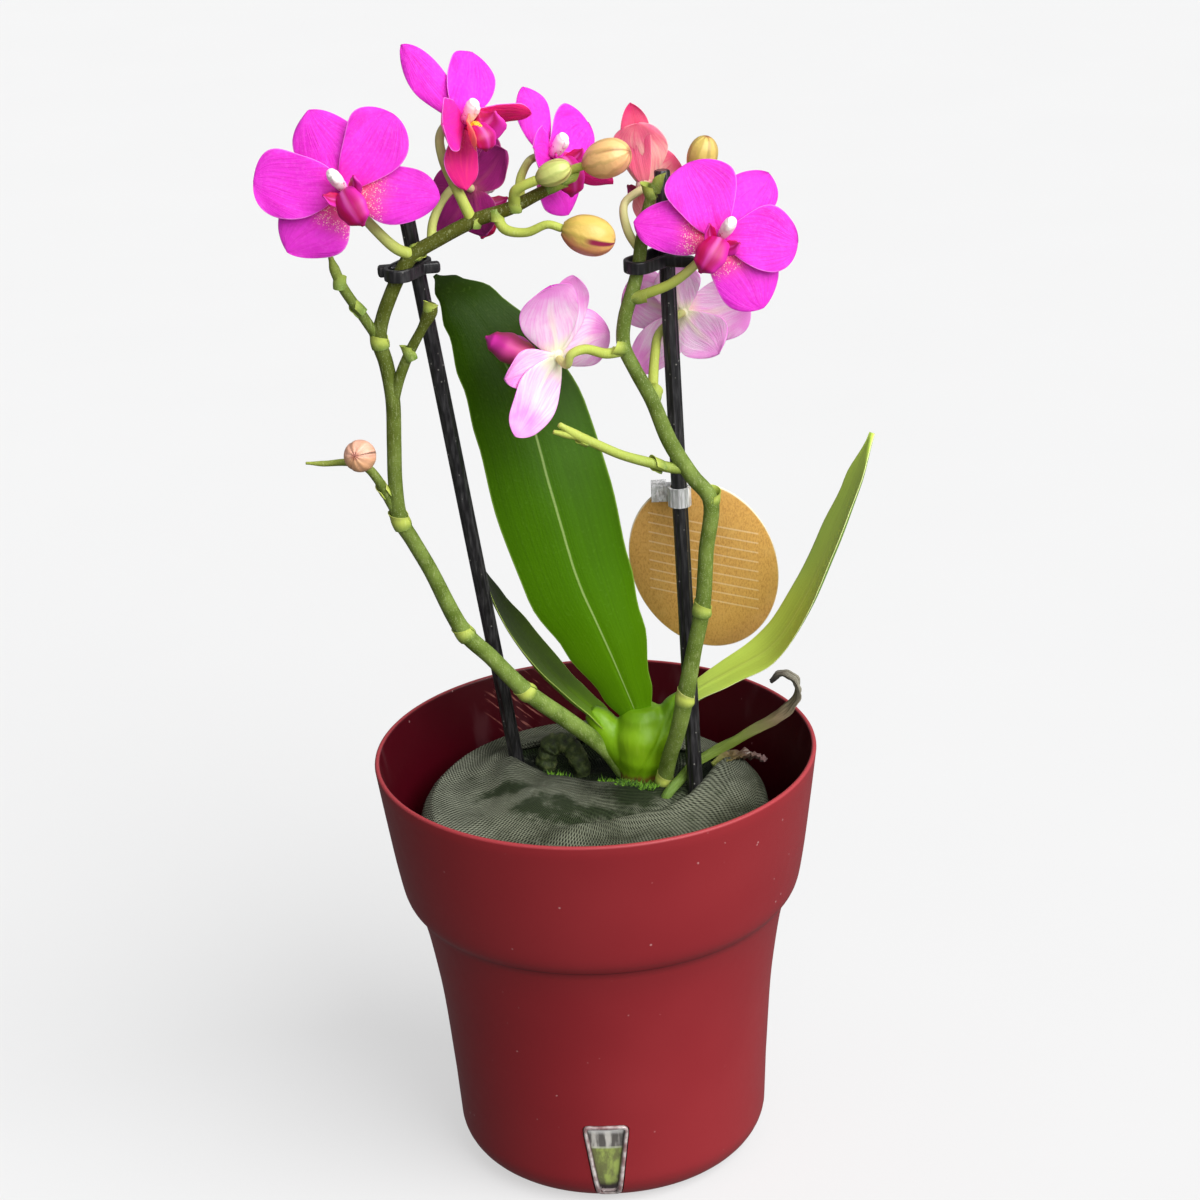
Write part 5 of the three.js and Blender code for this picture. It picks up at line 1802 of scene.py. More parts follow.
@dataclass
class WrapForm:
    """The shape that the wrap and the root ball's netting share.

    Attributes:
        top: Height of the top.
        radius: Largest radius.
        floor: Height of the underside.
        mouth_at: Middle of the mouth.
        mouth_size: Half the mouth's length and width.
        mouth_turn: Turn of the mouth.
        around: Points round it.
        crease: Given line (x, y) where the right side of the cloth lies over the middle.
        centre: Middle of the shoulder.
    """

    top: float = 108.0
    radius: float = 50.0
    floor: float = 34.7
    mouth_at: Point = (7.0, 19.0)
    mouth_size: Point = (31.0, 12.5)
    mouth_turn: float = -0.26
    around: int = 220
    crease: Sequence[Point] = (
        (-20, -20), (-8.5, -16.3), (7.1, -9.8), (17, -7.8), (25, -2.4), (30.4, 4.4), (36.4, 11.4), (44, 19),
    )
    centre = (-1.0, 3.0)

    def side(self) -> list[Point]:
        """Gives the side outline.

        Returns:
            Its points as (radius, height, share of the offset, share of the folds).
        """
        r, top = self.radius, self.top
        shoulder = [(r - 3.5, top - 0.8, 1.0, 1.0), (r - 0.8, top - 3.5, 1.0, 0.9), (r, top - 8, 1.0, 0.5)]
        wall = [(r - 2.4, 82.0, 0.6, 0.0), (r - 5.4, 62.0, 0.4, 0.0), (r - 7.4, 38.5, 0.2, 0.0)]
        return [*shoulder, *wall, (r - 10.5, self.floor, 0.2, 0.0)]

    def mouth(self, angle: float) -> tuple[float, float]:
        """Gives a point of the mouth's edge.

        Args:
            angle: Turn round the mouth.

        Returns:
            The point.
        """
        long, short = self.mouth_size[0] * cos(angle), self.mouth_size[1] * sin(angle)
        c, s = cos(self.mouth_turn), sin(self.mouth_turn)
        return self.mouth_at[0] + long * c - short * s, self.mouth_at[1] + long * s + short * c

    def folds(self, x: float, y: float) -> float:
        """Gives the height of the lying folds over the top.

        Args:
            x: Place along X.
            y: Place along Y.

        Returns:
            Height above the plain top.
        """
        swell = 2.4 * bell(x, -14, 14) * bell(y, -6, 12)
        dip = -2.2 * bell(x, 10, 16) * bell(y, -14, 9)
        ridge = 3.4 * bell(x, 40, 10) * bell(y, 6, 14)
        dimple = -2.4 * bell(x, -33, 7) * bell(y, 8, 12)
        left = 1.6 * bell(x, -26, 7) * bell(y, 14, 10)
        return swell + dip + ridge + dimple + left + 0.055 * y - 0.01 * x

    def flap(self, x: float, y: float) -> float:
        """Gives the step where the right side of the cloth lies over the middle.

        Args:
            x: Place along X.
            y: Place along Y.

        Returns:
            Height above the folds.
        """
        nearest, side = 1e9, 1.0
        for (ax, ay), (bx, by) in zip(self.crease, self.crease[1:]):
            wide, tall = bx - ax, by - ay
            share = max(0.0, min(1.0, ((x - ax) * wide + (y - ay) * tall) / (wide**2 + tall**2)))
            away = hypot(x - ax - share * wide, y - ay - share * tall)
            if away < nearest:
                nearest, side = away, copysign(1.0, wide * (y - ay) - tall * (x - ax))
        fade = max(0.0, min(1.0, (x + 20) / 24))
        return fade * (2.0 * bell(nearest * side, -3.0, 2.6) - 1.9 * bell(nearest * side, 0.9, 1.6))

    def ripple(self, x: float, y: float, z: float) -> float:
        """Gives the cloth's small creases."""
        broad = noise.noise(Vector((x * 0.075, y * 0.11, z * 0.05)))
        return 0.8 * broad + 0.35 * noise.noise(Vector((x * 0.2 + 9, y * 0.26, z * 0.12)))

    def top_point(self, share: float, angle: float) -> Vector:
        """Gives a point of the top between mouth and shoulder.

        Args:
            share: 0 at the mouth's edge and 1 at the shoulder.
            angle: Turn round the wrap.

        Returns:
            The point.
        """
        radius, height = self.side()[0][:2]
        edge_x, edge_y = self.mouth(angle)
        x = mix(edge_x, self.centre[0] + radius * cos(angle), share)
        y = mix(edge_y, self.centre[1] + radius * sin(angle), share)
        lift = 1.2 * sin(pi * min(share + 0.25, 1)) + 0.7 * bell(share, 0.04, 0.05)
        creases = self.ripple(x, y, 0) * (1 - share**6) + self.flap(x, y) * (1 - share**8)
        swirl = 0.4 * sin(share * 15 + 2 * sin(angle)) * bell(cos(angle), -0.9, 0.6) * (1 - share)
        height = mix(self.top, height, share) + lift + self.folds(x, y) + creases + swirl
        return Vector((x, y, height))

    def side_rows(self, between: int) -> list[tuple[Vector, float]]:
        """Gives the side outline finely: (radius, height, offset share) and fold share.

        Args:
            between: Steps from each row to the next.

        Returns:
            The rows.
        """
        rows = self.side()
        spots = smooth_path([row[:3] for row in rows], between)
        return list(zip(spots, spread([row[3] for row in rows], between)))


@dataclass
class RootWrap:
    """The knitted sock stretched over the root ball.

    Attributes:
        form: The shape that it shares with the netting.
        cloth: Thickness of the cloth.
        rows: Rows between mouth and shoulder, which lie reach apart in all.
        length: The cloth's flat length from mouth to hem; not used.
        gathered: Share of the flat area that the gathered mouth leaves; not used.
        stains: Moss stains as (x, y, reach along X, reach along Y).
    """

    form: WrapForm
    cloth: float = 1.0
    rows: int = 40
    reach: float = 26.0
    length: float = 125.0
    gathered: float = 0.86
    stains: Sequence[Point] = (
        (-25.0, 6.0, 8.0, 3.6), (-18.0, -8.0, 8.0, 7.0), (-9.0, -6.0, 4.5, 4.0), (-6.0, -14.5, 6.0, 2.6),
        (10.0, 0.5, 9.0, 6.5), (21.0, 3.5, 7.0, 5.0), (4.0, -9.0, 14.0, 2.2),
    )

    def stain(self, x: float, y: float) -> float:
        """Gives how mossy the cloth is at a place."""
        return min(1.0, sum(bell(x, sx, rx) * bell(y, sy, ry) for sx, sy, rx, ry in self.stains))

    def rings(self) -> list[Ring]:
        """Lays the cloth out from the mouth's edge to the underside.

        Returns:
            Its rings, whose first trait is the way down the cloth.
        """
        form, angles, rings = self.form, turns(self.form.around), []
        for share in ((r / self.rows) ** 1.1 for r in range(self.rows)):
            ring = [form.top_point(share, angle) for angle in angles]
            rings.append([(p, (self.reach * share, 0.0, 1.0, self.stain(p.x, p.y), 0.0)) for p in ring])
        down, previous = self.reach, None
        for (radius, height, offset), fold in form.side_rows(5):
            if previous:
                down += hypot(radius - previous[0], height - previous[1])
            previous = (radius, height)
            ring = []
            for angle in angles:
                flat = Vector((form.centre[0] * offset, form.centre[1] * offset, 0)) + polar(radius, angle)
                crease = 0.25 * form.ripple(flat.x, flat.y, height)
                rise = Vector((0, 0, height + form.folds(flat.x, flat.y) * fold))
                ring.append(flat * (1 + crease / radius) + rise)
            rings.append(plain(ring, (down, 0.0, 1.0, 0.0, 0.0)))
        for share in (0.7, 0.35, 0.03):
            ring = [Vector((p.x * share, p.y * share, form.floor)) for p, _ in rings[-1]]
            rings.append(plain(ring, (down + 30 * (1 - share), 0.0, 1.0, 0.0, 0.0)))
        return rings

    def build(self) -> None:
        draft = Draft()
        draft.add_rings(self.rings(), caps=False)
        end = len(draft.points)
        draft.faces.append(tuple(range(end - self.form.around, end)))
        mesh = draft.mesh("knit_wrap")
        if sum(face.normal.z * face.area for face in mesh.polygons if face.center.z > 0.1) < 0:
            mesh.flip_normals()
        wrap = piece_of(mesh, KnitCloth(Cloth.DRY).material(), "root_wrap", "knit_fabric")
        skin = wrap.modifiers.new("cloth", "SOLIDIFY")
        skin.thickness = self.cloth * MM
        skin.offset = -1


@dataclass
class RootBall:
    """The root ball: dark, mossy netting that sinks inside the wrap's mouth.

    Attributes:
        form: The shape that it shares with the wrap.
        depth: How far it lies within the wrap's outer face.
        sink: How far its middle sinks.
        rows: Rows from the sunken middle to the mouth's edge, and under_rows from there outwards.
    """

    form: WrapForm
    depth: float = 1.7
    sink: float = 3.2
    rows: int = 24
    under_rows: int = 10

    def net_point(self, share: float, angle: float) -> Vector:
        """Gives a point of the sunken netting.

        Args:
            share: 0 at the mouth's edge and 1 in its middle.
            angle: Turn round the mouth.

        Returns:
            The point.
        """
        form, (edge_x, edge_y) = self.form, self.form.mouth(angle)
        x, y = mix(edge_x, form.mouth_at[0], share), mix(edge_y, form.mouth_at[1], share)
        edge = form.top + 0.85 + form.folds(edge_x, edge_y) - self.depth
        broad, fine = Vector((x * 0.16, y * 0.22, 3)), Vector((x * 0.5, y * 0.6, 8))
        lumps = 1.6 * noise.noise(broad) + 0.5 * noise.noise(fine)
        ridge = 1.6 * bell(y + 0.25 * x, 13.5, 2.6) * bell(x, -2, 18)
        ease = eased(min(share * 2.2, 1.0))
        return Vector((x, y, mix(edge, form.top - self.sink, ease) + ease * (lumps + ridge)))

    def build(self) -> None:
        """Builds the root ball."""
        form, angles, rings = self.form, turns(self.form.around), []
        for r in range(self.rows):
            share, ring = 0.995 * (1 - r / self.rows), []
            for spot in (self.net_point(share, angle) for angle in angles):
                wet = max(0.0, 0.45 + 0.75 * noise.noise(Vector((spot.x * 0.13, spot.y * 0.13, 1))))
                ring.append((spot, (20 * share, 0.0, 1.0, wet, 0.0)))
            rings.append(ring)
        under = [
            [form.top_point(r / self.under_rows, angle) - Vector((0, 0, self.depth)) for angle in angles]
            for r in range(self.under_rows)
        ]
        for (radius, height, offset), fold in form.side_rows(2):
            ring = []
            for spot in (polar(radius - self.depth, angle, height) for angle in angles):
                spot.x += form.centre[0] * offset
                spot.y += form.centre[1] * offset
                lift = form.folds(spot.x, spot.y) * fold - self.depth * fold
                spot.z = max(height, form.floor + self.depth) + lift
                ring.append(spot)
            under.append(ring)
        draft = Draft()
        draft.add_rings([*rings, *(plain(ring, (0.0, 0.0, 1.0, 0.5, 0.0)) for ring in under)])
        netting = KnitCloth(Cloth.MOSSY).material()
        piece_of(draft.mesh("root_ball_netting"), netting, "root_ball", "root_ball")


@dataclass
class MossTufts:
    """Moss shoots round the foot of the crown and here and there in the netting.

    Attributes:
        ball: The root ball that they grow on.
        patches: Patches as (x, y, radius, shoots for each square millimetre).
        length: Length of a shoot, which is thick wide at its foot.
        seed: The first patch's seed.
    """

    ball: RootBall
    patches: Sequence[Point] = (
        (8.5, 8.0, 5.0, 7.0), (14.5, 6.0, 4.6, 8.0), (3.0, 9.6, 3.0, 4.0), (-10.0, 17.0, 5.0, 0.8),
        (21.0, 7.0, 3.4, 3.0),
    )
    length: float = 2.2
    thick: float = 0.34
    seed: int = 11

    def height(self, x: float, y: float) -> float:
        """Gives the height of the ground under a shoot.

        Args:
            x: Place along X.
            y: Place along Y.

        Returns:
            The height of the netting or the wrap.
        """
        form = self.ball.form
        flat = Vector((x - form.mouth_at[0], y - form.mouth_at[1]))
        c, s = cos(-form.mouth_turn), sin(-form.mouth_turn)
        long = (flat.x * c - flat.y * s) / form.mouth_size[0]
        short = (flat.x * s + flat.y * c) / form.mouth_size[1]
        reach, angle = hypot(long, short), atan2(short, long)
        if reach < 1:
            return self.ball.net_point(1 - reach, angle).z
        return form.top + 1.2 + form.folds(x, y) + form.ripple(x, y, 0)

    def build(self) -> None:
        """Scatters the shoots."""
        finish = MossFinish().material()
        draft, rule = Draft(), shoots_rule()
        sizes = {"Length": self.length * MM, "Thick": self.thick * MM}
        for number, (cx, cy, radius, density) in enumerate(self.patches):
            rings = []
            for reach in (radius * r / 8 for r in range(1, 9)):
                ring = []
                for a in turns(20):
                    x, y = cx + reach * cos(a) * (1 + 0.3 * sin(3 * a + number)), cy + reach * sin(a)
                    ring.append(Vector((x, y, self.height(x, y) - 0.2)))
                rings.append(plain(ring))
            ground = Draft()
            ground.add_rings(rings, caps=False)
            mesh = ground.mesh("moss_ground")
            if sum(face.normal.z for face in mesh.polygons) < 0:
                mesh.flip_normals()
            draft.absorb(rule.run(mesh, finish, Density=density / MM**2, Seed=self.seed + number, **sizes))
        piece_of(draft.mesh("moss_tufts", outwards=False), finish, "", "root_ball")


@dataclass
class AerialRoot:
    """The stout root that arches out of the root ball, along points [x, y, z, radius]."""

    knots: Sequence[Point] = (
        (-15.0, 26.0, 99.0, 2.8), (-14.6, 26.0, 108.0, 3.0), (-12.5, 25.5, 113.6, 3.2),
        (-8.5, 24.8, 114.3, 3.0), (-5.0, 24.0, 109.0, 2.8), (-3.5, 24.0, 100.0, 2.6),
    )

    def build(self) -> None:
        """Builds the root with its knobbly skin."""
        path = smooth_path(self.knots, 12)
        sizes = spread([knot[3] for knot in self.knots], 12)
        lumpy = [radius * (1 + 0.12 * sin(i * 0.9) * sin(i * 0.37)) for i, radius in enumerate(sizes)]
        finish = Velamen().material()
        draft = swept(Profile.ROUND, [Strand(path, lumpy, [NO_TRAIT] * len(path))], finish, Sides=28)
        for i, point in enumerate(draft.points):
            push = 0.35 * noise.noise(point * 0.6)
            draft.points[i] = point + Vector((push, push, push))
        piece_of(draft.mesh("aerial_root_arch"), finish, "aerial_root", "aerial_root")


# Crown and leaves


@dataclass
class Crown:
    """The lime sheaths that the leaves grow from, along points [x, y, z, radius].

    Attributes:
        bulb: Points of the middle sheath, as right and left are of the others.
        grain: Size of the melted skin's faces.
        seam: Depth of the seam between two sheaths.
    """

    bulb: Sequence[Point] = (
        (12.5, 14.0, 99.0, 4.5), (12.8, 14.0, 109.0, 6.0), (13.5, 14.0, 115.0, 8.0),
        (14.0, 14.0, 121.0, 8.6), (14.0, 14.0, 127.0, 6.5), (14.0, 14.0, 130.0, 4.5),
    )
    right: Sequence[Point] = (
        (16.0, 14.0, 112.0, 4.0), (20.0, 14.0, 121.0, 5.5), (24.0, 14.5, 128.0, 4.6),
        (27.0, 15.0, 132.0, 3.0),
    )
    left: Sequence[Point] = (
        (10.0, 14.0, 112.0, 4.0), (6.0, 15.0, 119.0, 5.0), (2.0, 16.0, 125.0, 4.0), (-1.0, 16.5, 128.0, 2.6),
    )
    grain: float = 0.55
    seam: float = 0.45

    def build(self) -> None:
        """Builds the sheaths and melts them into one skin."""
        finish = CrownSkin().material()
        strands = []
        for knots in (self.bulb, self.right, self.left):
            path = smooth_path(knots, 8)
            strands.append(Strand(path, spread([knot[3] for knot in knots], 8), [NO_TRAIT] * len(path)))
        draft = swept(Profile.ROUND, strands, finish, Sides=32)
        crown = piece_of(draft.mesh("crown_sheaths"), finish, "crown", "crown_green")
        melt = crown.modifiers.new("melt", "REMESH")
        melt.mode, melt.voxel_size = "VOXEL", self.grain * MM
        soft = crown.modifiers.new("soft", "SMOOTH")
        soft.factor, soft.iterations = 0.8, 9
        skin = evaluated(crown)
        skin.name = "crown_sheaths"
        for vertex in skin.vertices:
            spot = vertex.co / MM
            seam = bell(spot.x - 0.55 * (spot.z - 121), 17.5, 0.5) * (1 if spot.y < 14 else 0)
            vertex.co += vertex.normal * (-self.seam * seam * MM)
        smooth(skin)
        crown.data = skin


LEAF_TALL = LeafShape(
    knots=(
        (14.0, 13.0, 119.0, 3.2), (12.8, 13.0, 126.0, 4.2), (9.8, 12.0, 136.0, 7.4),
        (4.2, 10.4, 153.0, 12.0),
        (-2.0, 10.2, 170.0, 15.3), (-8.0, 12.2, 195.0, 16.8), (-13.2, 17.0, 217.0, 16.0),
        (-20.0, 21.0, 234.0, 13.3), (-28.0, 25.5, 247.0, 8.8), (-34.0, 29.0, 253.0, 4.4),
        (-37.4, 31.5, 255.5, 0.8),
    ),
    across=((1.0, 0.0, 0.3), (1.0, 0.15, 0.15)),
    fold=(-0.24, -0.05),
    thick=(2.2, 1.1),
)
LEAF_LEFT = LeafShape(
    knots=(
        (4.6, 16.0, 122.0, 4.0), (0.0, 17.0, 127.0, 6.0), (-6.6, 18.5, 133.0, 8.0),
        (-13.8, 21.0, 140.5, 9.4),
        (-21.0, 24.5, 150.0, 8.6), (-26.8, 27.5, 160.0, 6.0), (-31.0, 30.5, 171.5, 0.8),
    ),
    across=((0.2, 0.93, 0.02), (0.08, 0.99, -0.05)),
    fold=(0.25, 0.2),
    thick=(2.2, 1.1),
)
LEAF_RIGHT = LeafShape(
    knots=(
        (22.0, 15.0, 124.0, 4.0), (29.0, 15.0, 131.6, 5.5), (40.5, 13.5, 138.8, 7.0),
        (52.0, 12.0, 146.4, 9.0),
        (61.6, 11.0, 161.0, 9.8), (69.4, 11.0, 178.5, 9.2), (76.0, 12.5, 194.4, 6.4),
        (81.4, 16.0, 208.4, 0.8),
    ),
    across=((-0.1, 0.93, 0.05), (-0.14, 0.95, 0.1)),
    fold=(-0.2, -0.2),
    thick=(2.2, 1.1),
)
WITHERED = LeafShape(
    knots=(
        (17.0, -1.2, 103.3, 1.5), (20.0, -0.5, 108.8, 1.5), (24.0, 2.9, 111.6, 1.5), (28.0, 6.4, 114.3, 1.5),
        (34.0, 6.4, 118.0, 1.6), (40.0, 5.0, 122.0, 1.7), (48.0, 2.0, 128.0, 2.0), (53.5, 0.0, 132.5, 2.6),
        (57.0, -2.0, 137.5, 2.6), (57.3, -3.4, 141.5, 2.3), (55.4, -4.4, 145.0, 1.9),
        (52.2, -4.6, 145.8, 1.4),
        (50.0, -4.5, 143.6, 0.8),
    ),
    across=((-0.3, 0.6, 0.7), (0.1, 1.0, 0.1)),
    fold=(0.1, 0.35),
    thick=(2.8, 0.9),
    between=5,
)
SCRAP = LeafShape(
    knots=(
        (33.5, 8.4, 112.4, 1.5), (38.0, 10.0, 113.8, 3.0), (43.5, 11.5, 113.6, 2.8),
        (49.0, 12.5, 111.4, 1.0),
    ),
    across=((-0.3, 1.0, 0.1), (-0.2, 1.0, -0.2)),
    fold=(-0.2, -0.5),
    thick=(1.0, 0.8),
    between=9,
)
@dataclass
class Leaf:
    """One leaf blade with its finish.

    Attributes:
        name: The piece's name.
        node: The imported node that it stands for.
        slot: The record's slot.
        shape: Its blade.
        finish: Its finish.
        columns: Points across each side.
        channel: Depth of the groove over the midrib.
        crumple: Height of dry creases.
    """

    name: str
    node: str
    slot: str
    shape: LeafShape
    finish: LeafSkin | DriedSkin
    columns: int = 25
    channel: float = 0.5
    crumple: float = 0.0

    def relief(self, along: float, u: float) -> float:
        """Gives the extra height of the blade's surface.

        Args:
            along: Share of the length.
            u: Place across, from -1 to 1.

        Returns:
            The height.
        """
        groove = -self.channel * bell(u, 0, 0.07) * (1 - along)
        if not self.crumple:
            return groove + 0.5 * sin(along * 9 + u * 1.5) * abs(u) ** 3
        creases = noise.noise(Vector((along * 16, u * 1.8, 2.0))) * eased(min(along * 1.6, 1))
        return groove + self.crumple * creases

    def build(self) -> None:
        """Builds the leaf."""
        draft = Draft()
        add_blade(draft, self.shape.rows(), self.columns, relief=self.relief)
        piece_of(draft.mesh(self.name), self.finish.material(), self.node, self.slot)


def leaves() -> list[Leaf]:
    """Lists the plant's leaves, living and dry.

    Returns:
        The leaves.
    """
    green_tall = LeafSkin(
        "leaf_tall_skin", tint(96, 146, 8), tint(70, 116, 2), tint(32, 52, 2), tint(110, 150, 40),
        tint(176, 200, 120), 0.6, tint(140, 176, 70),
    )
    green_left = LeafSkin(
        "leaf_left_skin", tint(112, 158, 14), tint(72, 98, 10), tint(36, 46, 6), tint(120, 150, 50),
        tint(80, 104, 24), 0.4, tint(170, 190, 96),
    )
    green_right = LeafSkin(
        "leaf_right_skin", tint(140, 176, 50), tint(110, 150, 36), tint(120, 156, 50), tint(200, 230, 98),
        tint(226, 236, 150), 0.35, tint(230, 236, 170),
    )
    withered = DriedSkin(
        "leaf_withered_skin",
        (
            (0.1, tint(104, 136, 48)), (0.42, tint(122, 142, 52)), (0.55, tint(150, 130, 96)),
            (0.75, tint(146, 142, 124)), (0.9, tint(96, 92, 80)), (0.97, tint(30, 28, 26)),
        ),
    )
    scrap = DriedSkin(
        "sheath_scrap_skin",
        ((0.0, tint(150, 160, 66)), (0.35, tint(112, 96, 52)), (0.6, tint(86, 62, 44)),
         (1.0, tint(120, 92, 92))),
    )
    return [
        Leaf("leaf_tall_blade", "leaf_tall", "leaf_green", LEAF_TALL, green_tall, 33),
        Leaf("leaf_left_blade", "leaf_left", "leaf_green", LEAF_LEFT, green_left),
        Leaf("leaf_right_blade", "leaf_right", "leaf_green", LEAF_RIGHT, green_right),
        Leaf("leaf_withered_blade", "leaf_withered", "leaf_dry", WITHERED, withered, 13, 0.2, 0.8),
        Leaf("sheath_scrap_curl", "sheath_scrap", "leaf_dry", SCRAP, scrap, 15, 0.0, 1.6),
    ]


# Blooms


@dataclass(frozen=True)
class TepalForm:
    """How a tepal's half width grows from its claw to its tip.

    Attributes:
        peak: Share of the length at which it is widest.
        claw: Share of the width at the claw.
        blunt: How fast it closes at the tip, where a half makes a round end.
        cup: How far the edges stand before the middle, as a share of the half width.
        lift: Angle in degrees that it stands before the bloom's plane.
        back: How far it sits behind the bloom's plane.
    """

    peak: float
    claw: float
    blunt: float
    cup: float
    lift: float
    back: float

    def width(self, share: float) -> float:
        """Gives the share of the half width at a share of the length.

        Args:
            share: The share of the length.

        Returns:
            The share of the half width.
        """
        if share < self.peak:
            return mix(self.claw, 1.0, sin(pi / 2 * share / self.peak) ** 0.95)
        past = (share - self.peak) / (1 - self.peak)
        return max(1 - past**2.1, 0.0) ** self.blunt


PETAL = TepalForm(0.66, 0.16, 0.5, 0.08, 6.0, 0.0)
SEPAL = TepalForm(0.56, 0.2, 0.66, -0.12, 2.0, 1.2)


@dataclass(frozen=True)
class Tepal:
    """One tepal in its bloom's own frame, where +Z is the way the bloom faces.

    Attributes:
        form: Its outline.
        angle: Its direction in degrees from the bloom's right.
        length: Its length.
        half: Its largest half width.
        lift: Its angle before the bloom's plane, or None for the form's.
        back: Its place behind the bloom's plane, or None for the form's.
        blush: How strongly it is flecked near the lip.
        hot: How crimson it is.
        roll: Angle in degrees that it is turned about its own length.
    """

    form: TepalForm
    angle: float
    length: float
    half: float
    lift: float | None = None
    back: float | None = None
    blush: float = 0.0
    hot: float = 0.0
    roll: float = 0.0

    def add(self, draft: Draft, seed: float) -> None:
        """Adds the tepal's blade.

        Args:
            draft: The mesh that takes it.
            seed: Changes its ruffles and veins.
        """
        turn = radians(self.angle)
        tilt = radians(self.form.lift if self.lift is None else self.lift)
        back = self.form.back if self.back is None else self.back
        across = Vector((-sin(turn), cos(turn), 0))
        shares = [sin(pi / 2 * i / 26) ** 1.05 for i in range(27)]
        path = []
        for share in shares:
            reach = self.length * share
            ahead = reach * sin(tilt) - 0.12 * self.length * share * share - back
            path.append(polar(reach * cos(tilt), turn, ahead))
        rows = []
        for share, centre, tangent in zip(shares, path, tangents_of(path)):
            half = max(self.half * self.form.width(share), 0.25) * (1 + 0.05 * sin(seed * 3 + share * 7))
            side = Matrix.Rotation(radians(self.roll) * eased(min(share * 2.5, 1)), 3, tangent) @ across
            facing = tangent.cross(side).normalized()
            centre = centre + side * (0.07 * half * sin(seed * 5 + share * 6))
            trough, thick = half * self.form.cup, mix(1.1, 0.6, share)
            rows.append(BladeRow(centre, side, facing, half, trough, thick, 0.5, share))

        def relief(share: float, u: float) -> float:
            """Gives the tepal's crease and ruffled edge.

            Args:
                share: Share of the length.
                u: Place across, from -1 to 1.

            Returns:
                The extra height.
            """
            crease = -0.3 * bell(u, 0, 0.08) * (1 - share)
            ruffle = 0.45 * sin(share * 13 + seed * 5 + 2.4 * u) * abs(u) ** 3 * share
            pillow = 0.35 * noise.noise(Vector((share * 3 + seed, u * 1.5, seed)))
            return crease + ruffle + pillow * share

        add_blade(draft, rows, 21, tone=self.hot, pale=self.blush, relief=relief)


class LipState(Enum):
    """How a bloom's lip stands."""

    OPEN = "open"
    SPREAD = "spread"
    CLOSED = "closed"


def raised(low: float, *knots: Point) -> list[Point]:
    """Lifts points [x, y, z, radius] along Z."""
    return [(x, y, low + z, radius) for x, y, z, radius in knots]


def lip_trait(share: float, turn: float, pale: float = 0.0) -> Trait:
    """Gives a lip's traits, which change from side to side."""
    return (share, 1 - 4 * abs(turn - 0.5), 1.0, pale, 0.0)


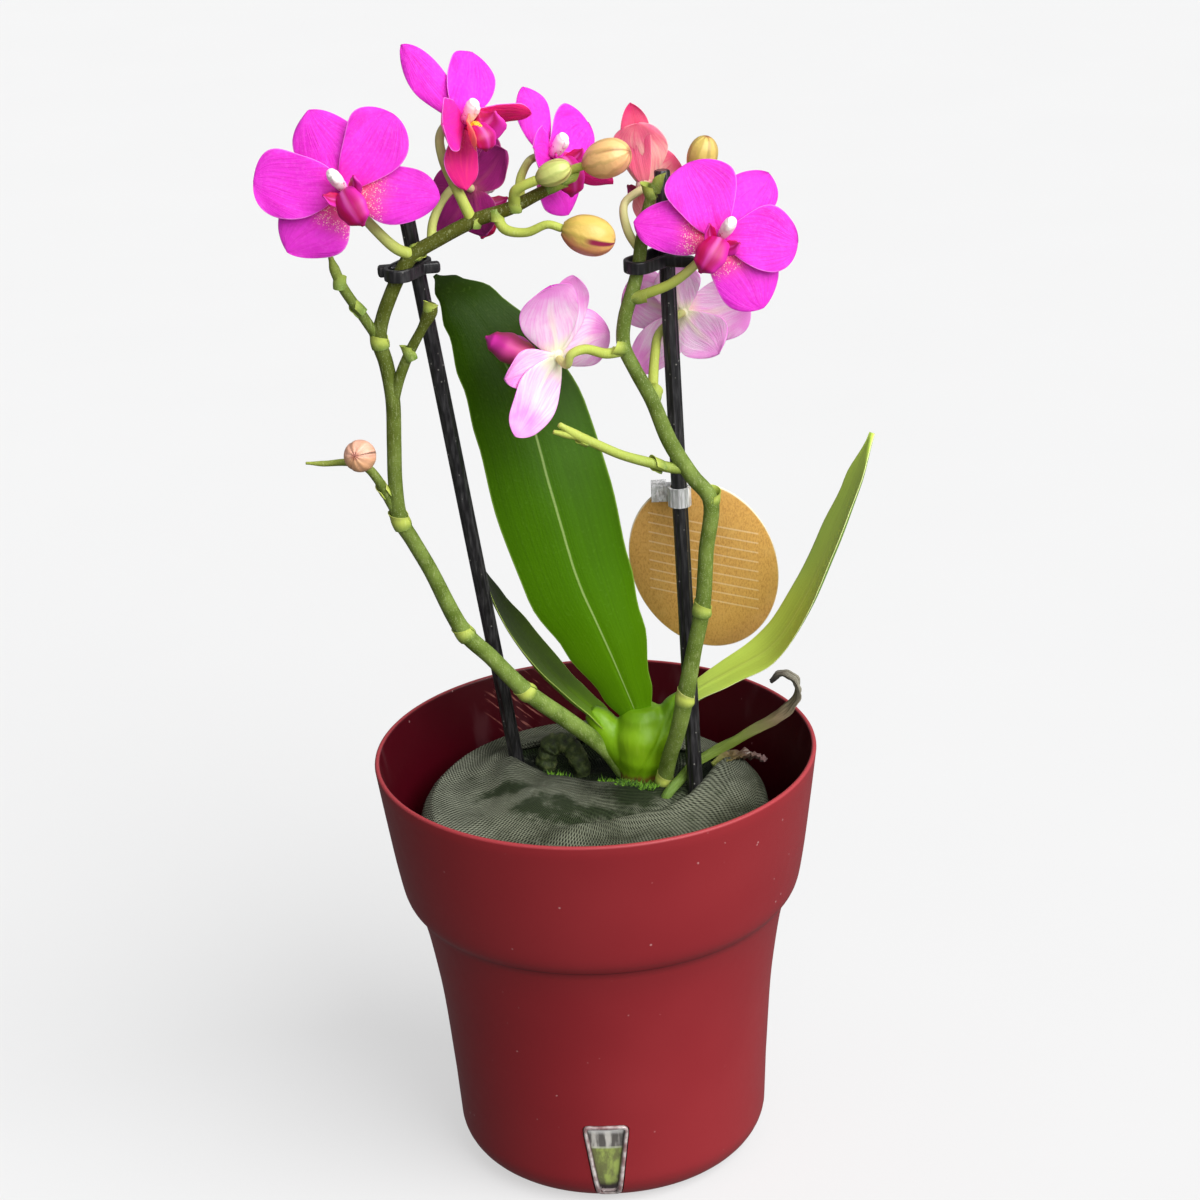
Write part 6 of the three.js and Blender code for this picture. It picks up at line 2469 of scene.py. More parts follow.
@dataclass
class Bloom:
    """One flower: five tepals, a column and a lip.

    Attributes:
        number: Its number on the plant.
        centre: Middle of its hub.
        facing: The way that it faces.
        upper: Its upper side.
        tepals: Its tepals.
        lip: How its lip stands.
        skin: Finish of its tepals.
    """

    number: int
    centre: Point
    facing: Point
    upper: Point
    tepals: Sequence[Tepal]
    lip: LipState = LipState.OPEN
    skin: str = "petal_skin"

    LOW = 1.5

    def frame(self) -> Matrix:
        """Gives the bloom's own frame.

        Returns:
            The matrix from it to the plant's frame.
        """
        z = Vector(self.facing).normalized()
        y = Vector(self.upper)
        y = (y - z * y.dot(z)).normalized()
        turned = Matrix((y.cross(z), y, z)).transposed().to_4x4()
        return Matrix.Translation(Vector(self.centre)) @ turned

    def corolla(self) -> Draft:
        """Makes the hub and the tepals.

        Returns:
            Their skin in the bloom's own frame.
        """
        draft = Draft()
        hub = [(0, 0, -2.2, 0.9), (0, 0, -1.4, 1.9), (0, 0, -0.2, 2.3), (0, 0, 1.0, 1.7), (0, 0, 1.3, 0.5)]
        add_lump(draft, hub, 1.0, lambda share, turn: (0.02, 0.5, 0.0 if share < 0.5 else 1.0, 0.0, 0.0))
        for order, tepal in enumerate(self.tepals):
            tepal.add(draft, self.number * 1.7 + order * 0.61)
        return draft

    def finger(self) -> Draft:
        """Makes the column with its hood.

        Returns:
            Its skin in the bloom's own frame.
        """
        draft = Draft()
        knots = raised(
            self.LOW, (0, 0.4, 0, 1.3), (0, 1.0, 1.8, 1.5), (0, 2.2, 3.4, 1.75), (0, 3.4, 4.8, 1.7),
            (0, 4.2, 5.8, 1.3), (0, 4.6, 6.4, 0.4),
        )
        add_lump(draft, knots, 1.15, lambda share, turn: (share, turn, 1.0, 0.0, 0.0))
        hood = raised(
            self.LOW, (0, 1.6, 4.6, 0.3), (0, 1.7, 5.4, 0.9), (0, 2.6, 6.4, 0.8), (0, 3.4, 6.9, 0.2)
        )
        add_lump(draft, hood, 0.9, lambda share, turn: (0.8, turn, 1.0, 0.0, 0.0), 4, 14)
        return draft

    def side_lobe(self, draft: Draft, side: int, peach: float, size: float) -> None:
        """Adds one upright side lobe of the lip.

        Args:
            draft: The mesh that takes it.
            side: 1 for the right lobe and -1 for the left.
            peach: How peach-coloured it is.
            size: Its size.
        """
        knots = raised(
            self.LOW, (side * 0.6, -2.0, 1.8, 1.0), (side * 2.3, -2.4, 3.6, 2.5 * size),
            (side * 3.9, -1.2, 5.6, 2.3 * size), (side * 4.7, 0.3 * size, 7.0, 0.4),
        )
        shape = LeafShape(knots, ((0, 1, 0.2), (0, 1, 0.1)), (0.05, 0.35), (1.0, 0.6), 5, 0.45)
        add_blade(draft, shape.rows(), 13, tone=peach)

    def mid_lobe(self, draft: Draft, wide: float, drop: float) -> None:
        """Adds the plump middle lobe of the lip.

        Args:
            draft: The mesh that takes it.
            wide: Its largest half width.
            drop: How far it hangs.
        """
        knots = raised(
            self.LOW, (0, -1.6, 0, 1.1), (0, -2.0, 2.2, 1.8), (0, -2.6, 4.4, wide * 0.8),
            (0, -2.8 - drop * 0.4, 5.8, wide), (0, -3.0 - drop * 0.75, 5.8, wide * 0.8),
            (0, -3.2 - drop, 4.9, 0.5),
        )
        add_lump(draft, knots, 0.5, lip_trait, 6, 36)

    def closed_lip(self) -> Draft:
        """Makes a lip whose lobes stand together, turned to the side.

        Returns:
            Its skin in the bloom's own frame.
        """
        body = raised(
            self.LOW, (0, -2.0, 0, 1.2), (0, -2.6, 3, 2.4), (0, -2.6, 7.5, 5.2), (0, -2.2, 12, 5.8),
            (0, -1.8, 16, 4.0), (0, -1.4, 18.6, 0.6),
        )
        keel = raised(self.LOW, (0, 0.0, 5, 0.6), (0, 1.2, 9, 1.4), (0, 0.8, 14, 0.9), (0, 0.2, 16, 0.3))
        draft = Draft()
        add_lump(draft, body, 0.72, lambda share, turn: lip_trait(share, turn, 0.9 * (1 - share) ** 2), 8, 30)
        add_lump(draft, keel, 0.5, lambda share, turn: (share, 0.0, 1.0, 0.0, 0.0), 5, 14)
        about = Matrix.Rotation(radians(20), 4, "Z") @ Matrix.Rotation(radians(52), 4, "Y")
        foot = Vector((0, 0, self.LOW))
        about = Matrix.Translation(foot) @ about @ Matrix.Translation(-foot)
        draft.points = [about @ point for point in draft.points]
        return draft

    def tongue(self) -> Draft:
        """Makes the lip.

        Returns:
            Its skin in the bloom's own frame.
        """
        if self.lip is LipState.CLOSED:
            return self.closed_lip()
        draft = Draft()
        if self.lip is LipState.OPEN:
            self.mid_lobe(draft, 4.2, 8.4)
            self.side_lobe(draft, 1, 0.0, 0.9)
            self.side_lobe(draft, -1, 0.0, 0.8)
            return draft
        self.mid_lobe(draft, 3.4, 5.4)
        self.side_lobe(draft, 1, 0.0, 2.0)
        self.side_lobe(draft, -1, 1.0, 2.2)
        callus = raised(
            self.LOW, (0, -1.6, 1.6, 0.7), (0, -1.4, 3.4, 1.2), (0, -2.4, 5.2, 1.0), (0, -3.6, 6.2, 0.4)
        )
        add_lump(draft, callus, 0.8, lambda share, turn: (share, 0.0, 1.0, 0.0, 1.0), 5, 14)
        return draft

    def build(self, finishes: dict[str, Material]) -> None:
        """Builds the bloom's three pieces.

        Args:
            finishes: The materials by name.
        """
        name, matrix = f"bloom_{self.number}", self.frame()
        for draft, part, skin, node, slot in (
            (self.corolla(), "petals", self.skin, "tepals", "petal"),
            (self.finger(), "finger", "column_wax", "column", "column_white"),
            (self.tongue(), "tongue", "lip_skin", "lip", "lip_crimson"),
        ):
            draft.points = [matrix @ point for point in draft.points]
            piece_of(draft.mesh(f"{name}_{part}"), finishes[skin], f"{name}_{node}", slot)


BLOOMS = [
    Bloom(
        1, (-57, -14, 293), (-0.1, -0.93, 0.3), (-0.47, 0.37, 0.8),
        [
            Tepal(SEPAL, 84, 22.5, 8.6),
            Tepal(PETAL, 144, 24, 9.2),
            Tepal(PETAL, 24, 23, 8.6),
            Tepal(SEPAL, 194, 22.5, 9.4, blush=1.0, hot=0.15),
            Tepal(SEPAL, -37, 24.5, 7.8, blush=1.0, hot=0.3),
        ],
    ),
    Bloom(
        2, (-26, -6, 307), (0.62, -0.72, 0.25), (-0.42, 0.38, 0.82),
        [
            Tepal(SEPAL, 112, 25, 4.6, hot=0.45, roll=-25),
            Tepal(PETAL, 60, 18.6, 8.0),
            Tepal(PETAL, 172, 16, 7.0, lift=38, hot=0.78),
            Tepal(SEPAL, 260, 17.5, 5.4, blush=1.0, hot=0.9),
            Tepal(SEPAL, -10, 21, 4.6, lift=24, hot=1.0, roll=58),
        ],
        LipState.SPREAD,
    ),
    Bloom(
        3, (-4, 7, 293.7), (0.62, -0.72, 0.25), (-0.25, 0.4, 0.86),
        [
            Tepal(SEPAL, 99, 19, 4.6, roll=-20),
            Tepal(PETAL, 26, 16.5, 8.2),
            Tepal(PETAL, 168, 14, 6.5, lift=40, hot=0.5),
            Tepal(SEPAL, -72, 17, 7.2, blush=0.5, hot=0.6),
            Tepal(SEPAL, -28, 22, 4.2, lift=14, hot=0.9, roll=58),
        ],
    ),
    Bloom(
        4, (21.0, 19, 281.2), (0.05, 0.98, -0.15), (-0.2, 0.05, 0.95),
        [
            Tepal(SEPAL, 95, 22.5, 4.2, hot=0.9),
            Tepal(PETAL, 99, 17, 7.0, lift=-4),
            Tepal(PETAL, 150, 11.5, 6.4),
            Tepal(SEPAL, -87, 10.5, 4.2, hot=0.3),
            Tepal(SEPAL, -145, 8, 4),
        ],
        skin="petal_skin_coral",
    ),
    Bloom(
        5, (39.8, -8, 273.6), (0.05, -0.93, 0.3), (0.57, 0.33, 0.75),
        [
            Tepal(SEPAL, 84, 21, 7.6),
            Tepal(PETAL, 146, 21, 9.2),
            Tepal(PETAL, 27, 20.5, 8.4),
            Tepal(SEPAL, 203, 23, 7.2, blush=1.0, hot=0.15),
            Tepal(SEPAL, -26, 22, 9.0, blush=1.0, hot=0.1),
        ],
    ),
    Bloom(
        6, (-5.3, -2, 241.2), (-0.45, 0.86, 0.1), (0.05, -0.1, 1),
        [
            Tepal(PETAL, 82, 22.4, 9, lift=-4),
            Tepal(SEPAL, 105, 22.8, 6.5, lift=7, back=0.0),
            Tepal(PETAL, 168, 17, 8),
            Tepal(SEPAL, -8, 16.8, 5.6),
            Tepal(SEPAL, -50, 23.7, 7.6, lift=-4),
        ],
        LipState.CLOSED,
    ),
    Bloom(
        7, (30.4, 20.5, 244.4), (0.22, 0.93, -0.25), (0.4, 0.1, 0.9),
        [
            Tepal(SEPAL, 56, 14.5, 6.6),
            Tepal(PETAL, 152, 18.8, 9.0),
            Tepal(PETAL, -4, 18.0, 8.2),
            Tepal(SEPAL, -156, 15, 7.0),
            Tepal(SEPAL, -74, 21, 6),
        ],
    ),
    # bloom 8, behind the others, takes the petal finish painted dark as shade
    Bloom(
        8, (-24, 8, 285), (0.5, 0.75, -0.45), (0.2, 0.4, 0.85),
        [
            Tepal(PETAL, 70, 17, 8.4),
            Tepal(PETAL, 0, 14, 7),
            Tepal(SEPAL, 130, 14, 6),
            Tepal(SEPAL, -60, 15, 5.4),
            Tepal(SEPAL, -120, 14, 5.4),
        ],
        skin="petal_skin_shaded",
    ),
]


def bloom_finishes() -> dict[str, Material]:
    """Makes the finishes that the blooms share.

    Returns:
        The materials by name.
    """
    # a darker copy of the petal finish: painted shade for bloom 8
    dark = PetalSkin(
        "petal_skin_shaded", tint(170, 26, 130), tint(126, 14, 96), tint(166, 34, 124), tint(124, 16, 92),
        tint(206, 110, 150), tint(170, 70, 110),
    )
    coral = PetalSkin(
        "petal_skin_coral", tint(226, 40, 150), tint(184, 16, 112), tint(255, 176, 170), tint(240, 64, 124),
        tint(255, 190, 190), tint(255, 206, 186),
    )
    skins = [PetalSkin(), dark, coral, ColumnWax(), LipSkin()]
    made = [skin.material() for skin in skins]
    return {material.name: material for material in made}


# Buds


@dataclass
class Bud:
    """One closed bud.

    Attributes:
        number: Its number on the plant.
        base: Where it meets its stalk.
        tip: Its tip.
        radius: Its largest radius.
        finish: Its finish.
        seam_turn: Where its first seam lies, in parts of a turn.
    """

    number: int
    base: Point
    tip: Point
    radius: float
    finish: BudSkin
    seam_turn: float = 0.0

    WIDTHS = (
        (0.0, 0.34), (0.1, 0.62), (0.28, 0.9), (0.5, 1.0), (0.72, 0.92), (0.9, 0.62), (0.98, 0.28),
        (1.0, 0.04),
    )
    SIDES = 48

    def build(self) -> None:
        """Builds the bud with its three seams."""
        start, end = Vector(self.base), Vector(self.tip)
        axis = (end - start).normalized()
        side = Vector((0.1, 1, 0.3)).cross(axis).normalized()
        other = axis.cross(side)
        rings = []
        for spot in smooth_path([(share, width, 0.0) for share, width in self.WIDTHS], 5):
            share, width = min(spot.x, 1.0), max(spot.y, 0.02)
            ring, middle = [], start.lerp(end, share)
            for turn in (k / self.SIDES for k in range(self.SIDES)):
                groove = bell(abs(cos(pi * 3 * (turn - self.seam_turn))), 0.0, 0.1)
                reach = self.radius * width * (1.02 - 0.07 * groove * eased(min(share * 1.4, 1)))
                angle = FULL_TURN * turn
                place = middle + side * (reach * cos(angle)) + other * (reach * sin(angle))
                low = 0.5 - 0.5 * (place - middle).normalized().z
                ring.append((place, (share, turn, 1.0, groove, low)))
            rings.append(ring)
        draft = Draft()
        draft.add_rings(rings)
        name = f"bud_{self.number}"
        piece_of(draft.mesh(f"{name}_skin"), self.finish.material(), name, "bud")


def buds() -> list[Bud]:
    """Lists the plant's buds.

    Returns:
        The buds.
    """
    ochre, olive, flush = tint(240, 192, 126), tint(150, 132, 56), tint(220, 128, 104)
    return [
        Bud(
            1, (5.2, -7.6, 294.2), (16.8, -12.8, 298.6), 5,
            BudSkin("bud_1_skin", ochre, olive, flush, 0.35), 0.1,
        ),
        Bud(
            2, (-7.5, -10, 291.6), (1.5, -11, 295.2), 3.3,
            BudSkin("bud_2_skin", tint(198, 204, 116), tint(140, 160, 60), tint(206, 190, 110), 0.3),
        ),
        Bud(
            3, (-1.5, -11.5, 278.8), (12, -13, 274.8), 5.2,
            BudSkin("bud_3_skin", tint(218, 184, 92), tint(176, 160, 66), tint(232, 130, 104), 0.85, 0.71),
            0.21,
        ),
        Bud(
            4, (35, 11, 285), (38, 10, 296), 4,
            BudSkin("bud_4_skin", tint(212, 186, 96), olive, flush, 0.2), 0.3,
        ),
        Bud(
            5, (-57.6, -7.2, 217.6), (-60, -14.6, 220.2), 4.3,
            BudSkin("bud_5_skin", tint(232, 176, 150), tint(196, 140, 96), tint(214, 160, 104), 0.6), 0.45,
        ),
    ]


# Flower spikes


@dataclass(frozen=True)
class Shoot:
    """A stem, branch or stalk along given points [x, y, z, radius].

    Attributes:
        knots: Its points.
        tone: Its tone at both ends, from sage at 0 to olive at 1.
        pale: Its paleness at both ends, from 0 over lime to cream at 1.
    """

    knots: Sequence[Point]
    tone: tuple[float, float] = (0.0, 0.0)
    pale: tuple[float, float] = (0.0, 0.0)

    def strand(self, between: int) -> Strand:
        """Turns the shoot into a strand with a rounded end.

        Args:
            between: Steps from each point to the next.

        Returns:
            The strand.
        """
        path = smooth_path(self.knots, between)
        sizes = spread([knot[3] for knot in self.knots], between)
        last = len(path) - 1
        shares = [i / last for i in range(last + 1)]
        traits = [(share, 0.0, 1.0, mix(*self.tone, share), mix(*self.pale, share)) for share in shares]
        tangent = (path[-1] - path[-2]).normalized()
        for step, shrink in ((0.3, 0.85), (0.5, 0.5), (0.55, 0.1)):
            path.append(path[last] + tangent * (sizes[last] * step))
            sizes.append(sizes[last] * shrink)
            traits.append(traits[last])
        return Strand(path, sizes, traits)


@dataclass(frozen=True)
class Sheath:
    """A papery sheath that wraps a stem, with a pointed free end.

    Attributes:
        at: Middle of its base [x, y, z, radius].
        direction: The way that it points.
        length: Its length.
        wrap: Share of a turn that it covers.
        pale: Its paleness.
        flare: How far its free end stands off.
        turn: Where its point lies, in parts of a turn.
    """

    at: Point
    direction: Point
    length: float
    wrap: float
    pale: float
    flare: float
    turn: float

    ROWS = 9
    COLUMNS = 17

    def add(self, draft: Draft) -> None:
        """Adds the sheath to a draft.

        Args:
            draft: The mesh that takes it.
        """
        axis = Vector(self.direction).normalized()
        side = Vector((0.3, 1, 0.2)).cross(axis).normalized()
        other = axis.cross(side)
        base = Vector(self.at[:3]) - axis * (self.length / 2)
        spots = [2 * c / (self.COLUMNS - 1) - 1 for c in range(self.COLUMNS)]
        rings = []
        for share in (r / (self.ROWS - 1) for r in range(self.ROWS)):
            swell = 1 + 0.12 * sin(pi * min(share * 1.3, 1))
            trait_pale = self.pale * mix(0.2, 0.85, share)
            ring = []
            for sign, u in [(1, u) for u in spots] + [(-1, u) for u in reversed(spots)]:
                angle = FULL_TURN * (self.turn + self.wrap * u / 2)
                tall = self.length * (1 - 0.45 * abs(u) ** 1.5) * share
                reach = self.at[3] * swell + 0.5 * self.flare * share**2.6 * (1.1 - 0.3 * abs(u))
                reach += sign * mix(0.3, 0.08, share)
                spot = base + axis * tall + side * (reach * cos(angle)) + other * (reach * sin(angle))
                ring.append((spot, (share, u, 1.0, 0.0, trait_pale)))
            rings.append(ring)
        draft.add_rings(rings, blade=True)


@dataclass
class Spike:
    """A flower spike with its branches, stalks and sheaths.

    Attributes:
        side: "left" or "right".
        shoots: Its stem, branches and stalks.
        sheaths: Its sheaths and bracts.
    """

    side: str
    shoots: Sequence[Shoot]
    sheaths: Sequence[Sheath]

    def build(self, finish: Material) -> None:
        """Builds the spike as one piece.

        Args:
            finish: The skin's material.
        """
        draft = swept(Profile.ROUND, [shoot.strand(6) for shoot in self.shoots], finish, Sides=24)
        for sheath in self.sheaths:
            sheath.add(draft)
        name = f"spike_{self.side}"
        piece_of(draft.mesh(f"{name}_stems"), finish, name, "spike_green", 60)


def bloom_end(bloom: Bloom) -> list[Point]:
    """Gives the last two points of a bloom's stalk, square to its hub from behind."""
    matrix = bloom.frame()
    return [(*(matrix @ Vector((0, 0, -2.0 - away))), 1.1) for away in (4.8, 0.3)]


def bud_end(bud: Bud, radius: float = 1.1) -> list[Point]:
    """Gives the last two points of a bud's stalk, in line with the bud.

    Args:
        bud: The bud.
        radius: The stalk's radius.

    Returns:
        The points.
    """
    start = Vector(bud.base)
    axis = (Vector(bud.tip) - start).normalized()
    return [(*(start - axis * away), radius) for away in (4.0, 0.3)]


def left_spike(blooms: Sequence[Bloom], pods: Sequence[Bud]) -> Spike:
    """Lists the shoots and sheaths of the left spike.

    Args:
        blooms: The plant's blooms.
        pods: The plant's buds.

    Returns:
        The spike.
    """
    stem = Shoot(
        (
            (7.5, 15, 109, 2.2), (3, 13.5, 117, 2.4), (-7, 10, 128, 2.5), (-19, 6.5, 140, 2.45),
            (-28, 4, 152, 2.3), (-35, 2, 161, 2.35), (-43, 0, 181, 2.1), (-47, -1, 190, 2.1),
            (-50, -2, 197, 2.2), (-50.5, -3, 208, 2), (-50, -3.3, 219, 2), (-49.4, -4, 232, 2),
            (-50.4, -4, 242, 2), (-51.8, -4.4, 249, 2.1), (-50.4, -5, 255, 1.9), (-48, -6, 261, 1.9),
            (-45, -6.3, 267, 1.9), (-41.5, -6.4, 272, 2), (-34, -6.2, 276.2, 1.9), (-24, -6, 280.8, 1.9),
            (-15, -6, 283.4, 1.8), (-7, -6, 287, 1.6), (1, -6, 290.4, 1),
        ),
        tone=(0.0, 1.1),
    )
    shoots = [
        stem,
        Shoot(
            (
                (-50, -2.2, 197, 1.4), (-52.5, -3, 202.8, 1.3), (-55, -3.8, 209.2, 1.3),
                (-58, -4, 213.2, 1.2),
                (-63, -4, 214.8, 1), (-69, -4, 214.8, 0.8), (-74, -4, 215.2, 0.4),
            ),
            tone=(0.4, 0.7), pale=(0.0, 0.3),
        ),
        Shoot(
            (
                (-49.2, -4, 231, 1.4), (-47.2, -5, 238, 1.5), (-43.6, -6, 246, 1.4), (-40.2, -7, 252, 1.3),
                (-37.6, -7.8, 257, 2), (-37.2, -8, 258.6, 1.8),
            ),
            tone=(0.5, 0.9),
        ),
        Shoot(
            (
                (-51.6, -4.4, 248.6, 1.4), (-55, -6, 255.4, 1.4), (-60, -8, 265, 1.4), (-61.6, -9, 270, 1.4),
                (-62.4, -9.4, 273.6, 0.7),
            ),
            tone=(0.5, 0.4), pale=(0.0, 0.25),
        ),
        Shoot(
            (
                (-41, -6.5, 272.4, 1.6), (-45, -8, 274.6, 1.5), (-50, -8.6, 280, 1.4),
                (-54.6, -7.6, 286, 1.2),
                *bloom_end(blooms[0]),
            ),
            pale=(0.5, 1.0),
        ),
        Shoot(
            (
                (-25, -6, 280.6, 1.5), (-28, -5.6, 288, 1.4), (-31.4, -3.6, 296, 1.3),
                (-32.2, -0.8, 302, 1.2),
                *bloom_end(blooms[1]),
            ),
            pale=(0.5, 1.0),
        ),
        Shoot(
            ((-12, -5.6, 285, 1.3), (-12, 0, 289, 1.2), (-10.4, 5, 291.6, 1.1), *bloom_end(blooms[2])),
            pale=(0.5, 0.9),
        ),
        Shoot(
            (
                (-36, -6, 275.4, 1.3), (-35.4, -3.4, 280, 1.2), (-32.6, -0.4, 285, 1.1),
                (-29.6, 2.2, 287.6, 1.1),
                *bloom_end(blooms[7]),
            ),
            tone=(0.5, 0.5), pale=(0.6, 0.9),
        ),
        Shoot(((-4, -6.2, 288.6, 1.2), (-1.4, -5.8, 291, 1.1), *bud_end(pods[0])), pale=(0.4, 0.45)),
        Shoot(
            ((-13.4, -6.6, 284.4, 1.5), (-13.4, -8.6, 288.4, 1.4), *bud_end(pods[1], 1.3)), pale=(0.4, 0.5),
        ),
        Shoot(
            ((-18.6, -6.2, 282, 1.4), (-16.6, -8.4, 278.6, 1.4), (-11, -10, 277.8, 1.2), *bud_end(pods[2])),
            pale=(0.4, 0.55),
        ),
        Shoot(((-57.2, -4, 212.6, 1), (-57, -3.2, 215, 1), *bud_end(pods[4], 1)), pale=(0.3, 0.5)),
    ]
    sheaths = [
        Sheath((-19, 6.5, 140, 2.45), (-0.65, -0.2, 0.7), 4.4, 0.97, 0.7, 0.25, 0.5),
        Sheath((-35, 2, 161, 2.35), (-0.5, -0.1, 0.85), 4.8, 0.97, 0.5, 0.3, 0.5),
        Sheath((-50, -2, 197, 2.2), (-0.25, -0.1, 1), 5.6, 0.97, 0.72, 0.8, 0.5),
        Sheath((-51.7, -4.3, 249, 2.1), (-0.1, 0, 1), 4.8, 0.95, 0.6, 0.6, 0.5),
        Sheath((-39.5, -6.4, 273.3, 1.95), (0.9, 0, 0.4), 3.6, 0.7, 0.5, 0.5, 0.2),
        Sheath((-53.8, -3.6, 206.4, 1.3), (-0.5, -0.1, 0.9), 4.8, 0.8, 0.8, 0.7, 0.3),
        Sheath((-44, -6.2, 246, 1.4), (-0.3, 0, 1), 5, 0.8, 0.35, 0.7, 0.6),
        Sheath((-57, -7, 259, 1.4), (-0.7, 0, 0.8), 5, 0.8, 0.35, 0.8, 0.2),
        Sheath((-60.6, -8.4, 267, 1.4), (0.1, 0, 1), 4.6, 0.7, 0.35, 0.8, 0.8),
        Sheath((-37.4, -7.9, 258.4, 1.5), (0.2, 0, 1), 3.6, 0.95, 0.55, 1.1, 0.7),
        Sheath((-2.6, -6, 289, 1.3), (0.9, 0, 0.4), 5.4, 0.8, 0.4, 0.8, 0.0),
        Sheath((1.6, -6, 290.6, 0.9), (0.9, 0.1, 0.3), 5.6, 0.8, 0.4, 0.7, 0.5),
        Sheath((-24.6, -6, 281, 1.9), (0.2, 0, 1), 4.2, 0.6, 0.45, 0.5, 0.1),
        Sheath((-13.4, -6.4, 284.6, 1.7), (0.1, -0.2, 1), 3.8, 0.7, 0.5, 0.6, 0.6),
        Sheath((-18.6, -6.4, 281.4, 1.6), (0.3, -0.4, -1), 3.6, 0.7, 0.5, 0.5, 0.6),
    ]
    return Spike("left", shoots, sheaths)


def right_spike(blooms: Sequence[Bloom], pods: Sequence[Bud]) -> Spike:
    """Lists the shoots and sheaths of the right spike.

    Args:
        blooms: The plant's blooms.
        pods: The plant's buds.

    Returns:
        The spike.
    """
    stem = Shoot(
        (
            (18.5, 6.4, 103, 2.2), (19.4, 5.2, 110, 2.3), (21, 2.4, 119, 2.3), (23.4, -1.2, 128, 2.3),
            (26, -3.2, 140, 2.5), (29, -4, 155, 2.2), (31.6, -4.4, 167, 2.2), (33.2, -4.6, 184, 2.1),
            (34.8, -4.6, 199, 2.2), (30, -4.4, 206, 2.2), (24.4, -4, 216, 2.2), (20, -3, 228, 2),
            (15.8, -2, 236.5, 1.9), (13.2, -1, 243, 1.9), (13.8, 0, 250, 1.9), (16, 1, 256.5, 1.9),
            (18, 2, 263, 1.8), (19, 2.4, 269, 1.8), (20.8, 3, 277, 1.6), (23, 3.6, 285, 1.3),
        ),
        tone=(0.25, 0.35),
    )
    shoots = [
        stem,
        Shoot(
            (
                (28.4, -4.4, 208, 1.4), (24.4, -4.8, 208.8, 1.5), (17.4, -6, 211.4, 1.4),
                (11, -8, 214.4, 1.3),
                (4, -9, 218.4, 1.3), (-1, -9.6, 221.4, 1.3), (-5, -10, 224.4, 0.8),
            ),
            pale=(0.2, 0.5),
        ),
        Shoot(((0.6, -9.4, 220.4, 1), (-3.4, -10, 221.6, 1), (-6.6, -10.2, 222.6, 0.6)), pale=(0.4, 0.5)),
        Shoot(
            (
                (13.4, -1.4, 241.6, 1.5), (8.3, -4.6, 242, 1.4), (2.7, -7.4, 244.4, 1.3),
                (-1, -9, 243.6, 1.2),
                *bloom_end(blooms[5]),
            ),
            pale=(0.3, 0.8),
        ),
        Shoot(
            (
                (15.6, 0.6, 255.4, 1.4), (21, -2, 257.6, 1.4), (27, -3.6, 260.4, 1.3),
                (33.6, -3.4, 265.4, 1.2),
                *bloom_end(blooms[4]),
            ),
            pale=(0.25, 1.0),
        ),
        Shoot(
            (
                (20.4, -2.6, 227, 1.4), (20.8, 2.4, 231.5, 1.4), (21.8, 8, 237.6, 1.3),
                (23.2, 12.6, 241.4, 1.2),
                *bloom_end(blooms[6]),
            ),
            pale=(0.35, 0.8),
        ),
        Shoot(
            ((18.6, 2.4, 268, 1.2), (15.8, 6, 272.4, 1.2), (15.4, 12, 278.4, 1.1), *bloom_end(blooms[3])),
            pale=(0.7, 1.0),
        ),
        Shoot(((21.4, 3.4, 279, 1.1), (28, 4.4, 279, 1), *bud_end(pods[3], 0.9)), pale=(0.3, 0.5)),
    ]
    sheaths = [
        Sheath((19.5, 5, 111, 2.3), (0.15, -0.2, 1), 4.4, 0.97, 0.75, 0.3, 0.5),
        Sheath((26, -3.2, 140, 2.4), (0.2, -0.1, 1), 4.8, 0.97, 0.78, 0.4, 0.5),
        Sheath((31.6, -4.4, 167, 2.3), (0.15, 0, 1), 4.4, 0.97, 0.5, 0.4, 0.5),
        Sheath((35.4, -4.5, 200, 1.9), (0.15, 0, 1), 4.8, 0.97, 0.5, 0.6, 0.3),
        Sheath((20.6, -5.4, 210, 1.5), (-1, -0.2, 0.6), 5, 0.75, 0.5, 1.0, 0.2),
        Sheath((11.4, -3.4, 243, 1.5), (-1, -0.5, 0.3), 4.6, 0.75, 0.6, 0.8, 0.7),
        Sheath((18.6, -0.4, 256, 1.5), (1, -0.5, 0.3), 4.6, 0.75, 0.5, 0.7, 0.7),
        Sheath((21.2, -1, 229, 1.5), (0.3, 0.5, 0.8), 4.6, 0.75, 0.5, 0.8, 0.7),
        Sheath((21.8, 3.2, 284, 1.3), (-0.3, 0, 1), 5.4, 0.85, 0.4, 0.6, 0.5),
        Sheath((24.2, 3.8, 286, 1.2), (0.3, 0, 1), 5.8, 0.85, 0.35, 0.6, 0.0),
        Sheath((1.0, -9.4, 219.8, 1.3), (-0.8, -0.1, 0.5), 3.6, 0.7, 0.55, 0.6, 0.4),
    ]
    return Spike("right", shoots, sheaths)


# Stakes, ties and tag


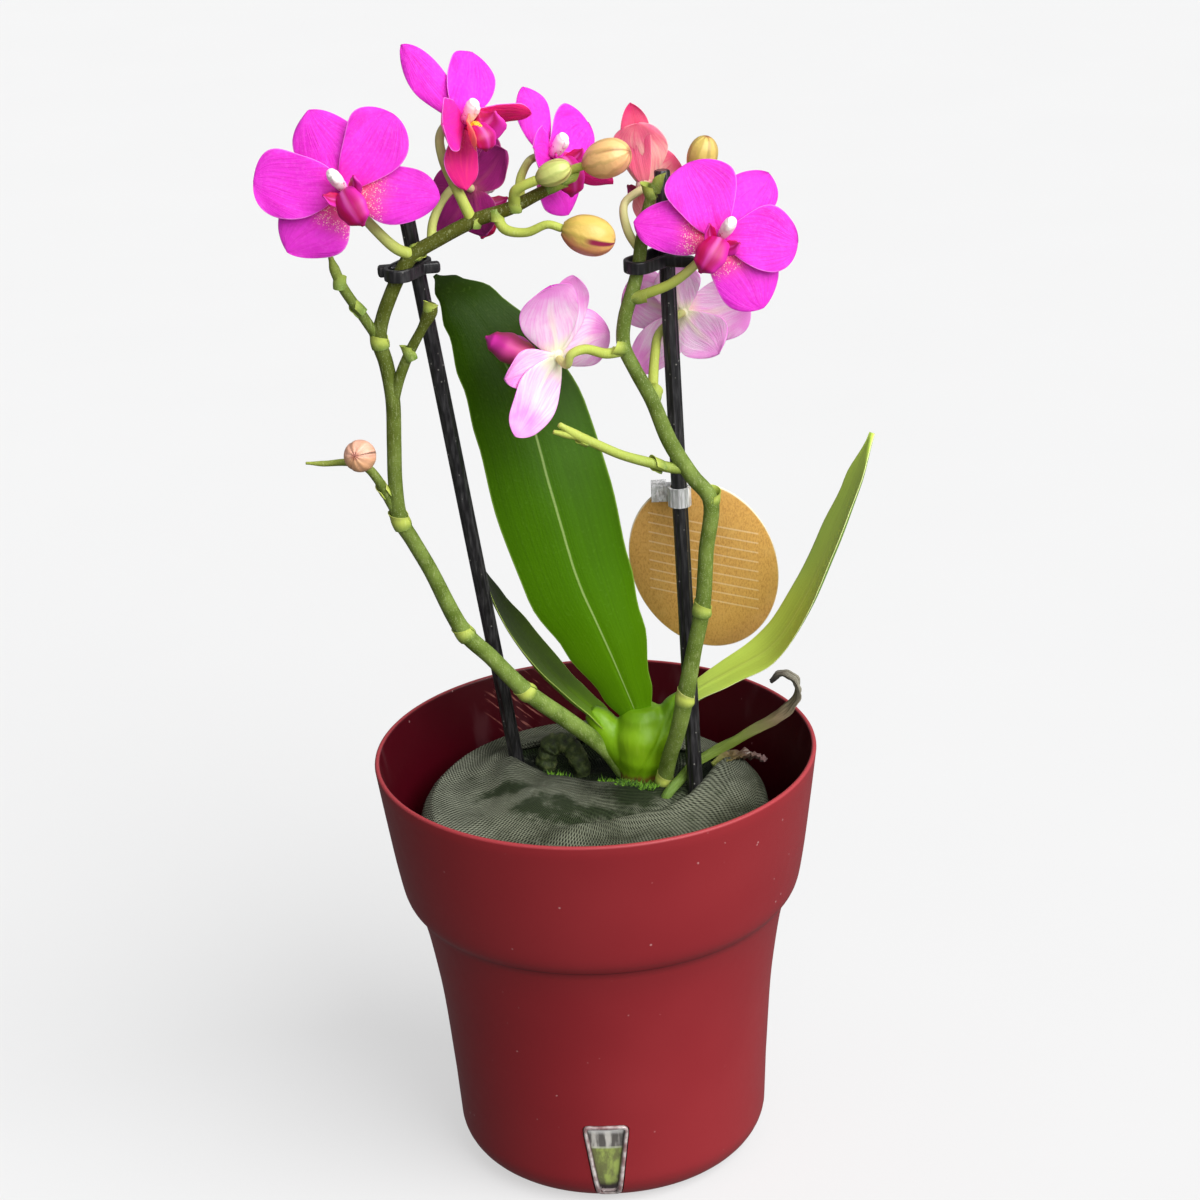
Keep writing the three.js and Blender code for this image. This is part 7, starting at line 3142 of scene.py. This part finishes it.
@dataclass
class Stake:
    """A fluted black stake.

    Attributes:
        side: "left" or "right".
        low: Its foot in the root ball.
        high: Its top.
        radius: Its outer radius.
        flutes: Flutes round it.
        depth: Their depth as a share of the radius.
        steps: Steps along it.
    """

    side: str
    low: Point
    high: Point
    radius: float = 2.2
    flutes: float = 8.0
    depth: float = 0.13
    steps: int = 40

    def at(self, z: float) -> Vector:
        """Gives its middle at a height."""
        return Vector(self.low).lerp(Vector(self.high), (z - self.low[2]) / (self.high[2] - self.low[2]))

    def build(self, finish: Material) -> None:
        """Builds the stake, with its two ends drawn in.

        Args:
            finish: Its material.
        """
        start, end = Vector(self.low), Vector(self.high)
        shares = [0.0, 0.002, *(i / self.steps for i in range(2, self.steps - 1)), 0.998, 1.0]
        path = [start.lerp(end, share) for share in shares]
        ends = [self.radius * 0.86]
        sizes = [*ends, *[self.radius] * (len(path) - 2), *ends]
        strand = Strand(path, sizes, [NO_TRAIT] * len(path))
        draft = swept(Profile.FLUTED, [strand], finish, Sides=64, Flutes=self.flutes, Depth=self.depth)
        name = f"stake_{self.side}"
        piece_of(draft.mesh(f"{name}_rod"), finish, name, "black_plastic", 50)


@dataclass
class TieRing:
    """A long round ring about a stake and a spike, with flat lugs.

    Attributes:
        stake: The stake, whose side the ring has.
        spike_spot: The spike's middle at the ring's height.
        lugs: Each lug's reach and depth.
        turn: Turn of the lugs.
        tall: Height of the ring.
        wall: Thickness of its wall.
        ease: Room between the ring and the stake.
    """

    stake: Stake
    spike_spot: Point
    lugs: Sequence[tuple[float, float]]
    turn: float
    tall: float = 3.4
    wall: float = 1.3
    ease: float = 0.6

    def add_lug(self, draft: Draft, matrix: Matrix, span: tuple[float, float], deep: float) -> None:
        """Adds a flat lug with rounded corners.

        Args:
            draft: The mesh that takes it.
            matrix: The lug's own frame.
            span: Where it begins and ends along its own X.
            deep: Its depth.
        """
        rings = []
        for share, shrink in ((0.0, 1.0), (0.5, 1.0), (0.86, 1.0), (0.96, 0.8), (1.0, 0.45)):
            ring = []
            for angle in (turn + FULL_TURN / 32 for turn in turns(16)):
                y, z = (copysign(abs(part) ** 0.35, part) * shrink / 2 for part in (cos(angle), sin(angle)))
                ring.append(matrix @ Vector((mix(*span, share), y * deep, z * self.tall * 0.9)))
            rings.append(plain(ring))
        draft.add_rings(rings)

    def build(self, finish: Material) -> None:
        """Builds the ring and its lugs.

        Args:
            finish: Its material.
        """
        spike = Vector(self.spike_spot)
        stake_spot = self.stake.at(spike.z)
        middle, gap = stake_spot.lerp(spike, 0.5), stake_spot - spike
        half = hypot(gap.x, gap.y) / 2
        reach = self.stake.radius + self.ease + self.wall / 2
        turned = Matrix.Rotation(atan2(gap.y, gap.x), 3, "Z")
        path = []
        for centre, first in ((half, -pi / 2), (-half, pi / 2)):
            for i in range(19):
                path.append(middle + turned @ (Vector((centre, 0, 0)) + polar(reach, first + pi * i / 18)))
        strand = Strand(path, [1.0] * len(path), [NO_TRAIT] * len(path), closed=True)
        sizes = {"Wide": self.wall / 2, "Tall": self.tall / 2}
        draft = swept(Profile.STRAP, [strand], finish, Sides=24, **sizes)
        lug = Matrix.Translation(middle) @ Matrix.Rotation(self.turn, 4, "Z")
        for far, deep in self.lugs:
            self.add_lug(draft, lug, (copysign(reach * 0.9, far), far), deep)
        name = f"tie_{self.stake.side}"
        piece_of(draft.mesh(f"{name}_ring"), finish, name, "black_plastic", 40)


@dataclass
class HangTag:
    """The oval kraft card.

    Attributes:
        half_wide: Half its width.
        half_tall: Half its height.
        thick: Its thickness.
        curl: How far its sides bend back.
        lean: Its turn in its own plane.
        tip: How far its foot tips back.
        centre: Its middle.
        rounds: Its rings from front to back, each a share of the size and one of the thickness.
    """

    half_wide: float = 20.5
    half_tall: float = 30.5
    thick: float = 0.7
    curl: float = 0.5
    lean: float = -0.24
    tip: float = 0.3
    centre: Point = (33.5, 19.6, 170.0)
    rounds: Sequence[Point] = (
        (0.02, 0.5), (0.5, 0.5), (0.985, 0.5), (1.0, 0.3), (1.0, -0.3), (0.985, -0.5), (0.5, -0.5),
        (0.02, -0.5),
    )

    def build(self) -> None:
        """Builds the card, whose traits are the level place on it and its cut edge."""
        turned = Matrix.Rotation(pi / 2 + self.tip, 3, "X") @ Matrix.Rotation(-self.lean, 3, "Z")
        c, s = cos(self.lean), sin(self.lean)
        rings = []
        for scale, level in self.rounds:
            ring, front, edge = [], float(level > 0), float(scale > 0.99)
            for a in turns(120):
                x, y = self.half_wide * scale * cos(a), self.half_tall * scale * sin(a)
                spot = Vector((x, y, level * self.thick - self.curl * (x / self.half_wide) ** 2))
                trait = (x * c + y * s, y * c - x * s, front, edge, 0.0)
                ring.append((turned @ spot + Vector(self.centre), trait))
            rings.append(ring)
        draft = Draft()
        draft.add_rings(rings)
        piece_of(draft.mesh("tag_card"), KraftCard().material(), "tag", "kraft_card", 40)


# Studio


@dataclass(frozen=True)
class PaleFloor:
    """Matt pale floor that glows a little, so that it stays nearly white."""

    dark: Colour = tint(142, 142, 142)
    light: Colour = tint(145, 145, 145)

    def material(self) -> Material:
        """Builds the material.

        Returns:
            The material.
        """
        paint = Paint.start("pale_floor")
        cloudy = paint.noise(0.01, detail=2.0)
        base = paint.blend(cloudy, self.dark, self.light)
        glow = {"Emission_Color": (1.0, 1.0, 1.0, 1.0), "Emission_Strength": 0.55, "Specular_IOR_Level": 0.0}
        return paint.finish(base, 0.9 + 0.05 * cloudy, **glow)


@dataclass
class Studio:
    """The pale floor, the soft lights and the camera at the photograph's angle.

    Attributes:
        elevation: Camera's height in degrees.
        roll: Camera's roll in degrees.
        focal: Focal length in pixels.
        aim: Pixel that shows the target.
        target: Height of the point aimed at.
        distance: Distance of the camera from it.
        frame_size: Size of the frame in pixels.
        reach: Half the floor's width in metres.
        suns: Each sun's name, strength, width, turn to the right of the camera and height, in degrees.
    """

    elevation: float = 25.17
    roll: float = -2.98
    focal: float = 2998.0
    aim: Point = (595.2, 746.6)
    target: float = 124.4
    distance: float = 850.0
    frame_size: int = 1200
    reach: float = 6.0
    suns: Sequence[tuple[str, float, float, float, float]] = (
        ("key", 4.0, 55.0, 50.0, 42.0),
        ("front", 1.1, 50.0, 14.0, 24.0),
    )

    def camera(self) -> None:
        """Makes the camera."""
        lift = radians(self.elevation)
        back, right = Vector((0, -cos(lift), sin(lift))), Vector((1, 0, 0))
        upright = Matrix((right, back.cross(right), back)).transposed()
        upright = upright @ Matrix.Rotation(radians(self.roll), 3, "Z")
        off_x, off_y = ((part - self.frame_size / 2) / self.focal for part in self.aim)
        to_aim = Vector((off_x, -off_y, -1)).normalized()
        swing = to_aim.rotation_difference(Vector((0, 0, -1))).to_matrix()
        data = bpy.data.cameras.new("camera")
        data.sensor_width = 36.0
        data.lens = self.focal * data.sensor_width / self.frame_size
        data.clip_start, data.clip_end = 0.05, 50.0
        place = Matrix.Translation((Vector((0, 0, self.target)) + back * self.distance) * MM)
        camera = added("camera", data)
        camera.matrix_world = place @ (upright @ swing).to_4x4()
        bpy.context.scene.camera = camera

    def floor(self) -> None:
        """Lays the floor."""
        mesh = bpy.data.meshes.new("floor")
        corners = [(x * self.reach, y * self.reach, 0) for x, y in ((-1, -1), (1, -1), (1, 1), (-1, 1))]
        mesh.from_pydata(corners, [], [(0, 1, 2, 3)])
        mesh.materials.append(PaleFloor().material())
        floor = added("floor", mesh)
        floor.visible_diffuse = floor.visible_glossy = False

    def surround(self) -> None:
        """Makes the surround, bright overhead and on the right, dark on the left and below."""
        world = bpy.data.worlds.new("studio")
        world.use_nodes = True
        graph = Graph(world.node_tree)
        right, _, up = graph.split(graph.value("ShaderNodeTexCoord", key="Generated"))
        glow = 0.16 + 0.2 * graph.rise(up, -0.2, 1.0) + 0.12 * graph.rise(right, -0.6, 1.0)
        background = world.node_tree.nodes["Background"]
        background.inputs["Color"].default_value = (0.97, 0.98, 1.0, 1.0)
        world.node_tree.links.new(glow.socket, background.inputs["Strength"])
        bpy.context.scene.world = world

    def build(self) -> None:
        """Builds the studio."""
        bpy.context.scene.view_settings.view_transform = "Standard"
        self.surround()
        self.floor()
        for name, strength, width, azimuth, height in self.suns:
            data = bpy.data.lights.new(name, "SUN")
            data.energy, data.angle = strength, radians(width)
            turn, lift = radians(azimuth), radians(height)
            towards = Vector((sin(turn) * cos(lift), -cos(turn) * cos(lift), sin(lift)))
            added(name, data).rotation_euler = towards.to_track_quat("Z", "Y").to_euler()
        self.camera()


def main() -> None:
    """Builds every sub-assembly in order."""
    logging.basicConfig(level=logging.INFO, format="%(name)s: %(message)s")
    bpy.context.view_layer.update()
    Studio().build()

    pot = PlanterPot()
    gauge = GaugeWindow(pot)
    pot.build(gauge)
    gauge.build()
    dress_node(
        "reservoir_platform", DullPlastic("reservoir_plastic", tint(46, 46, 46), tint(74, 74, 72)).material()
    )
    dress_node("reservoir_water", StaleWater().material())

    form = WrapForm()
    ball = RootBall(form)
    pods = buds()
    for part in (RootWrap(form), ball, MossTufts(ball), AerialRoot(), Crown(), *leaves()):
        part.build()

    finishes = bloom_finishes()
    for bloom in BLOOMS:
        bloom.build(finishes)
    for bud in pods:
        bud.build()
    skin = SpikeSkin().material()
    left_spike(BLOOMS, pods).build(skin)
    right_spike(BLOOMS, pods).build(skin)

    black = DullPlastic("black_stake_plastic", tint(24, 23, 25), tint(58, 57, 58), 0.34, 0.5).material()
    stakes = (
        Stake("left", (-17.3, 33, 58), (-42.6, -1.6, 284)),
        Stake("right", (28.6, -2.6, 58), (25.7, 12, 287)),
    )
    left_tie = TieRing(stakes[0], (-45.0, -6.3, 267.5), [(8.6, 2.2), (-8.0, 3.0)], 0.1)
    right_tie = TieRing(stakes[1], (18.2, 2.1, 264.0), [(12.0, 2.4)], -0.35)
    for part in (*stakes, left_tie, right_tie):
        part.build(black)

    HangTag().build()
    dress_node("tag_clip", ClearClip().material())


if __name__ == "__main__":
    main()
